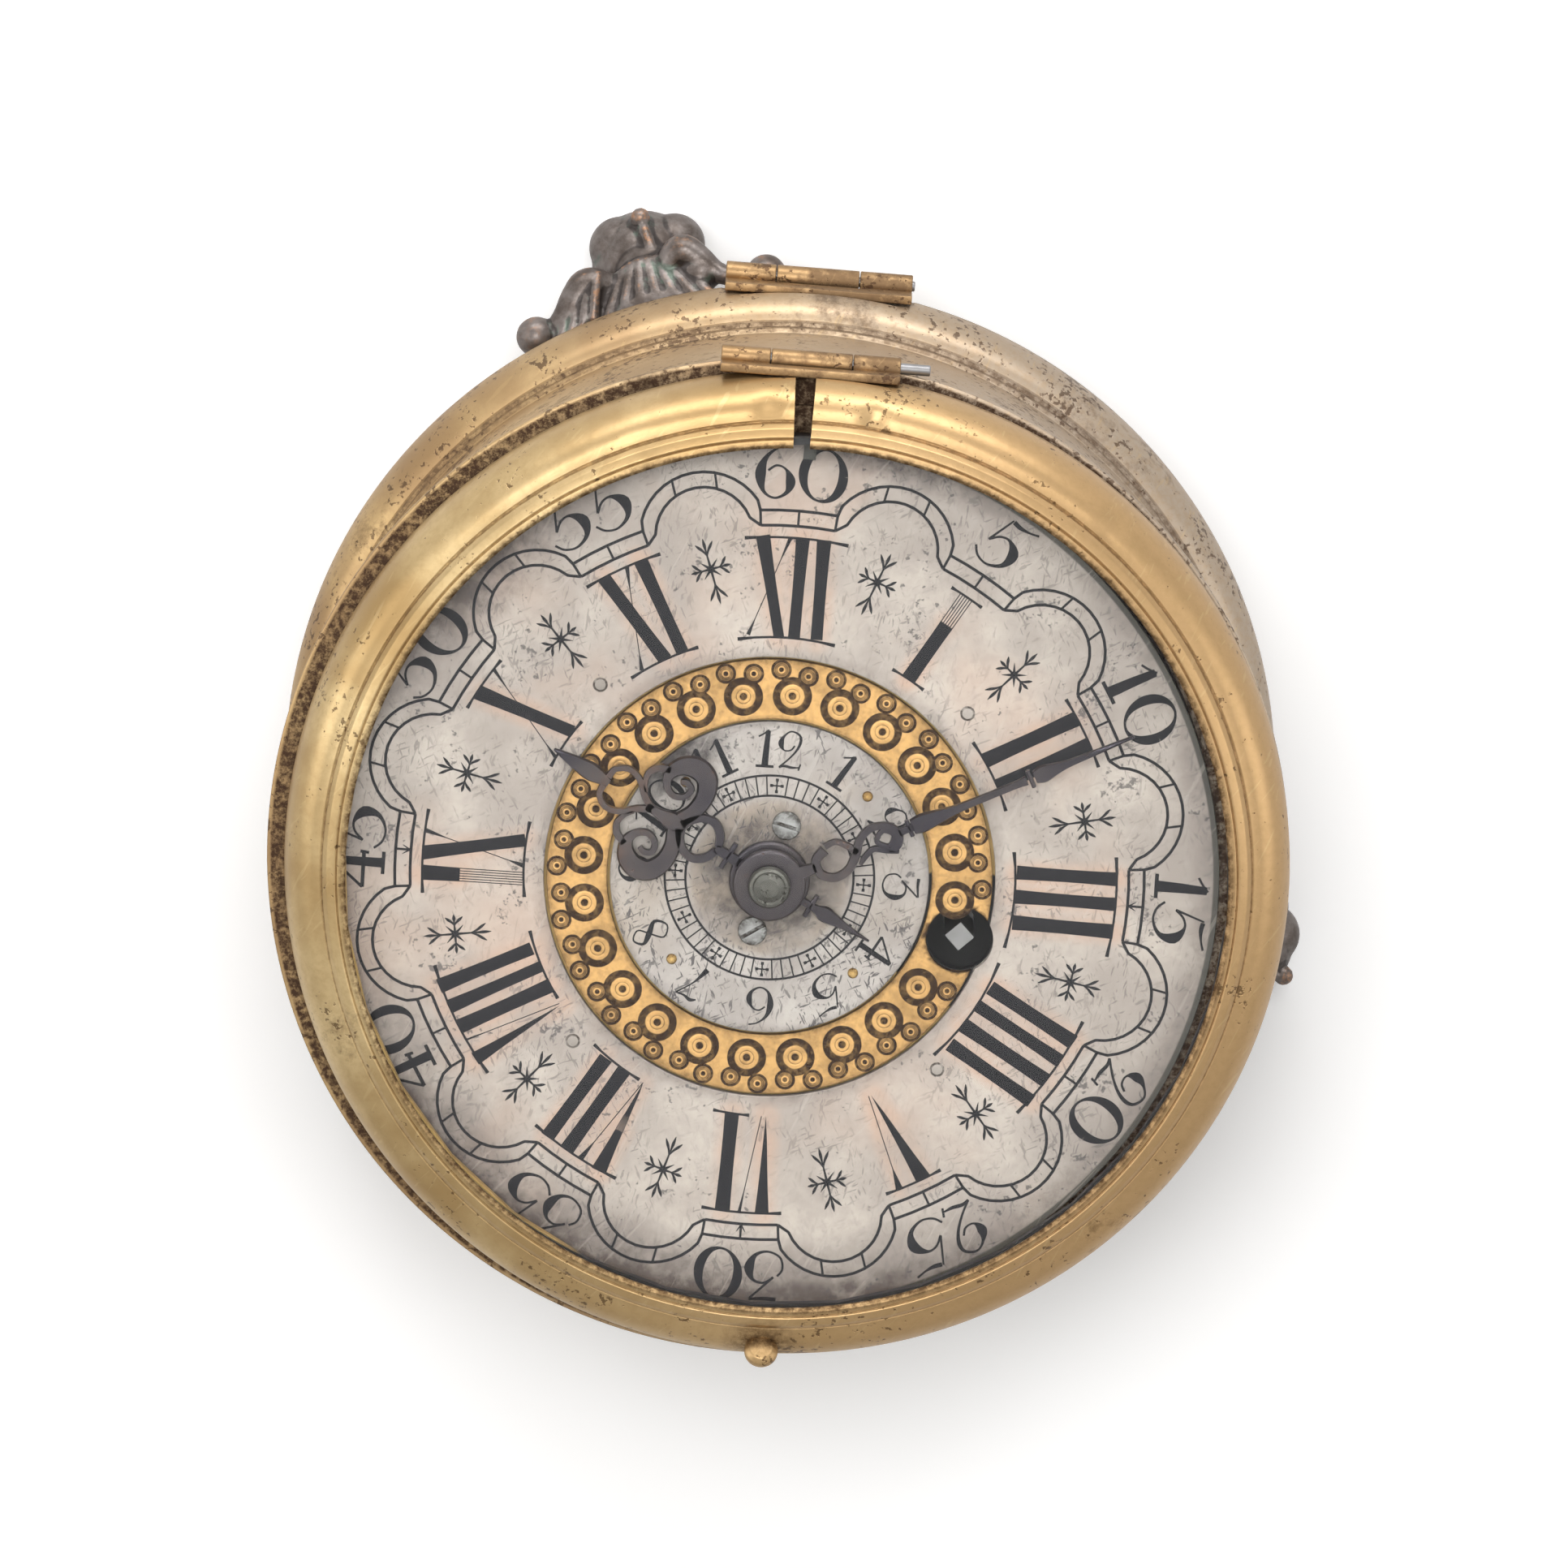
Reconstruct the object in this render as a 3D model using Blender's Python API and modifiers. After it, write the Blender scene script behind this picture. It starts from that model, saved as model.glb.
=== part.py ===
"""Horizontal table clock with alarm.

A gilt drum case stands dial up on three cast feet. The case swings up from the bottom cover, which
carries the bell and the feet, and the glazed bezel swings up from the case. Lengths are in metres.
The clock's own axis is the axis of the drum, 12 o'clock is towards +Y and the floor is at height 0.
"""

import math

import bmesh
import bpy
from mathutils import Matrix, Vector

# Clearances and overruns
SEAT = 0.0003
FIT = 0.0001
OVERRUN = 0.004
MERGE = 0.000005

# Case drum
DRUM_HEIGHT = 0.0430
DRUM_RADIUS = 0.0499
DRUM_WALL = 0.0015
FLANGE_RADIUS = 0.0534
FLANGE_EDGE = 0.0009
COVE_DROP = 0.0050
COVE_RADIUS = 0.0506
COVE_FILLET = 0.0008
BASE_RADIUS = 0.0538
BASE_EDGE = 0.0010
BASE_RISE = 0.0068
BASE_FILLET_RADIUS = 0.0504
BASE_FILLET = 0.0014
LEDGE_INSET = 0.0028
LEDGE_THICKNESS = 0.0014
LEDGE_RISE = 0.0008
LEDGE_RIM = 0.0002
DRUM_STEPS = 40

# Bottom cover
COVER_RADIUS = 0.0532
COVER_THICKNESS = 0.0020
COVER_EDGE_BEAD = 0.0004
COVER_RIM_HEIGHT = 0.0014
COVER_RIM_WALL = 0.0007

# Feet
FOOT_ANGLES = (-20.0, 109.0, 228.0)
FOOT_NAMES = ("foot_back", "foot_right", "foot_left")
FOOT_HEIGHT = 0.0170
BALL_RADIUS = 0.0062
BALL_FLAT = 0.0003
BALL_REACH = 0.0557
FOOT_PAD_RADIUS = 0.0056
FOOT_PAD_THICKNESS = 0.0022
FOOT_PAD_REACH = 0.0445
APRON_TOP_WIDTH = 0.0190
APRON_TOP_DEPTH = 0.0046
APRON_TOP_REACH = 0.0482
APRON_TOP_HEIGHT = 0.0146
APRON_END_WIDTH = 0.0104
APRON_END_DEPTH = 0.0060
APRON_END_REACH = 0.0562
APRON_END_HEIGHT = 0.0100
ARM_RADIUS = 0.0016
VOLUTE_RADIUS = 0.0022
STEM_RADIUS = 0.0016
ARM_START = (0.0050, -0.0014, 0.0018)
ARM_MIDDLE = (0.0098, -0.0014, 0.0032)
VOLUTE_CENTRE = (0.0134, -0.0038, 0.0044)
CLAW_RADIUS = 0.0011
CLAW_TOP = (0.0, 0.0028, 0.0059)
CLAW_MIDDLE = (0.0, 0.0060, 0.0029)
CLAW_TIP = (0.0, 0.0062, -0.0009)
FOOT_SCREW_RADIUS = 0.0011
FOOT_SCREW_HEAD_RADIUS = 0.0022
FOOT_SCREW_HEAD = 0.0010
FOOT_SCREW_BITE = 0.0028

# Bell
BELL_RADIUS = 0.0360
BELL_DEPTH = 0.0086
BELL_WALL = 0.0010
BELL_CROWN_RADIUS = 0.0060
BELL_SEAT_RADIUS = 0.0040
BELL_SEAT_HEIGHT = 0.0010
BELL_POST_RADIUS = 0.0018
BELL_NUT_RADIUS = 0.0034
BELL_NUT_HEIGHT = 0.0018

# Base hinge, between the case and the bottom cover
BASE_HINGE_REACH = 0.0543
BASE_HINGE_DROP = 0.0010
BASE_KNUCKLE_RADIUS = 0.0012
BASE_KNUCKLE_ENDS = (-0.01025, -0.00475, 0.00430, 0.01005)
BASE_PIN_RADIUS = 0.00055
BASE_PIN_STAND = 0.0008
BASE_LEAF_THICKNESS = 0.0009
BASE_LEAF_INSET = 0.0013
BASE_LEAF_TOP = 0.0042
BASE_FLAT_DEPTH = 0.0011
COVER_FLAT_DEPTH = 0.0007

# Bezel hinge, between the bezel and the case
BEZEL_HINGE_REACH = 0.0532
BEZEL_HINGE_RISE = 0.0006
BEZEL_KNUCKLE_RADIUS = 0.0011
BEZEL_KNUCKLE_ENDS = (-0.0102, -0.0050, 0.00355, 0.00855)
BEZEL_PIN_RADIUS = 0.00057
BEZEL_PIN_STAND = 0.0030
BEZEL_LEAF_THICKNESS = 0.0009
BEZEL_LEAF_INSET = 0.0012
BEZEL_LEAF_TOP = 0.0032
LUG_DROP = 0.0032
LUG_INSET = 0.0008

# Bezel, glass and knob
BEZEL_SHIFT = 0.00095
BEZEL_GAP = 0.0011
BEZEL_RADIUS = 0.0524
BEZEL_EDGE = 0.0009
BEZEL_FILLET_RADIUS = 0.04845
BEZEL_ARCH = 0.0058
BEZEL_LIP_RADIUS = 0.0457
BEZEL_LIP_RISE = 0.0017
BEZEL_LIP_THICKNESS = 0.0005
BEZEL_BEAD = 0.00025
BEZEL_SKIRT_RADIUS = 0.0490
BEZEL_SKIRT_DEPTH = 0.0033
GLASS_BED_RADIUS = 0.0470
SPLIT_WIDTH = 0.0019
SPLIT_X = -0.0012
SPLIT_LENGTH = 0.0120
GLASS_PLAY = 0.0003
GLASS_EDGE = 0.0010
GLASS_RISE = 0.0020
GLASS_STEPS = 32
RETAINER_WIDTH = 0.0009
RETAINER_THICKNESS = 0.0010
KNOB_X = 0.0023
KNOB_RADIUS = 0.0018
KNOB_NECK_RADIUS = 0.0010
KNOB_LENGTH = 0.0022
KNOB_NECK_LENGTH = 0.0005
KNOB_TILT = 42.0
KNOB_ARCH_SHARE = 0.70

# Dial
DIAL_RISE = 0.0036
MOVEMENT_SHIFT = (-0.0008, -0.00095)
DIAL_RADIUS = 0.0468
DIAL_PLATE_THICKNESS = 0.0012
CHAPTER_THICKNESS = 0.0010
CHAPTER_INNER_RADIUS = 0.0235
ORNAMENT_INNER_RADIUS = 0.0169
ORNAMENT_DROP = 0.0001
RIVET_CIRCLE = 0.0270
RIVET_RADIUS = 0.00085
RIVET_PROUD = 0.00005
WINDING_REACH = 0.0209
WINDING_ANGLE = 103.9
WINDING_HOLE_RADIUS = 0.0035
DIAL_STEPS = 40
DIAL_FOOT_CIRCLE = 0.0360
DIAL_FOOT_RADIUS = 0.0017
MOTION_SPACE = 0.0075
LATCH_WIDTH = 0.0013
LATCH_LENGTH = 0.0022
LATCH_THICKNESS = 0.0005
LATCH_X = -0.0002

# Alarm disc
ALARM_DISC_RADIUS = 0.0166
ALARM_DISC_THICKNESS = 0.0009
ALARM_DISC_BORE = 0.00305
ALARM_SCREW_CIRCLE = 0.0059
ALARM_SCREW_ANGLES = (13.0, 193.0)
ALARM_SCREW_RADIUS = 0.0015
ALARM_SCREW_HEAD = 0.0004
ALARM_SCREW_SHANK = 0.0006
ALARM_SLOT_WIDTH = 0.0004
ALARM_SLOT_DEPTH = 0.00025
ALARM_PIN_CIRCLE = 0.0134
ALARM_PIN_RADIUS = 0.00055
ALARM_PIN_PROUD = 0.0003

# Hands
HOUR_HAND_LENGTH = 0.0263
HOUR_HAND_ANGLE = 297.5
HOUR_TAIL_LENGTH = 0.0120
HOUR_BOSS_RADIUS = 0.0044
HOUR_HAND_RISE = 0.0007
HOUR_HAND_THICKNESS = 0.0008
HOUR_NECK = 0.0009
HOUR_LOBE_REACH = 0.0135
HOUR_LOBE_SPREAD = 0.0034
HOUR_LOBE_RADIUS = 0.0030
HOUR_LOBE_HOLE = 0.0018
HOUR_SPEAR_WIDTH = 0.0024
MINUTE_HAND_LENGTH = 0.0414
MINUTE_HAND_ANGLE = 62.7
MINUTE_BOSS_RADIUS = 0.0038
MINUTE_HAND_GAP = 0.0014
MINUTE_HAND_THICKNESS = 0.0008
MINUTE_SCROLL_REACH = 0.0064
MINUTE_SCROLL_RADIUS = 0.0022
MINUTE_SCROLL_HOLE = 0.0013
MINUTE_WAIST = 0.0006
COLLET_RADIUS = 0.0022
COLLET_HEIGHT = 0.0010

# Movement frame
PILLAR_PLATE_RADIUS = 0.0410
BACK_PLATE_RADIUS = 0.0400
PLATE_THICKNESS = 0.0018
PILLAR_HEIGHT = 0.0160
PILLAR_RADIUS = 0.0019
PILLAR_BULGE = 0.0027
PILLAR_CIRCLE = 0.0368
PILLAR_ANGLES = (52.0, 150.0, 232.0, 306.0)
PILLAR_TENON_RADIUS = 0.0011
PILLAR_PIN_RADIUS = 0.0005
PILLAR_PIN_LENGTH = 0.0056
PLATE_STEPS = 28

# Teeth
TOOTH_ADDENDUM = 0.90
TOOTH_DEDENDUM = 1.50
LEAF_DEDENDUM = 1.25
LEAF_ROOT_SHARE = 0.44
LEAF_TIP_SHARE = 0.12
ARBOR_RADIUS = 0.0008
PIVOT_RADIUS = 0.0005
ARBOR_STEPS = 10
PILLAR_STEPS = 8

# Motion work
CANNON_LEAVES = 10
MINUTE_WHEEL_TEETH = 30
CANNON_MODULE = 0.00050
MINUTE_PINION_LEAVES = 10
HOUR_WHEEL_TEETH = 40
HOUR_MODULE = 0.00040
MINUTE_WHEEL_ANGLE = 200.0
MOTION_WHEEL_THICKNESS = 0.0012
CANNON_BORE_RADIUS = 0.0013
CANNON_PIPE_RADIUS = 0.0021
CANNON_SEAT_RADIUS = 0.0016
HOUR_PIPE_BORE = 0.00225
HOUR_PIPE_RADIUS = 0.0029
MINUTE_STUD_RADIUS = 0.0009

# Going train
CENTRE_PINION_LEAVES = 8
GREAT_WHEEL_TEETH = 48
CENTRE_WHEEL_TEETH = 48
THIRD_PINION_LEAVES = 6
THIRD_WHEEL_TEETH = 48
CONTRATE_PINION_LEAVES = 6
CONTRATE_TEETH = 30
ESCAPE_PINION_LEAVES = 6
ESCAPE_TEETH = 15
CENTRE_MODULE = 0.00049
THIRD_MODULE = 0.00039
THIRD_ANGLE = 235.0
CONTRATE_TURN = 150.0
WHEEL_THICKNESS = 0.0010
GREAT_WHEEL_THICKNESS = 0.0014
CENTRE_ARBOR_RADIUS = 0.0011
CONTRATE_RADIUS = 0.0070
CONTRATE_RIM = 0.0009
CONTRATE_TOOTH = 0.0009
CONTRATE_HEIGHT = 0.0020
ESCAPE_RADIUS = 0.0037
ESCAPE_RIM = 0.0005
ESCAPE_TOOTH = 0.0012
ESCAPE_DEPTH = 0.0022
VERGE_REACH = 0.0160
POTENCE_REACH = 0.0102
POTENCE_THICKNESS = 0.0016
POTENCE_WIDTH = 0.0036
FUSEE_LARGE_RADIUS = 0.0118
FUSEE_SMALL_RADIUS = 0.0064
FUSEE_GROOVES = 4
FUSEE_GROOVE_DEPTH = 0.0005
WINDING_ARBOR_RADIUS = 0.0016
WINDING_SQUARE = 0.00215
WINDING_SQUARE_DROP = 0.0016
BARREL_POSITION = (0.0020, 0.0262)
BARREL_RADIUS = 0.0125
BARREL_WALL = 0.0007
BARREL_ARBOR_RADIUS = 0.0014
SPRING_COIL_INNER = 0.0040
CHAIN_THICKNESS = 0.0006
CHAIN_WIDTH = 0.0014

# Balance
BALANCE_RADIUS = 0.0090
BALANCE_RIM = 0.0012
BALANCE_THICKNESS = 0.0010
BALANCE_DROP = 0.0020
BALANCE_ARMS = 3
BALANCE_ARM_WIDTH = 0.0011
VERGE_RADIUS = 0.0005
PALLET_REACH = 0.00085
PALLET_HEIGHT = 0.0014
COCK_THICKNESS = 0.0010
COCK_GAP = 0.0014
COCK_TABLE_RADIUS = 0.0078
COCK_FOOT_REACH = 0.0122
COCK_FOOT_RADIUS = 0.0024
COCK_FOOT_TURN = 70.0
SPIRAL_INNER = 0.0016
SPIRAL_OUTER = 0.0048
SPIRAL_WIRE = 0.00014
SPIRAL_TURNS = 3
SPIRAL_POINTS = 10

# Alarm train
ALARM_BARREL_POSITION = (-0.0270, 0.0070)
ALARM_BARREL_RADIUS = 0.0076
ALARM_WHEEL_TEETH = 36
ALARM_PINION_LEAVES = 8
ALARM_MODULE = 0.00050
ALARM_MESH_TURN = 60.0
ALARM_ESCAPE_TEETH = 20
ALARM_ESCAPE_RADIUS = 0.0056
HAMMER_REACH = 0.0082
HAMMER_TURN = 340.0
HAMMER_ARM_WIDTH = 0.0014
HAMMER_ARM_THICKNESS = 0.0010
HAMMER_HEAD_RADIUS = 0.0016
HAMMER_HEAD_DROP = 0.0052
HAMMER_GAP = 0.0024
HAMMER_BELL_ANGLE = 282.0

# Heights above the floor, each worked out from the one below
COVER_BOTTOM = FOOT_HEIGHT + SEAT
COVER_TOP = COVER_BOTTOM + COVER_THICKNESS
DRUM_BOTTOM = COVER_TOP + SEAT
FLANGE_TOP = DRUM_BOTTOM + DRUM_HEIGHT
LEDGE_TOP = FLANGE_TOP + LEDGE_RISE
BEZEL_BOTTOM = FLANGE_TOP + BEZEL_GAP
BEZEL_SHOULDER = BEZEL_BOTTOM + BEZEL_EDGE
BEZEL_CREST = BEZEL_SHOULDER + BEZEL_ARCH
BEZEL_TOP = BEZEL_CREST + BEZEL_LIP_RISE
GLASS_TOP = BEZEL_TOP - BEZEL_LIP_THICKNESS - SEAT
GLASS_BOTTOM = GLASS_TOP - GLASS_EDGE
DIAL_TOP = FLANGE_TOP + DIAL_RISE
CHAPTER_BOTTOM = DIAL_TOP - CHAPTER_THICKNESS
DIAL_PLATE_TOP = CHAPTER_BOTTOM - SEAT
DIAL_PLATE_BOTTOM = DIAL_PLATE_TOP - DIAL_PLATE_THICKNESS
PILLAR_PLATE_TOP = DIAL_PLATE_BOTTOM - MOTION_SPACE
PILLAR_PLATE_BOTTOM = PILLAR_PLATE_TOP - PLATE_THICKNESS
BACK_PLATE_TOP = PILLAR_PLATE_BOTTOM - PILLAR_HEIGHT
BACK_PLATE_BOTTOM = BACK_PLATE_TOP - PLATE_THICKNESS
ALARM_DISC_TOP = DIAL_TOP - ORNAMENT_DROP
HOUR_HAND_BOTTOM = DIAL_TOP + HOUR_HAND_RISE
HOUR_HAND_TOP = HOUR_HAND_BOTTOM + HOUR_HAND_THICKNESS
MINUTE_HAND_BOTTOM = HOUR_HAND_TOP + MINUTE_HAND_GAP
MINUTE_HAND_TOP = MINUTE_HAND_BOTTOM + MINUTE_HAND_THICKNESS
BASE_HINGE_HEIGHT = DRUM_BOTTOM - BASE_HINGE_DROP
BEZEL_HINGE_HEIGHT = FLANGE_TOP + BEZEL_HINGE_RISE
BORE_RADIUS = DRUM_RADIUS - DRUM_WALL
LEDGE_RADIUS = BORE_RADIUS - LEDGE_INSET

# Levels of the train between the plates, from the pillar plate down
GREAT_WHEEL_TOP = PILLAR_PLATE_BOTTOM - PLATE_THICKNESS * 0.8
GREAT_WHEEL_BOTTOM = GREAT_WHEEL_TOP - GREAT_WHEEL_THICKNESS
THIRD_WHEEL_TOP = GREAT_WHEEL_BOTTOM - GREAT_WHEEL_THICKNESS
THIRD_WHEEL_BOTTOM = THIRD_WHEEL_TOP - WHEEL_THICKNESS
CONTRATE_TOP = THIRD_WHEEL_BOTTOM - WHEEL_THICKNESS * 2.4
CENTRE_WHEEL_BOTTOM = BACK_PLATE_TOP + PLATE_THICKNESS
CENTRE_WHEEL_TOP = CENTRE_WHEEL_BOTTOM + WHEEL_THICKNESS

# Reach of the outermost pieces, which centres the part over its own footprint
CLAW_REACH = BALL_REACH + CLAW_MIDDLE[1]
RIGHT_REACH = CLAW_REACH * math.sin(math.radians(FOOT_ANGLES[1])) + CLAW_RADIUS
BACK_REACH = CLAW_REACH * math.cos(math.radians(FOOT_ANGLES[0])) + CLAW_RADIUS
AXIS_X = (BASE_RADIUS - RIGHT_REACH) / 2
AXIS_Y = (BASE_RADIUS - BACK_REACH) / 2

# Colours, roughness and metallic value
GILT = ((0.62, 0.40, 0.15), 0.34, 1.0)
OLD_GILT = ((0.50, 0.34, 0.16), 0.42, 1.0)
BRASS = ((0.60, 0.44, 0.18), 0.38, 1.0)
SILVER = ((0.62, 0.58, 0.53), 0.45, 0.8)
BLUED = ((0.06, 0.055, 0.065), 0.35, 0.9)
STEEL = ((0.35, 0.35, 0.36), 0.35, 1.0)
BRONZE = ((0.13, 0.10, 0.085), 0.42, 0.9)
BELL_METAL = ((0.52, 0.42, 0.26), 0.35, 1.0)
CLEAR = ((0.90, 0.93, 0.92), 0.05, 0.0)

PLACES = {}


def remove_all():
    """Empty the file of objects before the clock is built."""
    for thing in list(bpy.data.objects):
        bpy.data.objects.remove(thing, do_unlink=True)


def holder(name):
    """Collection of the given name, linked to the scene."""
    group = bpy.data.collections.new(name)
    bpy.context.scene.collection.children.link(group)
    return group


def finish(name, look):
    """Material of its own for one piece."""
    colour, roughness, metallic = look
    material = bpy.data.materials.new(name)
    material.use_nodes = True
    shader = material.node_tree.nodes["Principled BSDF"]
    shader.inputs["Base Color"].default_value = (*colour, 1.0)
    shader.inputs["Roughness"].default_value = roughness
    shader.inputs["Metallic"].default_value = metallic
    return material


def move_to(thing, group):
    """Take an object out of its collections and link it to one."""
    for old in list(thing.users_collection):
        old.objects.unlink(thing)
    group.objects.link(thing)


def frame(name, position, parent=None):
    """Empty at a position in the clock's own axes, under its parent."""
    empty = bpy.data.objects.new(name, None)
    PARTS.objects.link(empty)
    base = Vector((0, 0, 0))
    if parent is not None:
        empty.parent = parent
        base = PLACES[parent.name]
    PLACES[name] = Vector(position)
    empty.location = Vector(position) - base
    return empty


def put(thing, parent, position=(0, 0, 0), turn=(0, 0, 0)):
    """Parent a piece and place it at a position in the clock's own axes."""
    thing.parent = parent
    thing.location = Vector(position) - PLACES[parent.name]
    thing.rotation_euler = turn
    return thing


def piece(thing, name, look, parent, position=(0, 0, 0), turn=(0, 0, 0)):
    """Make an object one of the clock's pieces: its name, finish, parent and place."""
    thing.name = name
    thing.data.name = name
    thing.data.materials.clear()
    thing.data.materials.append(finish(name, look))
    move_to(thing, PARTS)
    return put(thing, parent, position, turn)


def cutter(thing, parent, position=(0, 0, 0), turn=(0, 0, 0)):
    """Make an object a cutter or an added body: hidden, drawn as wire."""
    move_to(thing, TOOLS)
    thing.hide_render = True
    thing.display_type = "WIRE"
    return put(thing, parent, position, turn)


def combine(thing, other, operation):
    """Boolean of one object with another."""
    step = thing.modifiers.new(operation.lower(), "BOOLEAN")
    step.object = other
    step.operation = operation
    step.solver = "EXACT"
    return thing


def clock_point(radius, degrees, centre=(0, 0)):
    """Point at a radius and at degrees clockwise from 12 o'clock."""
    angle = math.radians(degrees)
    return (centre[0] + radius * math.sin(angle), centre[1] + radius * math.cos(angle))


def arc(radius, start, end, count, centre=(0, 0)):
    """Points of an arc, in degrees anticlockwise from +X."""
    points = []
    for index in range(count):
        angle = math.radians(start + (end - start) * index / (count - 1))
        points.append((centre[0] + radius * math.cos(angle), centre[1] + radius * math.sin(angle)))
    return points


def quarter(centre, width, height, start, end, count):
    """Points of an elliptical arc in a turned profile, in degrees from the outward direction."""
    points = []
    for index in range(count):
        angle = math.radians(start + (end - start) * index / (count - 1))
        points.append((centre[0] + width * math.cos(angle), centre[1] + height * math.sin(angle)))
    return points


def turned(profile, steps, closed=True):
    """Solid swept round the vertical axis from a profile of (radius, height) points.

    The profile runs down the outer side and, where it is closed, up the inner side.
    """
    mesh = bpy.data.meshes.new("turned")
    edges = [(index, index + 1) for index in range(len(profile) - 1)]
    if closed:
        edges.append((len(profile) - 1, 0))
    mesh.from_pydata([(radius, 0, height) for radius, height in profile], edges, [])
    thing = bpy.data.objects.new("turned", mesh)
    PARTS.objects.link(thing)
    screw = thing.modifiers.new("turn", "SCREW")
    screw.steps = steps
    screw.render_steps = steps
    screw.use_merge_vertices = True
    screw.merge_threshold = MERGE
    screw.use_smooth_shade = True
    return thing


def rod(radius, bottom, top, steps=ARBOR_STEPS):
    """Plain round bar between two heights."""
    return turned([(0, top), (radius, top), (radius, bottom), (0, bottom)], steps, closed=False)


def ring(outer, inner, bottom, top, steps):
    """Plain ring between two radii and two heights."""
    return turned([(outer, top), (outer, bottom), (inner, bottom), (inner, top)], steps)


def box(size, centre=(0, 0, 0)):
    """Block of a size about a centre in its own axes."""
    bpy.ops.mesh.primitive_cube_add(size=1)
    thing = bpy.context.active_object
    thing.data.transform(Matrix.Translation(centre) @ Matrix.Diagonal((*size, 1)))
    return thing


def round_bar(radius, length, axis="X", centre=(0, 0, 0), sides=16):
    """Cylinder along one of the axes, about a centre in its own axes."""
    bpy.ops.mesh.primitive_cylinder_add(vertices=sides, radius=radius, depth=length)
    thing = bpy.context.active_object
    turn = {"X": Matrix.Rotation(math.pi / 2, 4, "Y"), "Y": Matrix.Rotation(math.pi / 2, 4, "X")}
    thing.data.transform(Matrix.Translation(centre) @ turn.get(axis, Matrix.Identity(4)))
    return thing


def flat(outlines, bottom, top):
    """Plate between two heights, from an outline and the outlines of its holes."""
    curve = bpy.data.curves.new("flat", "CURVE")
    curve.dimensions = "2D"
    curve.fill_mode = "BOTH"
    curve.extrude = (top - bottom) / 2
    for outline in outlines:
        spline = curve.splines.new("POLY")
        spline.points.add(len(outline) - 1)
        for point, (x, y) in zip(spline.points, outline):
            point.co = (x, y, 0, 1)
        spline.use_cyclic_u = True
    thing = bpy.data.objects.new("flat", curve)
    PARTS.objects.link(thing)
    thing.location.z = (top + bottom) / 2
    return as_mesh(thing)


def as_mesh(thing):
    """Mesh object in place of one that is still a curve or has modifiers, seams welded."""
    bpy.context.view_layer.update()
    graph = bpy.context.evaluated_depsgraph_get()
    mesh = bpy.data.meshes.new_from_object(thing.evaluated_get(graph))
    mesh.transform(thing.matrix_world)
    work = bmesh.new()
    work.from_mesh(mesh)
    bmesh.ops.remove_doubles(work, verts=work.verts, dist=MERGE)
    bmesh.ops.recalc_face_normals(work, faces=work.faces)
    work.to_mesh(mesh)
    work.free()
    solid = bpy.data.objects.new(thing.name, mesh)
    PARTS.objects.link(solid)
    bpy.data.objects.remove(thing, do_unlink=True)
    return solid


def tube(points, radii, sides=1):
    """Tube along points, with a radius at each one."""
    curve = bpy.data.curves.new("tube", "CURVE")
    curve.dimensions = "3D"
    curve.bevel_depth = 1.0
    curve.bevel_resolution = sides
    curve.use_fill_caps = True
    spline = curve.splines.new("POLY")
    spline.points.add(len(points) - 1)
    for point, place, radius in zip(spline.points, points, radii):
        point.co = (*place, 1)
        point.radius = radius
    thing = bpy.data.objects.new("tube", curve)
    PARTS.objects.link(thing)
    return as_mesh(thing)


def spread(thing, places):
    """Repeat a solid at each of the places, as separate bodies of one object."""
    solid = as_mesh(thing)
    work = bmesh.new()
    for place in places:
        first = len(work.verts)
        work.from_mesh(solid.data)
        work.verts.ensure_lookup_table()
        bmesh.ops.translate(work, verts=work.verts[first:], vec=place)
    work.to_mesh(solid.data)
    work.free()
    return solid


def tooth_ring(teeth, towards, corners):
    """Outline that repeats the corners of one tooth, given as radii and shares of half a pitch."""
    pitch = 360.0 / teeth
    points = []
    for tooth in range(teeth):
        for radius, share in corners:
            angle = math.radians(towards + (tooth + share / 2) * pitch)
            points.append((radius * math.cos(angle), radius * math.sin(angle)))
    return points


def wheel_outline(teeth, module, towards):
    """Outline of a wheel with pointed teeth, one of them in the given direction in degrees."""
    root = module * (teeth / 2 - TOOTH_DEDENDUM)
    tip = module * (teeth / 2 + TOOTH_ADDENDUM)
    return tooth_ring(teeth, towards, [(tip, 0), (root, 1.0)])


def leaf_outline(teeth, module, towards):
    """Outline of a pinion, one of its leaves in the given direction in degrees."""
    root = module * (teeth / 2 - LEAF_DEDENDUM)
    tip = module * (teeth / 2 + TOOTH_ADDENDUM)
    return tooth_ring(teeth, towards, [
        (root, -LEAF_ROOT_SHARE),
        (tip, -LEAF_TIP_SHARE),
        (tip, LEAF_TIP_SHARE),
        (root, LEAF_ROOT_SHARE),
    ])


def windows(outer, inner, arms, arm_width, turn=0.0):
    """Outlines of the openings between the arms of a wheel."""
    openings = []
    for arm in range(arms):
        start = turn + 360.0 * arm / arms
        end = start + 360.0 / arms
        wide = math.degrees(arm_width / 2 / outer)
        narrow = math.degrees(arm_width / 2 / inner)
        rim = arc(outer, start + wide, end - wide, 5)
        hub = arc(inner, end - narrow, start + narrow, 2)
        openings.append(rim + hub)
    return openings


def circle(radius, count, centre=(0, 0)):
    """Points of a full circle."""
    return arc(radius, 0.0, 360.0 * (count - 1) / count, count, centre)


def wheel(teeth, module, towards, bore, bottom, top, arms=0, hub=0.0, arm_width=0.0):
    """Toothed wheel with a bore and, where it has arms, openings between them."""
    outlines = [wheel_outline(teeth, module, towards)]
    outlines.append(circle(bore, ARBOR_STEPS))
    if arms:
        rim = module * (teeth / 2 - TOOTH_DEDENDUM * 2)
        outlines += windows(rim, hub, arms, arm_width)
    return flat(outlines, bottom, top)


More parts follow.
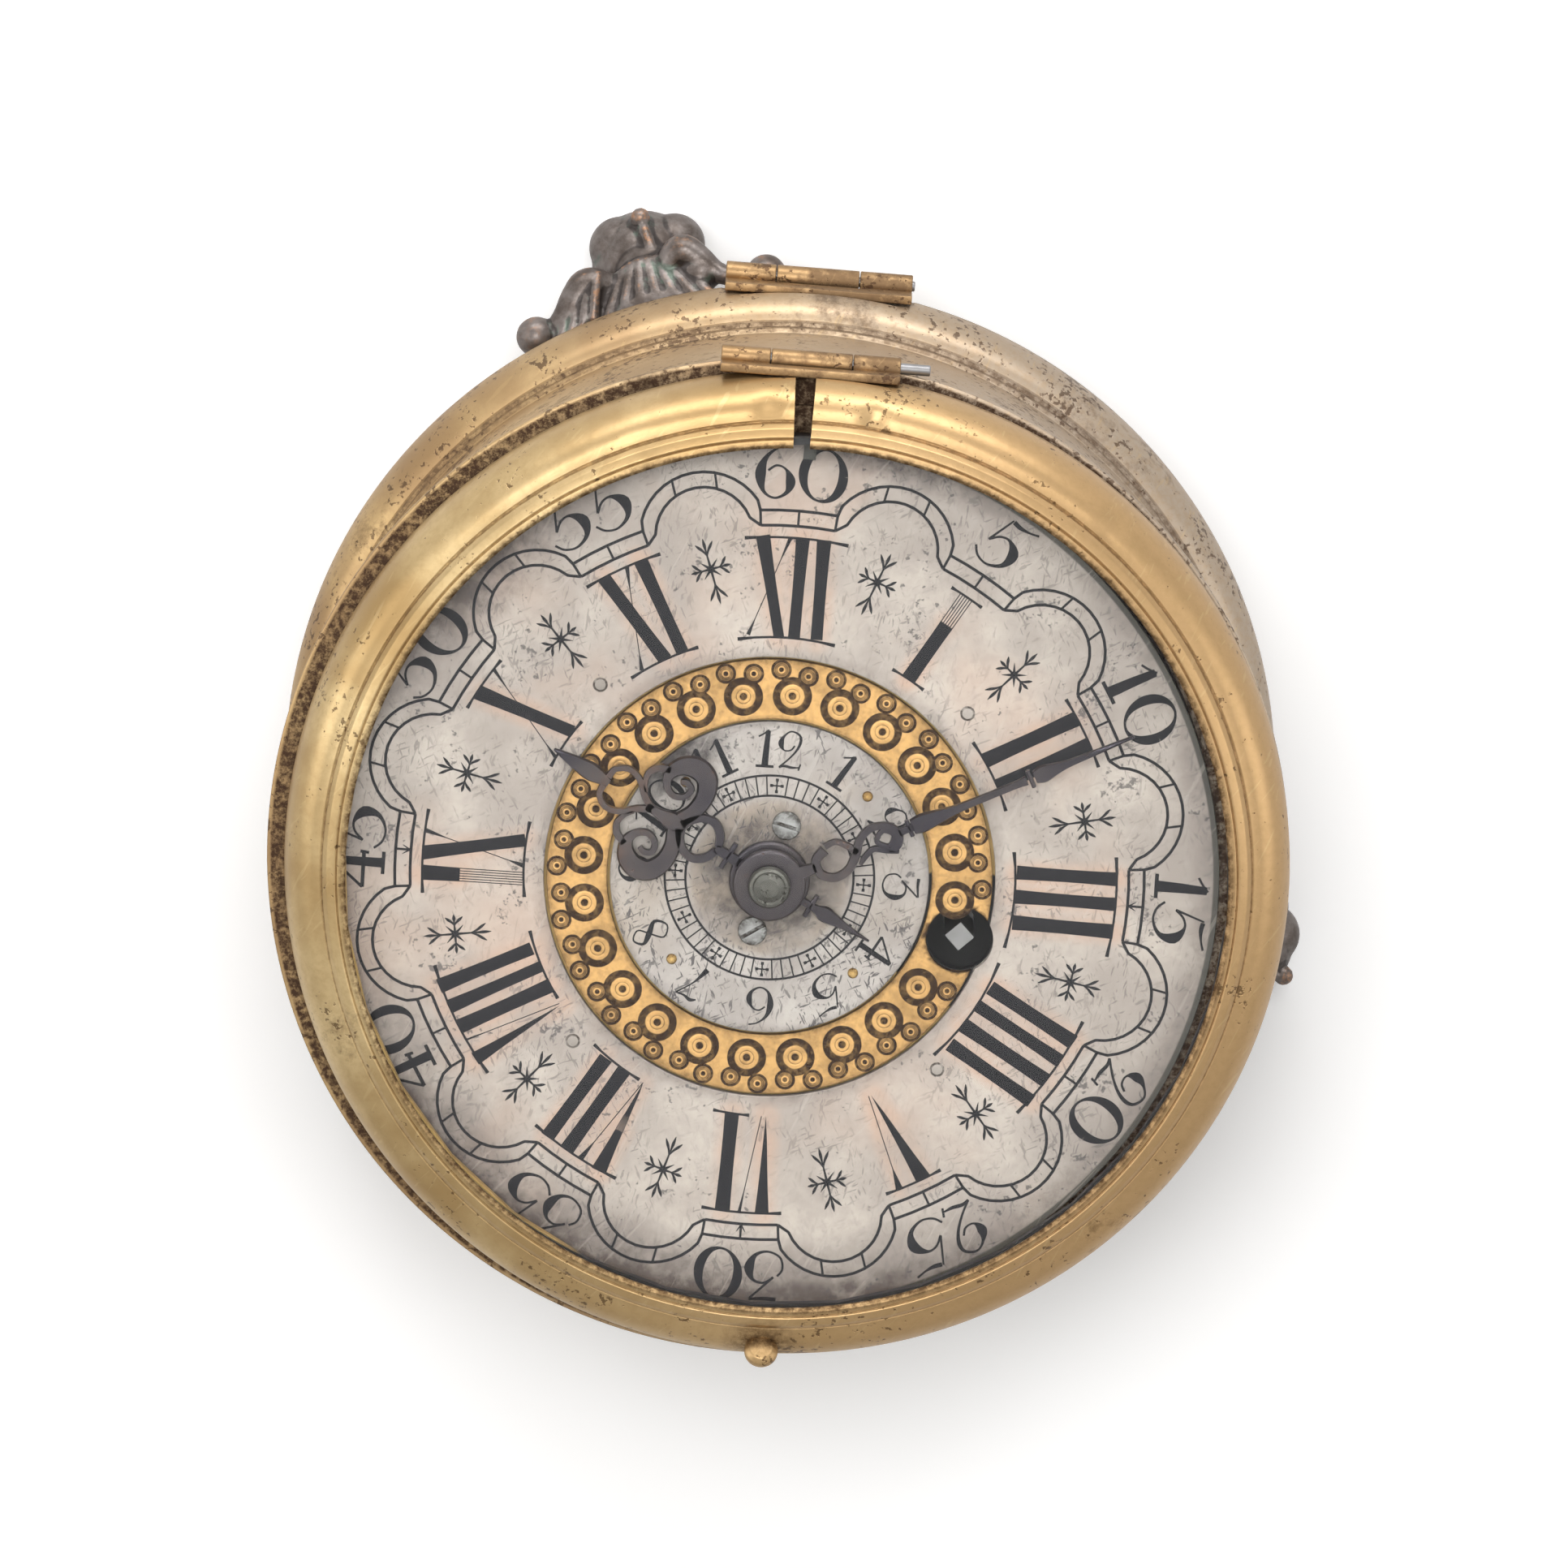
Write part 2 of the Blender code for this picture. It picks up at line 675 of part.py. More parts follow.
def leaves(count, module, towards, bottom, top, bore=0.0):
    """Pinion leaves, solid or with a bore."""
    outlines = [leaf_outline(count, module, towards)]
    if bore:
        outlines.append(circle(bore, ARBOR_STEPS))
    return flat(outlines, bottom, top)


def crown(teeth, radius, wall, body, tooth):
    """Crown of teeth standing on a round wall, built upwards from height 0, and its width."""
    mesh = bpy.data.meshes.new("crown")
    count = teeth * 2
    points = []
    for index in range(count):
        angle = 2 * math.pi * index / count
        x = radius * math.cos(angle)
        y = radius * math.sin(angle)
        points.append((x, y, 0))
        points.append((x, y, body + (tooth if index % 2 == 0 else 0)))
    faces = []
    for index in range(count):
        near = index * 2
        far = (index + 1) % count * 2
        faces.append((near, far, far + 1, near + 1))
    mesh.from_pydata(points, [], faces)
    thing = bpy.data.objects.new("crown", mesh)
    PARTS.objects.link(thing)
    shell = thing.modifiers.new("wall", "SOLIDIFY")
    shell.thickness = wall
    shell.offset = -1.0
    return as_mesh(thing)


def arbor_with_leaves(shaft, pinion, parent, position):
    """Shaft and its pinion leaves as one body."""
    cutter(pinion, parent, position)
    return combine(shaft, pinion, "UNION")


def stepped_shaft(levels):
    """Turned shaft from (radius, top, bottom) lengths that follow each other downwards."""
    profile = [(0, levels[0][1])]
    for radius, top, bottom in levels:
        profile += [(radius, top), (radius, bottom)]
    profile.append((0, levels[-1][2]))
    return turned(profile, ARBOR_STEPS, closed=False)


def plate_arbor(radius, low=BACK_PLATE_TOP, high=PILLAR_PLATE_BOTTOM):
    """Arbor between the plates with a pivot in each of them."""
    half = PLATE_THICKNESS / 2
    return stepped_shaft([
        (PIVOT_RADIUS, high + half, high - SEAT),
        (radius, high - SEAT, low + SEAT),
        (PIVOT_RADIUS, low + SEAT, low - half),
    ])


# Places of the train, in the clock's own axes
CENTRE = MOVEMENT_SHIFT
WINDING_PLACE = clock_point(WINDING_REACH, WINDING_ANGLE, CENTRE)
BARREL_PLACE = (CENTRE[0] + BARREL_POSITION[0], CENTRE[1] + BARREL_POSITION[1])
MOTION_DISTANCE = CANNON_MODULE * (CANNON_LEAVES + MINUTE_WHEEL_TEETH) / 2
MINUTE_WHEEL_PLACE = clock_point(MOTION_DISTANCE, MINUTE_WHEEL_ANGLE, CENTRE)
GREAT_MODULE = 2 * WINDING_REACH / (CENTRE_PINION_LEAVES + GREAT_WHEEL_TEETH)
THIRD_DISTANCE = CENTRE_MODULE * (CENTRE_WHEEL_TEETH + THIRD_PINION_LEAVES) / 2
THIRD_PLACE = clock_point(THIRD_DISTANCE, THIRD_ANGLE, CENTRE)
CONTRATE_DISTANCE = THIRD_MODULE * (THIRD_WHEEL_TEETH + CONTRATE_PINION_LEAVES) / 2
CONTRATE_PLACE = clock_point(CONTRATE_DISTANCE, CONTRATE_TURN, THIRD_PLACE)
ESCAPE_ANGLE = math.degrees(
    math.atan2(CONTRATE_PLACE[0] - CENTRE[0], CONTRATE_PLACE[1] - CENTRE[1]))
VERGE_PLACE = clock_point(VERGE_REACH, ESCAPE_ANGLE, CONTRATE_PLACE)
COCK_FOOT_PLACE = clock_point(COCK_FOOT_REACH, COCK_FOOT_TURN, VERGE_PLACE)
CONTRATE_MEAN = CONTRATE_RADIUS - CONTRATE_RIM / 2
ESCAPE_PINION_MODULE = 2 * CONTRATE_MEAN / CONTRATE_TEETH
ESCAPE_PINION_TIP = ESCAPE_PINION_MODULE * (ESCAPE_PINION_LEAVES / 2 + TOOTH_ADDENDUM)
CONTRATE_TIPS = CONTRATE_TOP - CONTRATE_HEIGHT - CONTRATE_TOOTH
ESCAPE_HEIGHT = CONTRATE_TIPS - ESCAPE_PINION_TIP + CONTRATE_TOOTH / 3
ALARM_BARREL_PLACE = (CENTRE[0] + ALARM_BARREL_POSITION[0], CENTRE[1] + ALARM_BARREL_POSITION[1])
ALARM_DISTANCE = ALARM_MODULE * (ALARM_WHEEL_TEETH + ALARM_PINION_LEAVES) / 2
ALARM_ESCAPE_PLACE = clock_point(ALARM_DISTANCE, ALARM_MESH_TURN, ALARM_BARREL_PLACE)
HAMMER_PLACE = clock_point(HAMMER_REACH, HAMMER_TURN, ALARM_ESCAPE_PLACE)
TRAIN_PIVOTS = (THIRD_PLACE, CONTRATE_PLACE, ALARM_ESCAPE_PLACE)


def compass(degrees_clockwise):
    """Direction in degrees anticlockwise from +X, from degrees clockwise from 12 o'clock."""
    return 90.0 - degrees_clockwise


def at(place, height=0):
    """Position in the clock's own axes from a place in plan."""
    return (place[0], place[1], height)


def drum_profile():
    """Profile of the drum: flange, cove, wall and base moulding outside, ledge and bore inside."""
    cove_top = FLANGE_TOP - FLANGE_EDGE
    cove_bottom = FLANGE_TOP - COVE_DROP
    base_top = DRUM_BOTTOM + BASE_RISE
    outside = [
        (BORE_RADIUS + LEDGE_RIM, LEDGE_TOP),
        (BORE_RADIUS + LEDGE_RIM, FLANGE_TOP),
        (FLANGE_RADIUS, FLANGE_TOP),
        (FLANGE_RADIUS, cove_top),
    ]
    hollow = FLANGE_RADIUS - COVE_RADIUS - COVE_FILLET
    outside += quarter((FLANGE_RADIUS - COVE_FILLET, cove_bottom), -hollow, cove_top - cove_bottom,
                       90.0, 0.0, 3)
    outside += [
        (DRUM_RADIUS, cove_bottom - COVE_FILLET),
        (DRUM_RADIUS, base_top + BASE_FILLET * 1.3),
        (BASE_FILLET_RADIUS, base_top + BASE_FILLET),
        (BASE_FILLET_RADIUS, base_top),
    ]
    swell = BASE_RADIUS - BASE_FILLET_RADIUS
    centre = (BASE_FILLET_RADIUS, DRUM_BOTTOM + BASE_EDGE)
    outside += quarter(centre, swell, BASE_RISE - BASE_EDGE * 1.3, 82.0, 0.0, 4)
    inside = [
        (BASE_RADIUS, DRUM_BOTTOM),
        (BORE_RADIUS, DRUM_BOTTOM),
        (BORE_RADIUS, LEDGE_TOP - LEDGE_THICKNESS),
        (LEDGE_RADIUS, LEDGE_TOP - LEDGE_THICKNESS),
        (LEDGE_RADIUS, LEDGE_TOP),
    ]
    return outside + inside


def hinge_flat(reach, ends, bottom, top, parent):
    """Cutter that makes a round edge flat behind a hinge."""
    width = ends[-1] - ends[0] + SEAT * 2
    depth = FLANGE_RADIUS
    middle = (ends[-1] + ends[0]) / 2
    return cutter(box((width, depth, top - bottom)), parent,
                  (middle, reach + depth / 2, (top + bottom) / 2))


def drum_flat():
    """Distance from the clock's axis to the drum's flat behind the base hinge."""
    return min(BASE_HINGE_REACH - BASE_LEAF_INSET - SEAT, BASE_RADIUS - BASE_FLAT_DEPTH)


def cover_flat():
    """Distance from the clock's axis to the cover's flat behind the base hinge."""
    return min(BASE_HINGE_REACH - BASE_KNUCKLE_RADIUS - SEAT * 2, COVER_RADIUS - COVER_FLAT_DEPTH)


def build_drum(case):
    """Gilt drum with its mouldings, flat behind both hinges."""
    drum = piece(turned(drum_profile(), DRUM_STEPS), "case_drum", GILT, case)
    combine(drum, hinge_flat(drum_flat(), BASE_KNUCKLE_ENDS, DRUM_BOTTOM - OVERRUN,
                             BASE_HINGE_HEIGHT + BASE_LEAF_TOP + SEAT, case), "DIFFERENCE")
    high = BEZEL_HINGE_REACH - LUG_INSET - SEAT
    combine(drum, hinge_flat(high, BEZEL_KNUCKLE_ENDS, BEZEL_HINGE_HEIGHT - LUG_DROP - SEAT,
                             FLANGE_TOP + OVERRUN, case), "DIFFERENCE")


def cover_profile():
    """Profile of the bottom cover: a disc with a beaded edge and a locating rim."""
    rim = BORE_RADIUS - SEAT
    return [
        (0, COVER_TOP),
        (rim - COVER_RIM_WALL, COVER_TOP),
        (rim - COVER_RIM_WALL, COVER_TOP + COVER_RIM_HEIGHT),
        (rim, COVER_TOP + COVER_RIM_HEIGHT),
        (rim, COVER_TOP),
        (COVER_RADIUS - COVER_EDGE_BEAD, COVER_TOP),
        (COVER_RADIUS, COVER_TOP - COVER_EDGE_BEAD),
        (COVER_RADIUS, COVER_BOTTOM + COVER_EDGE_BEAD),
        (COVER_RADIUS - COVER_EDGE_BEAD, COVER_BOTTOM),
        (0, COVER_BOTTOM),
    ]


def build_cover(clock):
    """Bottom cover with holes for the foot screws."""
    cover = piece(turned(cover_profile(), DRUM_STEPS, closed=False), "bottom_cover", GILT, clock)
    for angle in FOOT_ANGLES:
        place = clock_point(FOOT_PAD_REACH, angle)
        hole = rod(FOOT_SCREW_RADIUS + FIT * 2, COVER_BOTTOM - OVERRUN, COVER_TOP + OVERRUN)
        combine(cover, cutter(hole, clock, at(place)), "DIFFERENCE")
    ends = (BASE_KNUCKLE_ENDS[0] - BASE_PIN_STAND, BASE_KNUCKLE_ENDS[-1] + BASE_PIN_STAND)
    combine(cover, hinge_flat(cover_flat(), ends, COVER_BOTTOM - OVERRUN,
                              COVER_TOP + SEAT, clock), "DIFFERENCE")


def cast_body(parts, frame_empty, turn):
    """Union of loose bodies in one frame: the first takes in the others."""
    first = put(parts[0], frame_empty, PLACES[frame_empty.name], turn)
    for other in parts[1:]:
        cutter(other, frame_empty, PLACES[frame_empty.name], turn)
        combine(first, other, "UNION")
    return first


def apron():
    """Fluted apron that runs from the case's edge out to the ball, as a tapered body."""
    start = Vector((0, APRON_TOP_REACH, APRON_TOP_HEIGHT))
    end = Vector((0, APRON_END_REACH, APRON_END_HEIGHT))
    length = (end - start).length
    work = bmesh.new()
    bmesh.ops.create_cone(work, cap_ends=True, segments=12, radius1=0.5, radius2=0.5, depth=1.0)
    for vert in work.verts:
        far = vert.co.z > 0
        vert.co.x *= APRON_END_WIDTH if far else APRON_TOP_WIDTH
        vert.co.y *= APRON_END_DEPTH if far else APRON_TOP_DEPTH
        vert.co.z *= length
    lean = Vector((0, 0, 1)).rotation_difference(end - start).to_matrix().to_4x4()
    bmesh.ops.transform(work, matrix=Matrix.Translation((start + end) / 2) @ lean, verts=work.verts)
    mesh = bpy.data.meshes.new("apron")
    work.to_mesh(mesh)
    work.free()
    thing = bpy.data.objects.new("apron", mesh)
    PARTS.objects.link(thing)
    return thing


def shifted(point, step):
    """Point moved by a step."""
    return tuple(value + part for value, part in zip(point, step))


def mirrored(point, side):
    """Point with its first coordinate on the given side."""
    return (point[0] * side, point[1], point[2])


def build_foot(name, angle, clock):
    """Cast foot: pad under the cover, apron, scroll arms, claw and ball."""
    turn = (0, 0, -math.radians(angle))
    middle = (0, BALL_REACH, BALL_RADIUS - BALL_FLAT)
    waist = (0, (APRON_TOP_REACH + APRON_END_REACH) / 2, (APRON_TOP_HEIGHT + APRON_END_HEIGHT) / 2)
    hem = (0, APRON_END_REACH, APRON_END_HEIGHT)
    bpy.ops.mesh.primitive_uv_sphere_add(segments=16, ring_count=9, radius=BALL_RADIUS)
    ball = bpy.context.active_object
    ball.data.transform(Matrix.Translation(middle))
    pad = rod(FOOT_PAD_RADIUS, FOOT_HEIGHT - FOOT_PAD_THICKNESS, FOOT_HEIGHT, 14)
    pad = as_mesh(pad)
    pad.data.transform(Matrix.Translation((0, FOOT_PAD_REACH, 0)))
    parts = [ball, apron(), pad, tube((middle, waist), (STEM_RADIUS, STEM_RADIUS))]
    for side in (-1, 1):
        steps = (ARM_START, ARM_MIDDLE, VOLUTE_CENTRE)
        route = [mirrored(shifted(hem, step), side) for step in steps]
        parts.append(tube(route, (ARM_RADIUS, ARM_RADIUS, ARM_RADIUS)))
        bpy.ops.mesh.primitive_uv_sphere_add(segments=8, ring_count=5, radius=VOLUTE_RADIUS)
        volute = bpy.context.active_object
        volute.data.transform(Matrix.Translation(route[-1]))
        parts.append(volute)
    route = [shifted(middle, step) for step in (CLAW_TOP, CLAW_MIDDLE, CLAW_TIP)]
    parts.append(tube(route, (CLAW_RADIUS, CLAW_RADIUS, CLAW_RADIUS / 2)))
    foot = cast_body(parts, clock, turn)
    hole = rod(FOOT_SCREW_RADIUS + FIT * 2, FOOT_HEIGHT - FOOT_SCREW_BITE - SEAT, FOOT_HEIGHT + OVERRUN)
    combine(foot, cutter(hole, clock, at(clock_point(FOOT_PAD_REACH, angle))), "DIFFERENCE")
    under = box((BALL_RADIUS * 4, BALL_RADIUS * 4, OVERRUN), (0, BALL_REACH, -OVERRUN / 2))
    combine(foot, cutter(under, clock, (0, 0, 0), turn), "DIFFERENCE")
    above = box((APRON_TOP_WIDTH * 2, APRON_TOP_WIDTH * 2, OVERRUN),
                (0, APRON_TOP_REACH, FOOT_HEIGHT + OVERRUN / 2))
    combine(foot, cutter(above, clock, (0, 0, 0), turn), "DIFFERENCE")
    piece(foot, name, BRONZE, clock, (0, 0, 0), turn)


def build_foot_screws(clock):
    """Three screws that hold the feet under the cover."""
    head_bottom = COVER_TOP + SEAT
    profile = [
        (0, head_bottom + FOOT_SCREW_HEAD),
        (FOOT_SCREW_HEAD_RADIUS, head_bottom + FOOT_SCREW_HEAD),
        (FOOT_SCREW_HEAD_RADIUS, head_bottom),
        (FOOT_SCREW_RADIUS, head_bottom),
        (FOOT_SCREW_RADIUS, FOOT_HEIGHT - FOOT_SCREW_BITE),
        (0, FOOT_HEIGHT - FOOT_SCREW_BITE),
    ]
    for name, angle in zip(FOOT_NAMES, FOOT_ANGLES):
        screw = turned(profile, ARBOR_STEPS, closed=False)
        piece(screw, name + "_screw", STEEL, clock, at(clock_point(FOOT_PAD_REACH, angle)))


def bell_profile():
    """Shallow cup of even wall, open upwards, with a hole in its crown."""
    floor = COVER_TOP + SEAT + BELL_SEAT_HEIGHT + SEAT
    outer = quarter((BELL_CROWN_RADIUS, floor + BELL_DEPTH), BELL_RADIUS - BELL_CROWN_RADIUS,
                    BELL_DEPTH, 0.0, -90.0, 4)
    inner = quarter((BELL_CROWN_RADIUS, floor + BELL_DEPTH), BELL_RADIUS - BELL_CROWN_RADIUS - BELL_WALL,
                    BELL_DEPTH - BELL_WALL, -90.0, 0.0, 4)
    hole = BELL_POST_RADIUS + FIT * 2
    return outer + [(hole, floor), (hole, floor + BELL_WALL)] + inner


def build_bell(clock):
    """Bell and the post that carries it, with the nut above it."""
    piece(turned(bell_profile(), PLATE_STEPS), "bell", BELL_METAL, clock)
    seat = COVER_TOP + SEAT
    floor = seat + BELL_SEAT_HEIGHT + SEAT
    nut = floor + BELL_WALL + SEAT
    post = turned([
        (0, nut + BELL_NUT_HEIGHT),
        (BELL_NUT_RADIUS, nut + BELL_NUT_HEIGHT),
        (BELL_NUT_RADIUS, nut),
        (BELL_POST_RADIUS, nut),
        (BELL_POST_RADIUS, seat + BELL_SEAT_HEIGHT),
        (BELL_SEAT_RADIUS, seat + BELL_SEAT_HEIGHT),
        (BELL_SEAT_RADIUS, seat),
        (0, seat),
    ], 20, closed=False)
    piece(post, "bell_post", BRASS, clock)


def knuckle(start, end, radius):
    """Knuckle of a hinge between two ends along the pin."""
    return round_bar(radius, end - start - FIT * 2, "X", ((start + end) / 2, 0, 0))


def build_leaf(name, look, parent, hinge, radius, pin, knuckles, blocks):
    """Hinge leaf: its knuckles and blocks as one body with a bore for the pin."""
    bodies = [knuckle(start, end, radius) for start, end in knuckles]
    bodies += [box(size, centre) for size, centre in blocks]
    leaf = piece(bodies[0], name, look, parent, hinge)
    for other in bodies[1:]:
        combine(leaf, cutter(other, parent, hinge), "UNION")
    length = knuckles[-1][1] - knuckles[0][0] + OVERRUN
    middle = (knuckles[-1][1] + knuckles[0][0]) / 2
    bore = round_bar(pin + FIT, length, "X", (middle, 0, 0), 12)
    combine(leaf, cutter(bore, parent, hinge), "DIFFERENCE")
    return leaf


def tab(start, end, inset, thickness, low, high):
    """Block between two ends along the pin, set in from the pin's axis towards the clock."""
    size = (end - start - FIT * 2, thickness, high - low)
    return size, ((start + end) / 2, -inset + thickness / 2, (low + high) / 2)


def build_base_hinge(clock, case):
    """Base hinge: two knuckles on the case, one on the cover, and the pin."""
    hinge = (0, BASE_HINGE_REACH, BASE_HINGE_HEIGHT)
    left, first, second, right = BASE_KNUCKLE_ENDS
    clear = BASE_KNUCKLE_RADIUS + SEAT
    inset = BASE_HINGE_REACH - drum_flat() - SEAT
    thickness = BASE_LEAF_THICKNESS + inset - BASE_LEAF_INSET
    blocks = [tab(left, right, inset, thickness, clear, BASE_LEAF_TOP)]
    for start, end in ((left, first), (second, right)):
        blocks.append(tab(start, end, inset, thickness, 0, clear + SEAT))
    build_leaf("case_hinge_leaf", GILT, case, hinge, BASE_KNUCKLE_RADIUS, BASE_PIN_RADIUS,
               ((left, first), (second, right)), blocks)
    depth = BASE_HINGE_REACH - cover_flat() - SEAT
    low = COVER_BOTTOM + SEAT / 2 - BASE_HINGE_HEIGHT
    block = tab(first, second, depth, depth, low, COVER_TOP - SEAT - BASE_HINGE_HEIGHT)
    build_leaf("cover_hinge_leaf", GILT, clock, hinge, BASE_KNUCKLE_RADIUS, BASE_PIN_RADIUS,
               ((first, second),), [block])
    length = right - left + BASE_PIN_STAND * 2
    pin = round_bar(BASE_PIN_RADIUS, length, "X", ((left + right) / 2, 0, 0), 12)
    piece(pin, "case_hinge_pin", STEEL, case, hinge)


def build_bezel_hinge(case, bezel):
    """Bezel hinge: two knuckles on the bezel, a lug with one on the case, and the pin."""
    hinge = (0, BEZEL_HINGE_REACH, BEZEL_HINGE_HEIGHT)
    left, first, second, right = BEZEL_KNUCKLE_ENDS
    clear = BEZEL_KNUCKLE_RADIUS + SEAT
    blocks = [tab(left, right, BEZEL_LEAF_INSET, BEZEL_LEAF_THICKNESS, clear, BEZEL_LEAF_TOP)]
    for start, end in ((left, first), (second, right)):
        blocks.append(tab(start, end, BEZEL_LEAF_INSET, BEZEL_LEAF_THICKNESS, 0, clear + SEAT))
    build_leaf("bezel_hinge_leaf", GILT, bezel, hinge, BEZEL_KNUCKLE_RADIUS, BEZEL_PIN_RADIUS,
               ((left, first), (second, right)), blocks)
    lug = tab(first, second, LUG_INSET, BEZEL_LEAF_THICKNESS, -LUG_DROP, 0)
    build_leaf("bezel_hinge_lug", GILT, case, hinge, BEZEL_KNUCKLE_RADIUS, BEZEL_PIN_RADIUS,
               ((first, second),), [lug])
    start = left + SEAT
    end = right + BEZEL_PIN_STAND
    pin = round_bar(BEZEL_PIN_RADIUS, end - start, "X", ((start + end) / 2, 0, 0), 12)
    piece(pin, "bezel_hinge_pin", STEEL, bezel, hinge)


def bezel_profile():
    """Profile of the bezel: lip, bead, fillet and wide arch outside, glass bed and skirt inside."""
    lip_top = BEZEL_TOP
    bead = BEZEL_BEAD
    step = (BEZEL_FILLET_RADIUS - BEZEL_LIP_RADIUS) / 5
    outside = [
        (BEZEL_LIP_RADIUS, lip_top),
        (BEZEL_LIP_RADIUS + step, lip_top + bead),
        (BEZEL_LIP_RADIUS + step * 2.5, lip_top - bead),
        (BEZEL_FILLET_RADIUS - bead, lip_top - bead * 4),
        (BEZEL_FILLET_RADIUS, BEZEL_CREST),
    ]
    arch = BEZEL_RADIUS - BEZEL_FILLET_RADIUS
    outside += quarter((BEZEL_FILLET_RADIUS, BEZEL_SHOULDER), arch, BEZEL_ARCH - bead, 74.0, 0.0, 4)
    inside = [
        (BEZEL_RADIUS, BEZEL_BOTTOM),
        (BEZEL_SKIRT_RADIUS, BEZEL_BOTTOM),
        (BEZEL_SKIRT_RADIUS, BEZEL_BOTTOM + BEZEL_SKIRT_DEPTH),
        (GLASS_BED_RADIUS, BEZEL_BOTTOM + BEZEL_SKIRT_DEPTH),
        (GLASS_BED_RADIUS, BEZEL_TOP - BEZEL_LIP_THICKNESS),
        (BEZEL_LIP_RADIUS, BEZEL_TOP - BEZEL_LIP_THICKNESS),
    ]
    return outside + inside


def build_bezel(bezel):
    """Bezel ring, split at 12 o'clock and flat behind its hinge."""
    axis = (BEZEL_SHIFT, 0, 0)
    body = piece(turned(bezel_profile(), DRUM_STEPS), "bezel_ring", GILT, bezel, axis)
    height = BEZEL_TOP - BEZEL_BOTTOM + OVERRUN
    middle = (BEZEL_TOP + BEZEL_BOTTOM) / 2
    split = box((SPLIT_WIDTH, SPLIT_LENGTH, height))
    reach = (BEZEL_LIP_RADIUS + BEZEL_RADIUS) / 2
    combine(body, cutter(split, bezel, (SPLIT_X, reach, middle)), "DIFFERENCE")
    edge = BEZEL_HINGE_REACH - BEZEL_LEAF_INSET - SEAT
    combine(body, hinge_flat(edge, BEZEL_KNUCKLE_ENDS, BEZEL_BOTTOM - OVERRUN,
                             BEZEL_HINGE_HEIGHT + BEZEL_LEAF_TOP + SEAT, bezel), "DIFFERENCE")


def dome(radius, edge, rise, shares):
    """Points of a low dome from its middle to its rim."""
    return [(radius * share, edge + rise * (1 - share * share)) for share in shares]


def build_glass(bezel):
    """Domed glass and the ring that holds it in the bezel from below."""
    radius = GLASS_BED_RADIUS - GLASS_PLAY
    dome_shares = (0.0, 0.4, 0.75, 1.0)
    top = dome(radius, GLASS_TOP, GLASS_RISE, dome_shares)
    bottom = dome(radius, GLASS_BOTTOM, GLASS_RISE, dome_shares)
    axis = (BEZEL_SHIFT, 0, 0)
    glass = turned(top + bottom[::-1], GLASS_STEPS, closed=False)
    piece(glass, "bezel_glass", CLEAR, bezel, axis)
    ring_top = GLASS_BOTTOM - SEAT
    outer = GLASS_BED_RADIUS - FIT * 2
    retainer = ring(outer, outer - RETAINER_WIDTH, ring_top - RETAINER_THICKNESS, ring_top, GLASS_STEPS)
    piece(retainer, "glass_retainer", BRASS, bezel, axis)


def build_knob(bezel):
    """Lifting knob that stands out of the bezel's arch at 6 o'clock."""
    angle = math.radians(90.0 * KNOB_ARCH_SHARE)
    arch = BEZEL_RADIUS - BEZEL_FILLET_RADIUS
    reach = BEZEL_FILLET_RADIUS + arch * math.cos(angle)
    height = BEZEL_SHOULDER + (BEZEL_ARCH - BEZEL_BEAD) * math.sin(angle)
    head = KNOB_LENGTH - KNOB_NECK_LENGTH
    profile = [(0, KNOB_LENGTH)]
    profile += quarter((0, KNOB_NECK_LENGTH + head / 3), KNOB_RADIUS, head * 2 / 3, 60.0, 0.0, 3)
    profile += [
        (KNOB_RADIUS, KNOB_NECK_LENGTH + head / 6),
        (KNOB_NECK_RADIUS, KNOB_NECK_LENGTH),
        (KNOB_NECK_RADIUS, SEAT),
        (0, SEAT),
    ]
    knob = turned(profile, 20, closed=False)
    lean = math.radians(KNOB_TILT)
    piece(knob, "bezel_knob", GILT, bezel, (KNOB_X, -reach, height), (lean, 0, 0))


def dial_holes(plate, parent, bottom, top):
    """Cut the winding hole through one of the dial's plates."""
    hole = rod(WINDING_HOLE_RADIUS, bottom - OVERRUN, top + OVERRUN, 24)
    combine(plate, cutter(hole, parent, at(WINDING_PLACE)), "DIFFERENCE")


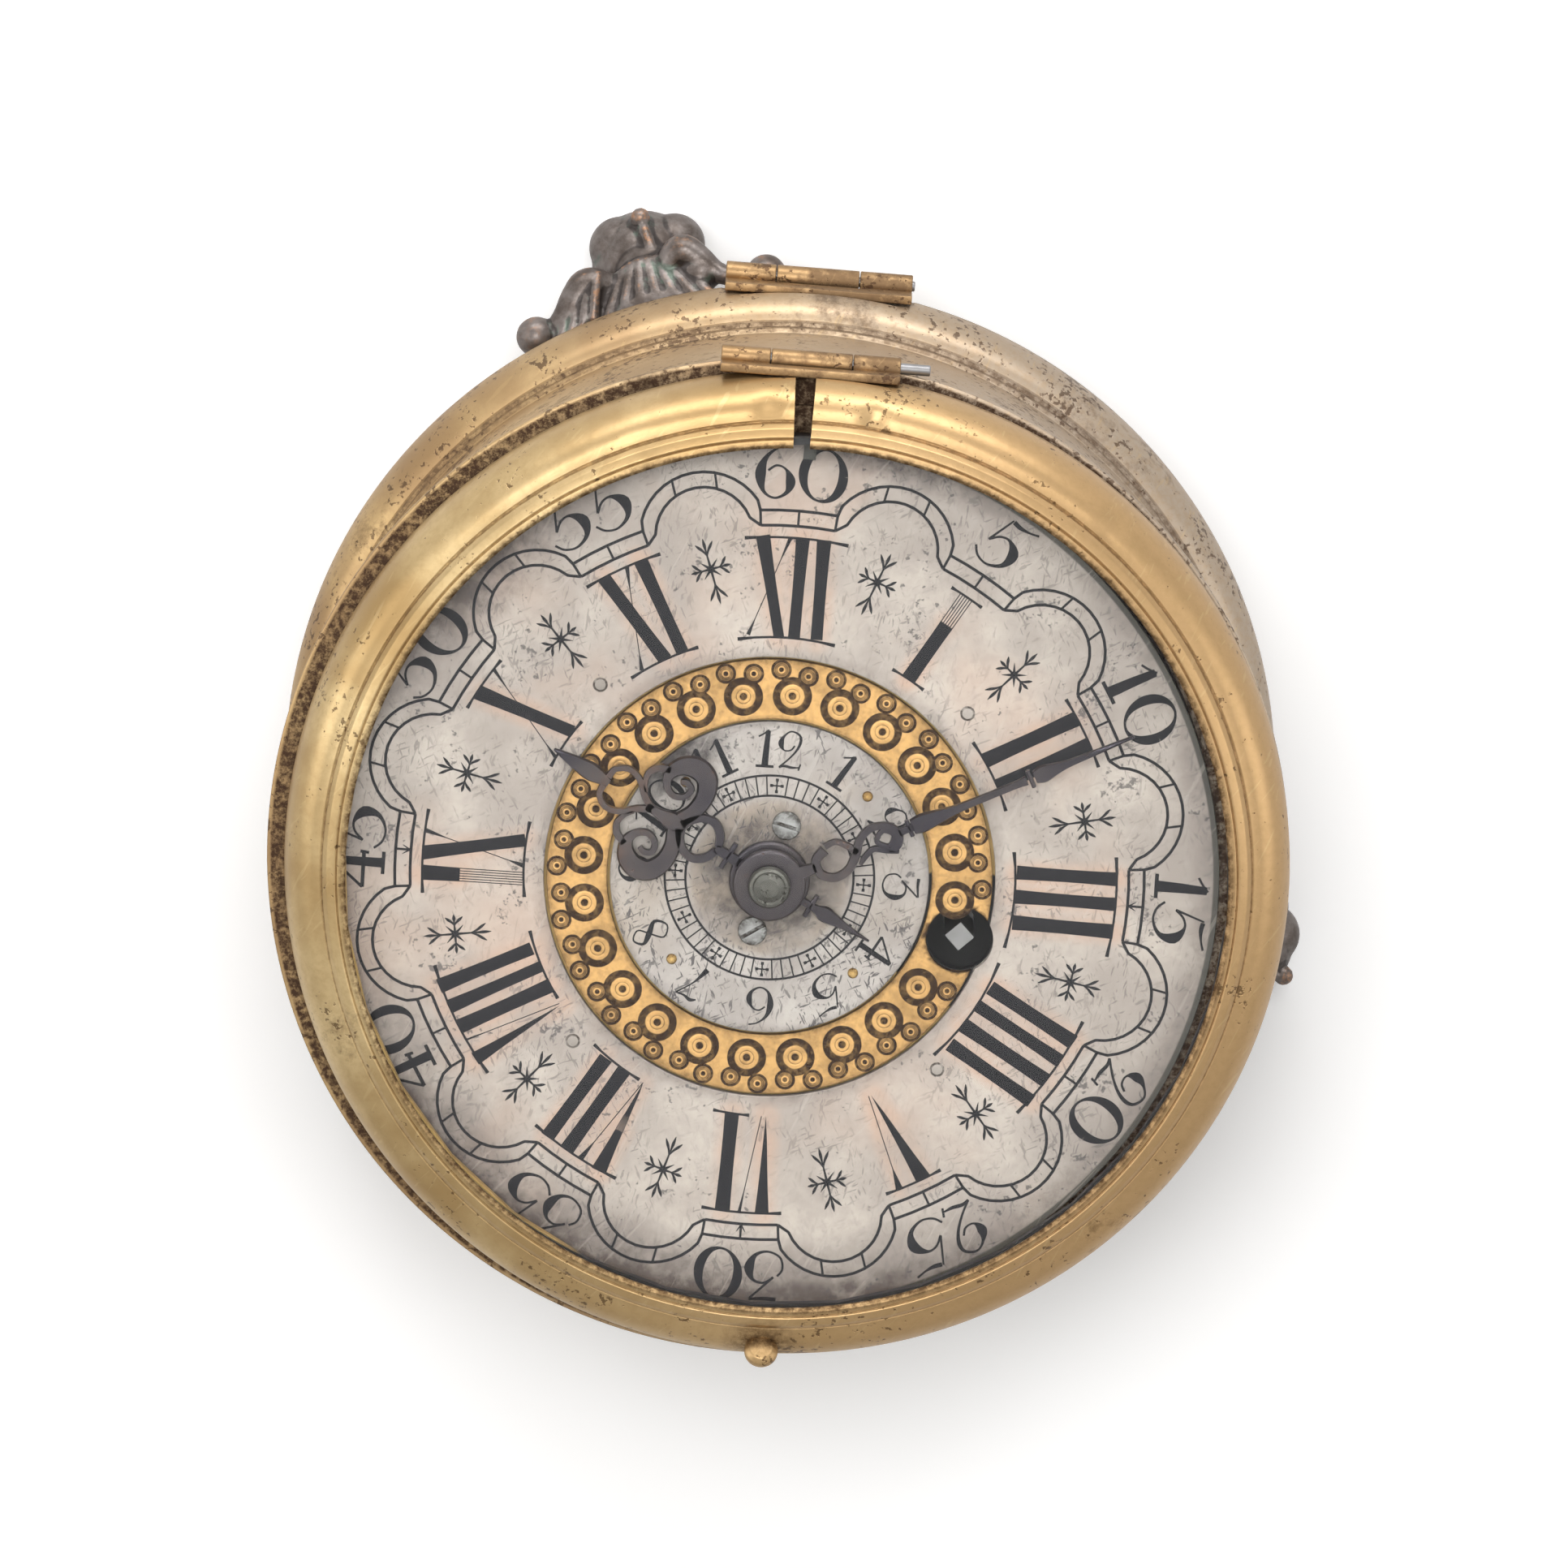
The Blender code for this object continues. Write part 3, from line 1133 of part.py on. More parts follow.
def build_dial(case):
    """Dial plate on its feet, silvered chapter ring with its rivets, and gilt ornament ring."""
    axis = at(CENTRE)
    plate = ring(DIAL_RADIUS, HOUR_PIPE_RADIUS + FIT * 2, DIAL_PLATE_BOTTOM, DIAL_PLATE_TOP, DIAL_STEPS)
    piece(plate, "dial_plate", BRASS, case, axis)
    feet = [at(clock_point(DIAL_FOOT_CIRCLE, 45.0 + 90.0 * index, CENTRE)) for index in range(4)]
    foot = rod(DIAL_FOOT_RADIUS, PILLAR_PLATE_TOP + SEAT, DIAL_PLATE_BOTTOM + DIAL_PLATE_THICKNESS / 2)
    combine(plate, cutter(spread(foot, feet), case), "UNION")
    dial_holes(plate, case, DIAL_PLATE_BOTTOM, DIAL_PLATE_TOP)
    chapter = ring(DIAL_RADIUS, CHAPTER_INNER_RADIUS, CHAPTER_BOTTOM, DIAL_TOP, DIAL_STEPS)
    piece(chapter, "chapter_ring", SILVER, case, axis)
    dial_holes(chapter, case, CHAPTER_BOTTOM, DIAL_TOP)
    places = [at(clock_point(RIVET_CIRCLE, 45.0 + 90.0 * index, CENTRE)) for index in range(4)]
    rivets = spread(rod(RIVET_RADIUS, DIAL_TOP - CHAPTER_THICKNESS / 2, DIAL_TOP + RIVET_PROUD), places)
    combine(chapter, cutter(rivets, case), "UNION")
    top = DIAL_TOP - ORNAMENT_DROP
    ornament = ring(CHAPTER_INNER_RADIUS - SEAT, ORNAMENT_INNER_RADIUS, CHAPTER_BOTTOM, top, PLATE_STEPS)
    piece(ornament, "ornament_ring", GILT, case, axis)
    dial_holes(ornament, case, CHAPTER_BOTTOM, top)
    latch = box((LATCH_WIDTH, LATCH_LENGTH, LATCH_THICKNESS))
    reach = CENTRE[1] + DIAL_RADIUS - LATCH_LENGTH / 2
    height = DIAL_TOP + SEAT + LATCH_THICKNESS / 2
    piece(latch, "movement_latch", STEEL, case, (LATCH_X, reach, height))


def build_alarm_disc(disc_frame):
    """Silvered alarm disc with four pins riveted in it, and its two slotted screws."""
    axis = at(CENTRE)
    bottom = ALARM_DISC_TOP - ALARM_DISC_THICKNESS
    disc = ring(ALARM_DISC_RADIUS, ALARM_DISC_BORE, bottom, ALARM_DISC_TOP, PLATE_STEPS)
    piece(disc, "alarm_disc", SILVER, disc_frame, axis)
    screws = [at(clock_point(ALARM_SCREW_CIRCLE, angle, CENTRE)) for angle in ALARM_SCREW_ANGLES]
    pins = [at(clock_point(ALARM_PIN_CIRCLE, 45.0 + 90.0 * index, CENTRE)) for index in range(4)]
    holes = spread(rod(ALARM_SCREW_SHANK + FIT, bottom - OVERRUN, ALARM_DISC_TOP + OVERRUN), screws)
    combine(disc, cutter(holes, disc_frame), "DIFFERENCE")
    pin = rod(ALARM_PIN_RADIUS, bottom + ALARM_DISC_THICKNESS / 2, ALARM_DISC_TOP + ALARM_PIN_PROUD)
    combine(disc, cutter(spread(pin, pins), disc_frame), "UNION")
    seat = ALARM_DISC_TOP + FIT
    profile = [
        (0, seat + ALARM_SCREW_HEAD),
        (ALARM_SCREW_RADIUS, seat + ALARM_SCREW_HEAD),
        (ALARM_SCREW_RADIUS, seat),
        (ALARM_SCREW_SHANK, seat),
        (ALARM_SCREW_SHANK, bottom + FIT),
        (0, bottom + FIT),
    ]
    for number, place in enumerate(screws, 1):
        screw = turned(profile, 16, closed=False)
        piece(screw, f"alarm_disc_screw_{number}", STEEL, disc_frame, place)
        slot = box((ALARM_SCREW_RADIUS * 3, ALARM_SLOT_WIDTH, ALARM_SLOT_DEPTH * 2))
        top = (place[0], place[1], seat + ALARM_SCREW_HEAD)
        combine(screw, cutter(slot, disc_frame, top), "DIFFERENCE")


def blade(stations):
    """Outline of a hand's blade along +Y from (reach, half width) stations, mirrored."""
    right = [(half, reach) for reach, half in stations]
    left = [(-half, reach) for reach, half in reversed(stations) if half > 0]
    return right + left


def hand_body(parts, bore, bottom, top, parent, name, angle):
    """Join a hand's flat bodies, bore its boss and point it at an angle clockwise."""
    turn = (0, 0, -math.radians(angle))
    hand = piece(parts[0], name, BLUED, parent, at(CENTRE), turn)
    for other in parts[1:]:
        combine(hand, cutter(other, parent, at(CENTRE), turn), "UNION")
    hole = rod(bore, bottom - OVERRUN, top + OVERRUN, 16)
    combine(hand, cutter(hole, parent, at(CENTRE)), "DIFFERENCE")


def build_hour_hand(hour):
    """Hour hand: neck, pair of pierced lobes, spear, and a tail that points at the alarm disc."""
    bottom = HOUR_HAND_BOTTOM
    top = HOUR_HAND_TOP
    neck = HOUR_NECK
    spear = HOUR_LOBE_REACH + HOUR_LOBE_RADIUS
    stations = [
        (HOUR_BOSS_RADIUS * 0.8, neck),
        (spear, neck),
        ((spear + HOUR_HAND_LENGTH) / 2, HOUR_SPEAR_WIDTH / 2),
        (HOUR_HAND_LENGTH, 0),
    ]
    tail = [
        (-HOUR_TAIL_LENGTH, 0),
        (-HOUR_TAIL_LENGTH * 0.72, HOUR_SPEAR_WIDTH / 2),
        (-HOUR_TAIL_LENGTH * 0.68, neck / 2),
        (-HOUR_BOSS_RADIUS * 0.8, neck),
    ]
    boss = ring(HOUR_BOSS_RADIUS, HOUR_BOSS_RADIUS / 3, bottom, top, 24)
    parts = [boss, flat([blade(stations)], bottom, top), flat([blade(tail)], bottom, top)]
    for side in (-1, 1):
        centre = (side * HOUR_LOBE_SPREAD, HOUR_LOBE_REACH)
        lobe = flat([circle(HOUR_LOBE_RADIUS, 20, centre), circle(HOUR_LOBE_HOLE, 12, centre)], bottom, top)
        parts.append(lobe)
    hand_body(parts, HOUR_PIPE_RADIUS + FIT, bottom, top, hour, "hour_hand", HOUR_HAND_ANGLE)


def build_minute_hand(minute):
    """Minute hand: pierced scroll beside the hub, waist, two balusters and a fine tip."""
    bottom = MINUTE_HAND_BOTTOM
    top = MINUTE_HAND_TOP
    waist = MINUTE_WAIST
    reach = MINUTE_SCROLL_REACH + MINUTE_SCROLL_RADIUS
    length = MINUTE_HAND_LENGTH
    stations = [
        (MINUTE_BOSS_RADIUS * 0.8, waist * 1.6),
        (MINUTE_SCROLL_REACH, waist * 1.6),
        (reach, waist * 1.3),
        (length * 0.36, waist),
        (length * 0.40, waist * 2.2),
        (length * 0.44, waist),
        (length * 0.62, waist * 1.4),
        (length * 0.68, waist * 2.0),
        (length * 0.70, waist),
        (length, 0),
    ]
    boss = ring(MINUTE_BOSS_RADIUS, MINUTE_BOSS_RADIUS / 3, bottom, top, 24)
    scroll_centre = (MINUTE_SCROLL_RADIUS / 2, MINUTE_SCROLL_REACH)
    scroll = flat([
        circle(MINUTE_SCROLL_RADIUS, 20, scroll_centre),
        circle(MINUTE_SCROLL_HOLE, 12, scroll_centre),
    ], bottom, top)
    parts = [boss, flat([blade(stations)], bottom, top), scroll]
    hand_body(parts, CANNON_SEAT_RADIUS + FIT, bottom, top, minute, "minute_hand", MINUTE_HAND_ANGLE)
    collet_bottom = MINUTE_HAND_TOP + SEAT
    collet = turned([
        (0, collet_bottom + COLLET_HEIGHT),
        (COLLET_RADIUS * 0.8, collet_bottom + COLLET_HEIGHT),
        (COLLET_RADIUS, collet_bottom + COLLET_HEIGHT * 0.6),
        (COLLET_RADIUS, collet_bottom),
        (0, collet_bottom),
    ], 20, closed=False)
    piece(collet, "hand_collet", STEEL, minute, at(CENTRE))


def motion_levels():
    """Bottom of the minute wheel, and bottom and top of the hour wheel."""
    low = PILLAR_PLATE_TOP + MOTION_WHEEL_THICKNESS * 0.7
    hour_bottom = low + MOTION_WHEEL_THICKNESS * 2.3
    return low, hour_bottom, hour_bottom + MOTION_WHEEL_THICKNESS


def build_motion_work(minute, hour, minute_wheel):
    """Cannon pinion, minute wheel with its pinion, and hour wheel with its pipe."""
    low, hour_bottom, hour_top = motion_levels()
    towards = compass(MINUTE_WHEEL_ANGLE)
    cannon_top = hour_bottom - SEAT
    cannon = leaves(CANNON_LEAVES, CANNON_MODULE, towards, low, cannon_top, CANNON_BORE_RADIUS)
    piece(cannon, "cannon_pinion", STEEL, minute, at(CENTRE))
    pipe = turned([
        (CANNON_SEAT_RADIUS, MINUTE_HAND_TOP),
        (CANNON_SEAT_RADIUS, MINUTE_HAND_BOTTOM - SEAT),
        (CANNON_PIPE_RADIUS, MINUTE_HAND_BOTTOM - SEAT),
        (CANNON_PIPE_RADIUS, cannon_top - SEAT),
        (CANNON_BORE_RADIUS, cannon_top - SEAT),
        (CANNON_BORE_RADIUS, MINUTE_HAND_TOP),
    ], ARBOR_STEPS)
    combine(cannon, cutter(pipe, minute, at(CENTRE)), "UNION")
    wheel_top = low + MOTION_WHEEL_THICKNESS
    gap_turn = 180.0 / MINUTE_WHEEL_TEETH
    back = towards + 180.0
    follower = wheel(MINUTE_WHEEL_TEETH, CANNON_MODULE, back + gap_turn, MINUTE_STUD_RADIUS + FIT,
                     low, wheel_top)
    piece(follower, "minute_wheel", BRASS, minute_wheel, at(MINUTE_WHEEL_PLACE))
    pinion = leaves(MINUTE_PINION_LEAVES, HOUR_MODULE, back, wheel_top - SEAT, hour_top + SEAT,
                    MINUTE_STUD_RADIUS + FIT)
    combine(follower, cutter(pinion, minute_wheel, at(MINUTE_WHEEL_PLACE)), "UNION")
    hour_turn = 180.0 / HOUR_WHEEL_TEETH
    hour_wheel = wheel(HOUR_WHEEL_TEETH, HOUR_MODULE, towards + hour_turn, HOUR_PIPE_BORE,
                       hour_bottom, hour_top)
    piece(hour_wheel, "hour_wheel", BRASS, hour, at(CENTRE))
    sleeve = ring(HOUR_PIPE_RADIUS, HOUR_PIPE_BORE, hour_bottom + SEAT, HOUR_HAND_TOP, ARBOR_STEPS)
    combine(hour_wheel, cutter(sleeve, hour, at(CENTRE)), "UNION")


def build_plates(case):
    """Pillar plate with its riveted pillars and stud, back plate, and the pins that hold it."""
    axis = at(CENTRE)
    front = piece(rod(PILLAR_PLATE_RADIUS, PILLAR_PLATE_BOTTOM, PILLAR_PLATE_TOP, PLATE_STEPS),
                  "pillar_plate", BRASS, case, axis)
    back = piece(rod(BACK_PLATE_RADIUS, BACK_PLATE_BOTTOM, BACK_PLATE_TOP, PLATE_STEPS),
                 "back_plate", BRASS, case, axis)
    pillars = [at(clock_point(PILLAR_CIRCLE, angle, CENTRE)) for angle in PILLAR_ANGLES]
    small = [at(place) for place in TRAIN_PIVOTS]
    both = [
        (PIVOT_RADIUS + FIT, small),
        (CENTRE_ARBOR_RADIUS + FIT, [at(CENTRE)]),
        (BARREL_ARBOR_RADIUS + FIT, [at(BARREL_PLACE), at(ALARM_BARREL_PLACE)]),
        (WINDING_ARBOR_RADIUS + FIT, [at(WINDING_PLACE)]),
        (PIVOT_RADIUS + FIT * 2, [at(HAMMER_PLACE)]),
    ]
    for plate, low, high in ((front, PILLAR_PLATE_BOTTOM, PILLAR_PLATE_TOP),
                             (back, BACK_PLATE_BOTTOM, BACK_PLATE_TOP)):
        for radius, places in both:
            holes = spread(rod(radius, low - OVERRUN, high + OVERRUN), places)
            combine(plate, cutter(holes, case), "DIFFERENCE")
    stud = rod(MINUTE_STUD_RADIUS, PILLAR_PLATE_TOP - PLATE_THICKNESS / 2, motion_levels()[2] + SEAT)
    combine(front, cutter(stud, case, at(MINUTE_WHEEL_PLACE)), "UNION")
    tenons = spread(rod(PILLAR_TENON_RADIUS + FIT, BACK_PLATE_BOTTOM - OVERRUN, BACK_PLATE_TOP + OVERRUN),
                    pillars)
    combine(back, cutter(tenons, case), "DIFFERENCE")
    verge_hole = rod(VERGE_RADIUS * 2.2, BACK_PLATE_BOTTOM - OVERRUN, BACK_PLATE_TOP + OVERRUN)
    combine(back, cutter(verge_hole, case, at(VERGE_PLACE)), "DIFFERENCE")
    top = PILLAR_PLATE_BOTTOM
    low = BACK_PLATE_TOP + SEAT
    tenon = BACK_PLATE_BOTTOM - PLATE_THICKNESS
    third = (top - low) / 3
    pillar = turned([
        (0, top + PLATE_THICKNESS / 2),
        (PILLAR_RADIUS, top + PLATE_THICKNESS / 2),
        (PILLAR_BULGE, top - third * 1.5),
        (PILLAR_RADIUS, low),
        (PILLAR_TENON_RADIUS, low),
        (PILLAR_TENON_RADIUS, tenon),
        (0, tenon),
    ], PILLAR_STEPS, closed=False)
    combine(front, cutter(spread(pillar, pillars), case), "UNION")
    height = BACK_PLATE_BOTTOM - SEAT - PILLAR_PIN_RADIUS
    bores = [(x, y, height) for x, y, _ in pillars]
    bore = round_bar(PILLAR_PIN_RADIUS + FIT, PILLAR_PIN_LENGTH, "X", (0, 0, 0), 8)
    combine(front, cutter(spread(bore, bores), case), "DIFFERENCE")
    for number, place in enumerate(bores, 1):
        pin = round_bar(PILLAR_PIN_RADIUS, PILLAR_PIN_LENGTH, "X", (0, 0, 0), 8)
        piece(pin, f"pillar_pin_{number}", STEEL, case, place)


def build_centre(centre):
    """Centre arbor with its pinion, and the centre wheel near the back plate."""
    pinion_low = GREAT_WHEEL_BOTTOM - SEAT * 2
    pinion_high = GREAT_WHEEL_TOP + SEAT * 2
    shaft = rod(CENTRE_ARBOR_RADIUS, BACK_PLATE_TOP - PLATE_THICKNESS / 2, MINUTE_HAND_BOTTOM, 16)
    piece(shaft, "centre_arbor", STEEL, centre, at(CENTRE))
    towards = compass(WINDING_ANGLE)
    pinion = leaves(CENTRE_PINION_LEAVES, GREAT_MODULE, towards, pinion_low, pinion_high)
    arbor_with_leaves(shaft, pinion, centre, at(CENTRE))
    body = wheel(CENTRE_WHEEL_TEETH, CENTRE_MODULE, compass(THIRD_ANGLE), CENTRE_ARBOR_RADIUS + FIT,
                 CENTRE_WHEEL_BOTTOM, CENTRE_WHEEL_TOP, 4, CENTRE_ARBOR_RADIUS * 3, CENTRE_ARBOR_RADIUS)
    piece(body, "centre_wheel", BRASS, centre, at(CENTRE))


def build_great_wheel(great):
    """Great wheel, which drives the centre pinion."""
    gap_turn = 180.0 / GREAT_WHEEL_TEETH
    towards = compass(WINDING_ANGLE) + 180.0 + gap_turn
    body = wheel(GREAT_WHEEL_TEETH, GREAT_MODULE, towards, WINDING_ARBOR_RADIUS + FIT,
                 GREAT_WHEEL_BOTTOM, GREAT_WHEEL_TOP)
    piece(body, "great_wheel", BRASS, great, at(WINDING_PLACE))


def fusee_radius(share):
    """Radius of the fusee at a share of its height, 0 at its small end."""
    return FUSEE_SMALL_RADIUS + (FUSEE_LARGE_RADIUS - FUSEE_SMALL_RADIUS) * share * share


def fusee_levels():
    """Lowest and highest level of the fusee's cone."""
    return CENTRE_WHEEL_BOTTOM - SEAT * 2, GREAT_WHEEL_BOTTOM - SEAT


def build_fusee(fusee):
    """Grooved fusee cone on the winding arbor, which ends in a square below the dial."""
    low, high = fusee_levels()
    profile = [
        (0, PILLAR_PLATE_TOP + SEAT),
        (WINDING_ARBOR_RADIUS, PILLAR_PLATE_TOP + SEAT),
        (WINDING_ARBOR_RADIUS, high),
        (FUSEE_LARGE_RADIUS, high),
    ]
    for groove in range(FUSEE_GROOVES):
        for part, depth in ((0.35, 0), (0.7, FUSEE_GROOVE_DEPTH)):
            share = 1.0 - (groove + part) / FUSEE_GROOVES
            profile.append((fusee_radius(share) - depth, low + (high - low) * share))
    profile += [
        (FUSEE_SMALL_RADIUS, low),
        (WINDING_ARBOR_RADIUS, low),
        (WINDING_ARBOR_RADIUS, BACK_PLATE_TOP - PLATE_THICKNESS / 2),
        (0, BACK_PLATE_TOP - PLATE_THICKNESS / 2),
    ]
    cone = piece(turned(profile, 16, closed=False), "fusee", STEEL, fusee, at(WINDING_PLACE))
    top = DIAL_TOP - WINDING_SQUARE_DROP
    bottom = PILLAR_PLATE_TOP
    square = box((WINDING_SQUARE, WINDING_SQUARE, top - bottom), (0, 0, (top + bottom) / 2))
    combine(cone, cutter(square, fusee, at(WINDING_PLACE), (0, 0, math.radians(45.0))), "UNION")


def build_barrel(barrel, case):
    """Spring barrel with the mainspring inside it, on its own arbor."""
    low, high = fusee_levels()
    bore = BARREL_ARBOR_RADIUS + FIT * 2
    wall = BARREL_WALL
    shell = turned([
        (BARREL_RADIUS, high),
        (BARREL_RADIUS, low),
        (bore, low),
        (bore, low + wall),
        (BARREL_RADIUS - wall, low + wall),
        (BARREL_RADIUS - wall, high - wall),
        (bore, high - wall),
        (bore, high),
    ], 20)
    piece(shell, "spring_barrel", BRASS, barrel, at(BARREL_PLACE))
    coil = ring(BARREL_RADIUS - wall - SEAT, SPRING_COIL_INNER, low + wall + SEAT, high - wall - SEAT, 20)
    piece(coil, "mainspring", STEEL, barrel, at(BARREL_PLACE))
    middle = PLATE_THICKNESS / 2
    arbor = rod(BARREL_ARBOR_RADIUS, BACK_PLATE_TOP - middle, PILLAR_PLATE_BOTTOM + middle)
    piece(arbor, "barrel_arbor", STEEL, case, at(BARREL_PLACE))


def build_chain(case):
    """Taut run of the chain, tangent to the barrel and to the fusee at its mid height."""
    low, high = fusee_levels()
    height = (low + high) / 2
    start = Vector(BARREL_PLACE)
    end = Vector(WINDING_PLACE)
    gap = CHAIN_THICKNESS / 2 + SEAT
    near = BARREL_RADIUS + gap
    far = fusee_radius(0.62) + gap
    along = end - start
    distance = along.length
    base = math.atan2(along.y, along.x)
    lean = base + math.acos((near - far) / distance)
    side = Vector((math.cos(lean), math.sin(lean)))
    first = start + side * near
    last = end + side * far
    run = last - first
    chain = box((run.length, CHAIN_THICKNESS, CHAIN_WIDTH))
    middle = (first + last) / 2
    piece(chain, "fusee_chain", STEEL, case, (middle.x, middle.y, height),
          (0, 0, math.atan2(run.y, run.x)))


def build_third(third):
    """Third wheel, riveted to its arbor with a pinion of six."""
    towards = compass(THIRD_ANGLE) + 180.0
    shaft = plate_arbor(ARBOR_RADIUS)
    piece(shaft, "third_wheel", BRASS, third, at(THIRD_PLACE))
    gap_turn = 180.0 / THIRD_PINION_LEAVES
    pinion = leaves(THIRD_PINION_LEAVES, CENTRE_MODULE, towards + gap_turn,
                    CENTRE_WHEEL_BOTTOM - SEAT * 2, CENTRE_WHEEL_TOP + SEAT * 2)
    arbor_with_leaves(shaft, pinion, third, at(THIRD_PLACE))
    body = wheel(THIRD_WHEEL_TEETH, THIRD_MODULE, compass(CONTRATE_TURN), ARBOR_RADIUS / 2,
                 THIRD_WHEEL_BOTTOM, THIRD_WHEEL_TOP, 4, ARBOR_RADIUS * 3, ARBOR_RADIUS * 1.4)
    arbor_with_leaves(shaft, body, third, at(THIRD_PLACE))


def build_contrate(contrate):
    """Contrate wheel, its teeth downwards, riveted to its arbor with a pinion of six."""
    towards = compass(CONTRATE_TURN) + 180.0
    shaft = plate_arbor(ARBOR_RADIUS)
    piece(shaft, "contrate_wheel", BRASS, contrate, at(CONTRATE_PLACE))
    gap_turn = 180.0 / CONTRATE_PINION_LEAVES
    pinion = leaves(CONTRATE_PINION_LEAVES, THIRD_MODULE, towards + gap_turn,
                    THIRD_WHEEL_BOTTOM - SEAT * 2, THIRD_WHEEL_TOP + SEAT * 2)
    arbor_with_leaves(shaft, pinion, contrate, at(CONTRATE_PLACE))
    disc = rod(CONTRATE_RADIUS - CONTRATE_RIM / 2, CONTRATE_TOP - WHEEL_THICKNESS, CONTRATE_TOP - FIT, 24)
    arbor_with_leaves(shaft, disc, contrate, at(CONTRATE_PLACE))
    rim = crown(CONTRATE_TEETH, CONTRATE_RADIUS, CONTRATE_RIM, CONTRATE_HEIGHT, CONTRATE_TOOTH)
    turn = (math.pi, 0, math.radians(compass(ESCAPE_ANGLE)))
    combine(shaft, cutter(rim, contrate, at(CONTRATE_PLACE, CONTRATE_TOP), turn), "UNION")


def build_escape(escape):
    """Crown escape wheel on its level arbor, with the pinion under the contrate wheel."""
    turn = (math.pi / 2, 0, math.radians(-ESCAPE_ANGLE) + math.pi)
    place = at(CONTRATE_PLACE, ESCAPE_HEIGHT)
    tips = VERGE_REACH - VERGE_RADIUS - PALLET_REACH / 2 - SEAT
    root = tips - ESCAPE_TOOTH - ESCAPE_DEPTH
    start = CONTRATE_RADIUS - CONTRATE_RIM * 2
    pinion_end = CONTRATE_RADIUS + CONTRATE_RIM
    shaft = rod(PIVOT_RADIUS, start, tips - ESCAPE_TOOTH)
    piece(shaft, "escape_wheel", BRASS, escape, place, turn)
    up = 90.0 + 180.0 / ESCAPE_PINION_LEAVES
    pinion = leaves(ESCAPE_PINION_LEAVES, ESCAPE_PINION_MODULE, up, start + SEAT, pinion_end)
    combine(shaft, cutter(pinion, escape, place, turn), "UNION")
    disc = rod(ESCAPE_RADIUS - ESCAPE_RIM / 2, root + FIT, root + ESCAPE_RIM * 1.6, 20)
    combine(shaft, cutter(disc, escape, place, turn), "UNION")
    rim = crown(ESCAPE_TEETH, ESCAPE_RADIUS, ESCAPE_RIM, ESCAPE_DEPTH, ESCAPE_TOOTH)
    rim.data.transform(Matrix.Translation((0, 0, root)))
    combine(shaft, cutter(rim, escape, place, turn), "UNION")


def build_potence(case):
    """Bracket on the back plate that carries the escape wheel's arbor."""
    turn = (0, 0, math.radians(-ESCAPE_ANGLE))
    centre = at(clock_point(POTENCE_REACH, ESCAPE_ANGLE, CONTRATE_PLACE))
    low = BACK_PLATE_TOP + SEAT
    high = ESCAPE_HEIGHT + POTENCE_WIDTH / 2
    body = box((POTENCE_WIDTH, POTENCE_THICKNESS, high - low), (0, 0, (high + low) / 2))
    potence = piece(body, "potence", BRASS, case, centre, turn)
    bore = round_bar(PIVOT_RADIUS + FIT, POTENCE_THICKNESS * 3, "Y", (0, 0, ESCAPE_HEIGHT), 12)
    combine(potence, cutter(bore, case, centre, turn), "DIFFERENCE")


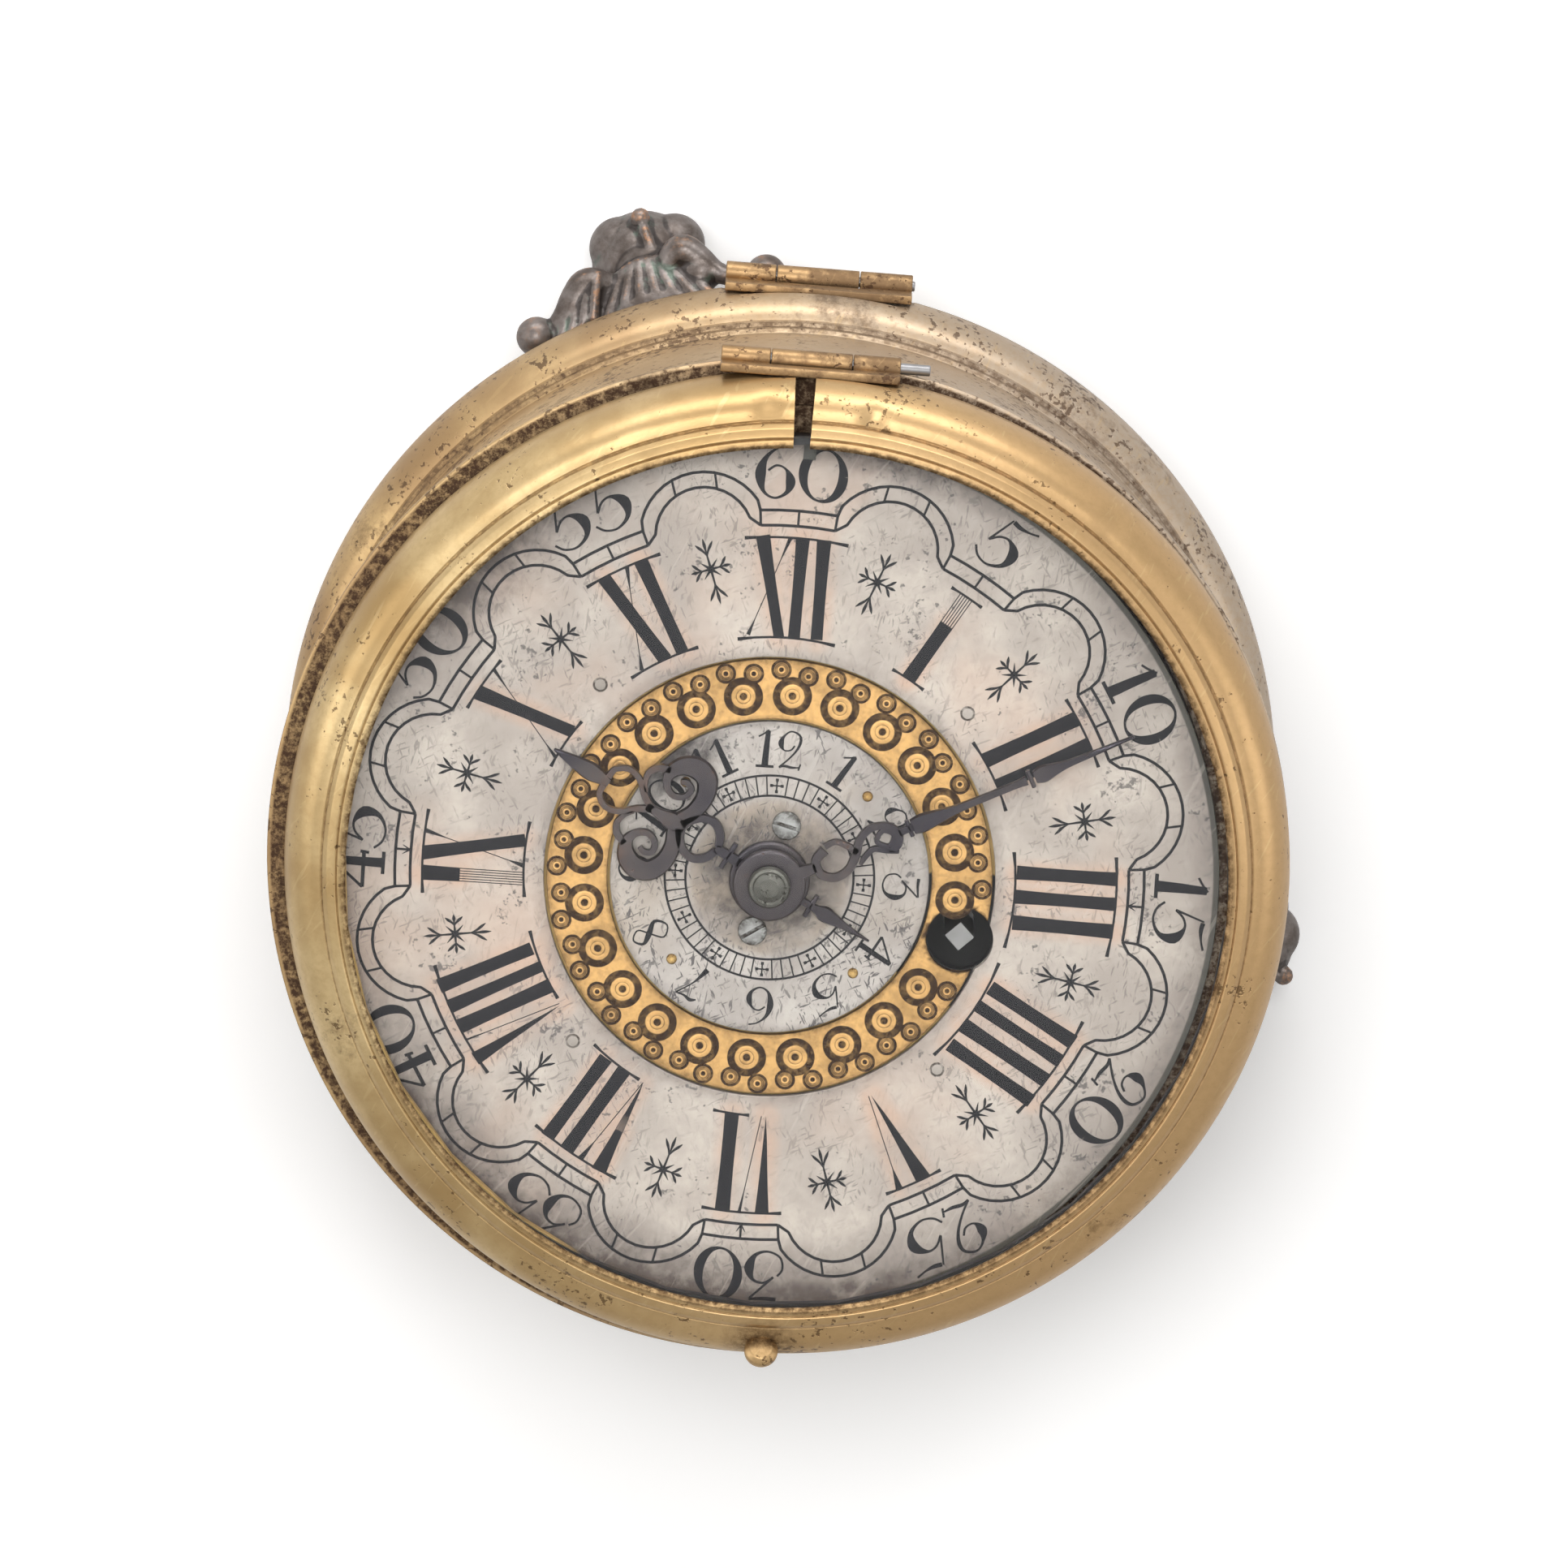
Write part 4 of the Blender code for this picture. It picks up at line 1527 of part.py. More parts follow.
def build_balance(balance, case):
    """Balance on its verge staff with two pallets, spiral spring, cock and cock screw."""
    top = BACK_PLATE_BOTTOM - BALANCE_DROP
    bottom = top - BALANCE_THICKNESS
    cock_top = bottom - COCK_GAP
    cock_bottom = cock_top - COCK_THICKNESS
    openings = windows(BALANCE_RADIUS - BALANCE_RIM, VERGE_RADIUS * 4, BALANCE_ARMS, BALANCE_ARM_WIDTH)
    rim = flat([circle(BALANCE_RADIUS, 28)] + openings, bottom, top)
    rim = piece(rim, "balance_wheel", BRASS, balance, at(VERGE_PLACE))
    bore = rod(VERGE_RADIUS + FIT, bottom - OVERRUN, top + OVERRUN)
    combine(rim, cutter(bore, balance, at(VERGE_PLACE)), "DIFFERENCE")
    pallet_gap = ESCAPE_RADIUS - ESCAPE_RIM / 2
    staff_top = ESCAPE_HEIGHT + pallet_gap + PALLET_HEIGHT
    staff = rod(VERGE_RADIUS, cock_bottom + COCK_THICKNESS / 3, staff_top)
    piece(staff, "verge_staff", STEEL, balance, at(VERGE_PLACE))
    for side, lean in ((-1, 40.0), (1, -40.0)):
        flag = box((VERGE_RADIUS, PALLET_REACH, PALLET_HEIGHT), (0, PALLET_REACH / 2, 0))
        height = ESCAPE_HEIGHT + side * pallet_gap
        turn = (0, 0, math.radians(180.0 - ESCAPE_ANGLE + lean))
        combine(staff, cutter(flag, balance, at(VERGE_PLACE, height), turn), "UNION")
    route = []
    for index in range(SPIRAL_TURNS * SPIRAL_POINTS + 1):
        share = index / (SPIRAL_TURNS * SPIRAL_POINTS)
        radius = SPIRAL_INNER + (SPIRAL_OUTER - SPIRAL_INNER) * share
        angle = 2 * math.pi * SPIRAL_TURNS * share
        route.append((radius * math.cos(angle), radius * math.sin(angle), bottom - COCK_GAP / 2))
    spiral = tube(route, [SPIRAL_WIRE] * len(route), 0)
    piece(spiral, "balance_spring", STEEL, case, at(VERGE_PLACE))
    table = flat([circle(COCK_TABLE_RADIUS, 24)] + windows(COCK_TABLE_RADIUS * 0.8, VERGE_RADIUS * 4, 4,
                                                           BALANCE_ARM_WIDTH * 1.4), cock_bottom, cock_top)
    table = piece(table, "balance_cock", GILT, case, at(VERGE_PLACE))
    reach = COCK_FOOT_REACH - COCK_TABLE_RADIUS * 0.8
    turn = (0, 0, -math.radians(COCK_FOOT_TURN))
    middle = (COCK_FOOT_REACH + COCK_TABLE_RADIUS * 0.8) / 2
    neck = box((COCK_FOOT_RADIUS * 1.6, reach, COCK_THICKNESS), (0, middle, (cock_top + cock_bottom) / 2))
    combine(table, cutter(neck, case, at(VERGE_PLACE), turn), "UNION")
    foot = rod(COCK_FOOT_RADIUS, cock_bottom, BACK_PLATE_BOTTOM - SEAT, 16)
    combine(table, cutter(foot, case, at(COCK_FOOT_PLACE)), "UNION")
    for radius, place in ((VERGE_RADIUS + FIT, VERGE_PLACE), (PIVOT_RADIUS + FIT, COCK_FOOT_PLACE)):
        hole = rod(radius, cock_bottom - OVERRUN, BACK_PLATE_BOTTOM + OVERRUN)
        combine(table, cutter(hole, case, at(place)), "DIFFERENCE")
    head = cock_bottom - SEAT
    screw = stepped_shaft([
        (PIVOT_RADIUS, BACK_PLATE_BOTTOM - SEAT, head),
        (COCK_FOOT_RADIUS * 0.7, head, head - COCK_THICKNESS * 0.7),
    ])
    piece(screw, "cock_screw", STEEL, case, at(COCK_FOOT_PLACE))


def build_alarm(alarm_barrel, alarm_escape, hammer):
    """Alarm barrel with its wheel, alarm escape wheel with its pinion, and the hammer."""
    high = PILLAR_PLATE_BOTTOM - PLATE_THICKNESS
    wheel_low = BACK_PLATE_TOP + PLATE_THICKNESS
    wheel_high = wheel_low + WHEEL_THICKNESS
    drum_high = high - WHEEL_THICKNESS * 3
    middle = PLATE_THICKNESS / 2
    drum = stepped_shaft([
        (BARREL_ARBOR_RADIUS, PILLAR_PLATE_BOTTOM + middle, drum_high),
        (ALARM_BARREL_RADIUS, drum_high, wheel_high),
        (BARREL_ARBOR_RADIUS, wheel_high, BACK_PLATE_TOP - middle),
    ])
    piece(drum, "alarm_barrel", BRASS, alarm_barrel, at(ALARM_BARREL_PLACE))
    towards = compass(ALARM_MESH_TURN)
    teeth = wheel(ALARM_WHEEL_TEETH, ALARM_MODULE, towards, BARREL_ARBOR_RADIUS / 2, wheel_low,
                  wheel_high + SEAT)
    combine(drum, cutter(teeth, alarm_barrel, at(ALARM_BARREL_PLACE)), "UNION")
    shaft = plate_arbor(ARBOR_RADIUS)
    piece(shaft, "alarm_escape_wheel", STEEL, alarm_escape, at(ALARM_ESCAPE_PLACE))
    gap_turn = 180.0 / ALARM_PINION_LEAVES
    pinion = leaves(ALARM_PINION_LEAVES, ALARM_MODULE, towards + 180.0 + gap_turn,
                    wheel_low - SEAT * 2, wheel_high + SEAT * 2)
    arbor_with_leaves(shaft, pinion, alarm_escape, at(ALARM_ESCAPE_PLACE))
    module = ALARM_ESCAPE_RADIUS / (ALARM_ESCAPE_TEETH / 2 + TOOTH_ADDENDUM)
    saw = flat([wheel_outline(ALARM_ESCAPE_TEETH, module, 0)], high - WHEEL_THICKNESS, high)
    arbor_with_leaves(shaft, saw, alarm_escape, at(ALARM_ESCAPE_PLACE))
    build_hammer(hammer)


def build_hammer(hammer):
    """Alarm hammer: arbor between the plates, arm below the back plate and head beside the bell."""
    middle = PLATE_THICKNESS / 2
    arm_top = BACK_PLATE_BOTTOM - SEAT * 2
    arm_bottom = arm_top - HAMMER_ARM_THICKNESS
    arbor = stepped_shaft([
        (PIVOT_RADIUS, PILLAR_PLATE_BOTTOM + middle, PILLAR_PLATE_BOTTOM - SEAT),
        (ARBOR_RADIUS, PILLAR_PLATE_BOTTOM - SEAT, BACK_PLATE_TOP + SEAT),
        (PIVOT_RADIUS, BACK_PLATE_TOP + SEAT, arm_bottom),
    ])
    piece(arbor, "alarm_hammer", STEEL, hammer, at(HAMMER_PLACE))
    reach = BELL_RADIUS + HAMMER_GAP + HAMMER_HEAD_RADIUS
    head_place = clock_point(reach, HAMMER_BELL_ANGLE)
    along = Vector(head_place) - Vector(HAMMER_PLACE)
    arm = box((along.length + HAMMER_ARM_WIDTH, HAMMER_ARM_WIDTH, HAMMER_ARM_THICKNESS))
    centre = Vector(HAMMER_PLACE) + along / 2
    turn = (0, 0, math.atan2(along.y, along.x))
    height = (arm_top + arm_bottom) / 2
    combine(arbor, cutter(arm, hammer, (centre.x, centre.y, height), turn), "UNION")
    head = rod(HAMMER_HEAD_RADIUS, arm_top - HAMMER_HEAD_DROP - HAMMER_ARM_THICKNESS, arm_top, 16)
    combine(arbor, cutter(head, hammer, at(head_place)), "UNION")


def build_clock():
    """All pieces of the clock under the empties on their joints' axes."""
    clock = frame("clock", (0, 0, 0))
    clock.location = (AXIS_X, AXIS_Y, 0)
    case = frame("case", (0, BASE_HINGE_REACH, BASE_HINGE_HEIGHT), clock)
    bezel = frame("bezel", (0, BEZEL_HINGE_REACH, BEZEL_HINGE_HEIGHT), case)
    minute = frame("minute", at(CENTRE), case)
    hour = frame("hour", at(CENTRE), case)
    disc = frame("alarm_setting", at(CENTRE), hour)
    minute_wheel = frame("minute_wheel_axis", at(MINUTE_WHEEL_PLACE), case)
    centre = frame("centre", at(CENTRE), case)
    great = frame("great", at(WINDING_PLACE), case)
    fusee = frame("fusee_axis", at(WINDING_PLACE), great)
    barrel = frame("barrel", at(BARREL_PLACE), case)
    third = frame("third", at(THIRD_PLACE), case)
    contrate = frame("contrate", at(CONTRATE_PLACE), case)
    escape = frame("escape", at(CONTRATE_PLACE, ESCAPE_HEIGHT), case)
    balance = frame("balance", at(VERGE_PLACE), case)
    alarm_barrel = frame("alarm_barrel_axis", at(ALARM_BARREL_PLACE), case)
    alarm_escape = frame("alarm_escape", at(ALARM_ESCAPE_PLACE), case)
    hammer = frame("hammer", at(HAMMER_PLACE), case)

    build_cover(clock)
    for name, angle in zip(FOOT_NAMES, FOOT_ANGLES):
        build_foot(name, angle, clock)
    build_foot_screws(clock)
    build_bell(clock)
    build_drum(case)
    build_base_hinge(clock, case)
    build_bezel_hinge(case, bezel)
    build_bezel(bezel)
    build_glass(bezel)
    build_knob(bezel)
    build_dial(case)
    build_alarm_disc(disc)
    build_hour_hand(hour)
    build_minute_hand(minute)
    build_motion_work(minute, hour, minute_wheel)
    build_plates(case)
    build_centre(centre)
    build_great_wheel(great)
    build_fusee(fusee)
    build_barrel(barrel, case)
    build_chain(case)
    build_third(third)
    build_contrate(contrate)
    build_escape(escape)
    build_potence(case)
    build_balance(balance, case)
    build_alarm(alarm_barrel, alarm_escape, hammer)
    bpy.context.view_layer.update()


remove_all()
PARTS = holder("table_clock")
TOOLS = holder("cutters")
build_clock()
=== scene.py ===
"""Looks of the horizontal table clock: smooth mouldings, engraved dial, hands, hinges and finishes.

Sizes are in millimetres and heights are measured from the floor. Plan places are measured from the
dial's centre, with 12 o'clock towards +Y, or from the axis of the drum.
"""

import logging
import math
from dataclasses import dataclass, field
from enum import Enum
from typing import Iterable, Optional, Sequence

import bpy
import numpy as np
from mathutils import Matrix, Vector


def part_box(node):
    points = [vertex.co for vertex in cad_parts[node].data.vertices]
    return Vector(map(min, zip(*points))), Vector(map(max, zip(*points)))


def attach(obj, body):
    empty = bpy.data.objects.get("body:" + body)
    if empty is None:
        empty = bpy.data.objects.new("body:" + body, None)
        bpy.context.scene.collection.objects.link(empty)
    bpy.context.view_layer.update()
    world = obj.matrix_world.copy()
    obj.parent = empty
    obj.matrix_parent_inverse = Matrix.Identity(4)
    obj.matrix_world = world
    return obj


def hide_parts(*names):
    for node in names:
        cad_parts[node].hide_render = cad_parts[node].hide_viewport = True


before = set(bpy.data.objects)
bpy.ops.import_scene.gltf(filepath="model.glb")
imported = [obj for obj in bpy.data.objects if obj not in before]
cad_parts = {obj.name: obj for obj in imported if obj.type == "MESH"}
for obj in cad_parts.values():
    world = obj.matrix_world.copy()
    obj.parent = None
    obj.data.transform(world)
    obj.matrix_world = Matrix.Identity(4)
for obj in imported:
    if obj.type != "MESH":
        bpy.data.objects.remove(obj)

LOG = logging.getLogger("table_clock")
MM = 0.001
CLOCK_STEPS = 240

Colour = tuple[float, float, float, float]
Corner = tuple[float, float, float]
Point = tuple[float, float]


def tone(red: int, green: int, blue: int) -> Colour:
    """Linear colour from the three values of a screen colour."""
    linear = []
    for part in (red, green, blue):
        share = part / 255
        linear.append(share / 12.92 if share <= 0.04045 else ((share + 0.055) / 1.055) ** 2.4)
    return (*linear, 1.0)


# ---------------------------------------------------------------------------------------------
# Shader wiring
# ---------------------------------------------------------------------------------------------


class Wiring:
    """Adds nodes to one shader tree and links them."""

    def __init__(self, tree: bpy.types.NodeTree) -> None:
        """Keep the tree to work on.

        Args:
            tree: Node tree of a material or of a node group.
        """
        self.tree = tree

    def feed(self, socket: bpy.types.NodeSocket, value: object) -> None:
        """Link a socket to another one, or set its value."""
        if isinstance(value, bpy.types.NodeSocket):
            self.tree.links.new(value, socket)
        else:
            socket.default_value = value

    def add(self, kind: str, inputs: Optional[dict] = None, **settings: object) -> bpy.types.Node:
        """Add a node.

        Args:
            kind: Type name of the node.
            inputs: Values or sockets by input name or number.
            settings: Properties of the node.

        Returns:
            The new node.
        """
        node = self.tree.nodes.new(kind)
        for name, value in settings.items():
            setattr(node, name, value)
        for key, value in (inputs or {}).items():
            self.feed(node.inputs[key], value)
        return node

    def maths(self, operation: str, first: object, second: object = 0.0) -> bpy.types.NodeSocket:
        """Result of one step of arithmetic, kept between 0 and 1."""
        node = self.add("ShaderNodeMath", {0: first, 1: second}, operation=operation, use_clamp=True)
        return node.outputs[0]

    def sum_of(self, operation: str, first: object, second: object = 0.0) -> bpy.types.NodeSocket:
        """Result of one step of arithmetic, with no limits."""
        return self.add("ShaderNodeMath", {0: first, 1: second}, operation=operation).outputs[0]

    def noise(self, place: object, size: float, detail: float = 4.0,
              roughness: float = 0.55) -> bpy.types.NodeSocket:
        """Cloudy value between 0 and 1, with features of about the given size."""
        node = self.add("ShaderNodeTexNoise", {"Vector": place, "Scale": 1 / size, "Detail": detail,
                                               "Roughness": roughness})
        return node.outputs["Fac"]

    def window(self, value: object, low: float, high: float, start: float = 0.0,
               end: float = 1.0) -> bpy.types.NodeSocket:
        """Value carried smoothly from one span to another."""
        node = self.add("ShaderNodeMapRange", {0: value, 1: low, 2: high, 3: start, 4: end},
                        interpolation_type="SMOOTHSTEP", clamp=True)
        return node.outputs[0]

    def blend(self, share: object, first: object, second: object) -> bpy.types.NodeSocket:
        """Colour between two colours."""
        node = self.add("ShaderNodeMix", {0: share, 6: first, 7: second}, data_type="RGBA")
        return node.outputs[2]

    def stretched(self, place: object, sizes: Sequence[float]) -> bpy.types.NodeSocket:
        """Place squeezed along its axes, so that a pattern read there is drawn out."""
        node = self.add("ShaderNodeVectorMath", {0: place, 1: tuple(sizes)}, operation="MULTIPLY")
        return node.outputs[0]


def group_of(name: str, inputs: Sequence[tuple[str, str, object]],
             outputs: Sequence[tuple[str, str]]) -> tuple[Wiring, dict, dict]:
    """Start a node group.

    Args:
        name: Name of the group.
        inputs: Name, socket type and value of each input.
        outputs: Name and socket type of each output.

    Returns:
        The wiring of the group, its input sockets and its output sockets by name.
    """
    tree = bpy.data.node_groups.new(name, "ShaderNodeTree")
    for label, kind, value in inputs:
        socket = tree.interface.new_socket(label, in_out="INPUT", socket_type=kind)
        if value is not None:
            socket.default_value = value
    for label, kind in outputs:
        tree.interface.new_socket(label, in_out="OUTPUT", socket_type=kind)
    wiring = Wiring(tree)
    entry = wiring.add("NodeGroupInput")
    leave = wiring.add("NodeGroupOutput")
    return wiring, dict(entry.outputs.items()), dict(leave.inputs.items())


def polar_group() -> bpy.types.NodeTree:
    """Group that gives the radius and the angle of a place about an upright axis, in millimetres."""
    wiring, entry, leave = group_of(
        "polar", [("Place", "NodeSocketVector", None), ("Axis", "NodeSocketVector", (0, 0, 0))],
        [("Radius", "NodeSocketFloat"), ("Angle", "NodeSocketFloat"), ("Along", "NodeSocketVector")])
    away = wiring.add("ShaderNodeVectorMath", {0: entry["Place"], 1: entry["Axis"]},
                      operation="SUBTRACT").outputs[0]
    parts = wiring.add("ShaderNodeSeparateXYZ", {0: away}).outputs
    flat = wiring.add("ShaderNodeCombineXYZ", {0: parts[0], 1: parts[1]}).outputs[0]
    length = wiring.add("ShaderNodeVectorMath", {0: flat}, operation="LENGTH").outputs["Value"]
    radius = wiring.sum_of("DIVIDE", length, MM)
    angle = wiring.sum_of("ARCTAN2", parts[0], parts[1])
    height = wiring.sum_of("DIVIDE", parts[2], MM)
    arc = wiring.sum_of("MULTIPLY", angle, radius)
    along = wiring.add("ShaderNodeCombineXYZ", {0: radius, 1: arc, 2: height}).outputs[0]
    wiring.feed(leave["Radius"], radius)
    wiring.feed(leave["Angle"], angle)
    wiring.feed(leave["Along"], along)
    return wiring.tree


def tarnish_group() -> bpy.types.NodeTree:
    """Group that gives the blotches, small pits and faint clouds of old metal."""
    wiring, entry, leave = group_of(
        "tarnish", [("Place", "NodeSocketVector", None), ("Spread", "NodeSocketFloat", 0.5),
                    ("Pitting", "NodeSocketFloat", 0.5)],
        [("Blotches", "NodeSocketFloat"), ("Pits", "NodeSocketFloat"), ("Clouds", "NodeSocketFloat")])
    place = entry["Place"]
    broad = wiring.noise(place, 0.016, 3.0, 0.6)
    fine = wiring.noise(place, 0.0016, 6.0, 0.72)
    mixed = wiring.sum_of("ADD", wiring.sum_of("MULTIPLY", broad, 0.6), wiring.sum_of("MULTIPLY", fine, 0.4))
    edge = wiring.sum_of("SUBTRACT", 0.82, wiring.sum_of("MULTIPLY", entry["Spread"], 0.5))
    wiring.feed(leave["Blotches"], wiring.maths("MULTIPLY", wiring.sum_of("SUBTRACT", mixed, edge), 9.0))
    grain = wiring.noise(place, 0.0007, 3.0, 0.6)
    patch = wiring.noise(place, 0.0065, 4.0, 0.65)
    level = wiring.sum_of("ADD", wiring.sum_of("MULTIPLY", grain, 0.55), wiring.sum_of("MULTIPLY", patch, 0.45))
    limit = wiring.sum_of("SUBTRACT", 0.68, wiring.sum_of("MULTIPLY", entry["Pitting"], 0.14))
    wiring.feed(leave["Pits"], wiring.maths("MULTIPLY", wiring.sum_of("SUBTRACT", level, limit), 28.0))
    wiring.feed(leave["Clouds"], broad)
    return wiring.tree


def scratch_group() -> bpy.types.NodeTree:
    """Group that gives long fine scratches, and the short nicks of worn metal."""
    wiring, entry, leave = group_of(
        "scratches", [("Place", "NodeSocketVector", None)],
        [("Scratches", "NodeSocketFloat"), ("Nicks", "NodeSocketFloat")])
    masks = []
    for turn, sizes, low, high in ((0.4, (1500.0, 60.0, 400.0), 0.66, 0.72),
                                   (-0.9, (70.0, 1700.0, 400.0), 0.66, 0.72),
                                   (0.15, (3000.0, 560.0, 900.0), 0.62, 0.66),
                                   (1.1, (2800.0, 520.0, 900.0), 0.63, 0.67),
                                   (-0.5, (3200.0, 600.0, 900.0), 0.63, 0.67)):
        turned_place = wiring.add("ShaderNodeVectorRotate", {"Vector": entry["Place"], "Angle": turn},
                                  rotation_type="Z_AXIS").outputs[0]
        drawn = wiring.stretched(turned_place, sizes)
        line = wiring.add("ShaderNodeTexNoise", {"Vector": drawn, "Scale": 1.0, "Detail": 2.0}).outputs["Fac"]
        masks.append(wiring.window(line, low, high))
    wiring.feed(leave["Scratches"], wiring.maths("MAXIMUM", masks[0], masks[1]))
    wiring.feed(leave["Nicks"], wiring.maths("MAXIMUM", masks[2], wiring.maths("MAXIMUM", masks[3], masks[4])))
    return wiring.tree


POLAR = polar_group()
TARNISH = tarnish_group()
SCRATCHES = scratch_group()


def new_material(name: str) -> tuple[bpy.types.Material, Wiring, bpy.types.Node, bpy.types.NodeSocket]:
    """Empty material.

    Args:
        name: Name of the material.

    Returns:
        The material, its wiring, its main shader and the place of each point in metres.
    """
    material = bpy.data.materials.new(name)
    material.use_nodes = True
    wiring = Wiring(material.node_tree)
    shader = material.node_tree.nodes["Principled BSDF"]
    place = wiring.add("ShaderNodeTexCoord").outputs["Object"]
    return material, wiring, shader, place


def use_group(wiring: Wiring, tree: bpy.types.NodeTree, **inputs: object) -> bpy.types.NodeOutputs:
    """Outputs of a node group used in a tree."""
    node = wiring.add("ShaderNodeGroup", node_tree=tree)
    for name, value in inputs.items():
        wiring.feed(node.inputs[name], value)
    return node.outputs


def relief(wiring: Wiring, shader: bpy.types.Node, height: object, depth: float,
           share: float = 1.0) -> None:
    """Let a height between 0 and 1 shape the light on a surface."""
    bump = wiring.add("ShaderNodeBump", {"Height": height, "Distance": depth * MM, "Strength": share})
    wiring.feed(shader.inputs["Normal"], bump.outputs[0])


# ---------------------------------------------------------------------------------------------
# Finishes
# ---------------------------------------------------------------------------------------------


@dataclass(frozen=True)
class OldMetal:
    """Metal with clouds of two tones, tarnish blotches, pits, fine scratches, and grime and painted shade in its
    corners.

    Grime and painted shade are painted on the mesh under the name "grime_and_shade"; a mesh without it is clean.
    """

    name: str
    bright: Colour
    deep: Colour
    dirt: Colour
    aside: Optional[Colour] = None
    roughness: float = 0.42
    metallic: float = 0.85
    spread: float = 0.35
    pit_share: float = 0.75
    pit_amount: float = 0.5
    scratch_share: float = 0.25
    dimple: float = 0.03

    def material(self) -> bpy.types.Material:
        """Build the material of the finish."""
        material, wiring, shader, place = new_material(self.name)
        old = use_group(wiring, TARNISH, Place=place, Spread=self.spread, Pitting=self.pit_amount)
        lines = use_group(wiring, SCRATCHES, Place=place)["Scratches"]
        clouds = wiring.window(old["Clouds"], 0.30, 0.70)
        colour = wiring.blend(clouds, self.deep, self.bright)
        if self.aside is not None:
            across = wiring.add("ShaderNodeSeparateXYZ", {0: place}).outputs[0]
            across = wiring.sum_of("ADD", across, wiring.sum_of("MULTIPLY", old["Clouds"], 0.05))
            colour = wiring.blend(wiring.window(across, -0.02, 0.055), colour, self.aside)
        fine = wiring.window(wiring.noise(place, 0.0009, 5.0, 0.7), 0.35, 0.75)
        colour = wiring.blend(wiring.maths("MULTIPLY", fine, 0.40), colour, self.deep)
        colour = wiring.blend(wiring.maths("MULTIPLY", old["Blotches"], 0.65), colour, self.dirt)
        colour = wiring.blend(wiring.maths("MULTIPLY", lines, self.scratch_share), colour, self.bright)
        colour = wiring.blend(wiring.maths("MULTIPLY", old["Pits"], self.pit_share), colour, self.dirt)
        # Grime, and painted shade where the mesh carries it, read from the mesh and made ragged, pull the colour
        # towards the dark tone.
        painted = wiring.add("ShaderNodeAttribute", attribute_name="grime_and_shade").outputs["Fac"]
        ragged = wiring.window(wiring.noise(place, 0.0009, 6.0, 0.75), 0.30, 0.64, 0.20, 1.10)
        grime_and_shade = wiring.maths("MULTIPLY", painted, ragged)
        colour = wiring.blend(grime_and_shade, colour, self.dirt)
        wiring.feed(shader.inputs["Base Color"], colour)
        shader.inputs["Metallic"].default_value = self.metallic
        rough = wiring.sum_of("ADD", self.roughness, wiring.sum_of("MULTIPLY", old["Blotches"], 0.20))
        rough = wiring.sum_of("ADD", rough, wiring.sum_of("MULTIPLY", grime_and_shade, 0.25))
        wiring.feed(shader.inputs["Roughness"], rough)
        height = wiring.sum_of("ADD", wiring.noise(place, 0.0045, 3.0, 0.5),
                               wiring.sum_of("MULTIPLY", fine, 0.12))
        height = wiring.sum_of("SUBTRACT", height, wiring.sum_of("MULTIPLY", old["Pits"], 0.5))
        relief(wiring, shader, height, self.dimple)
        return material


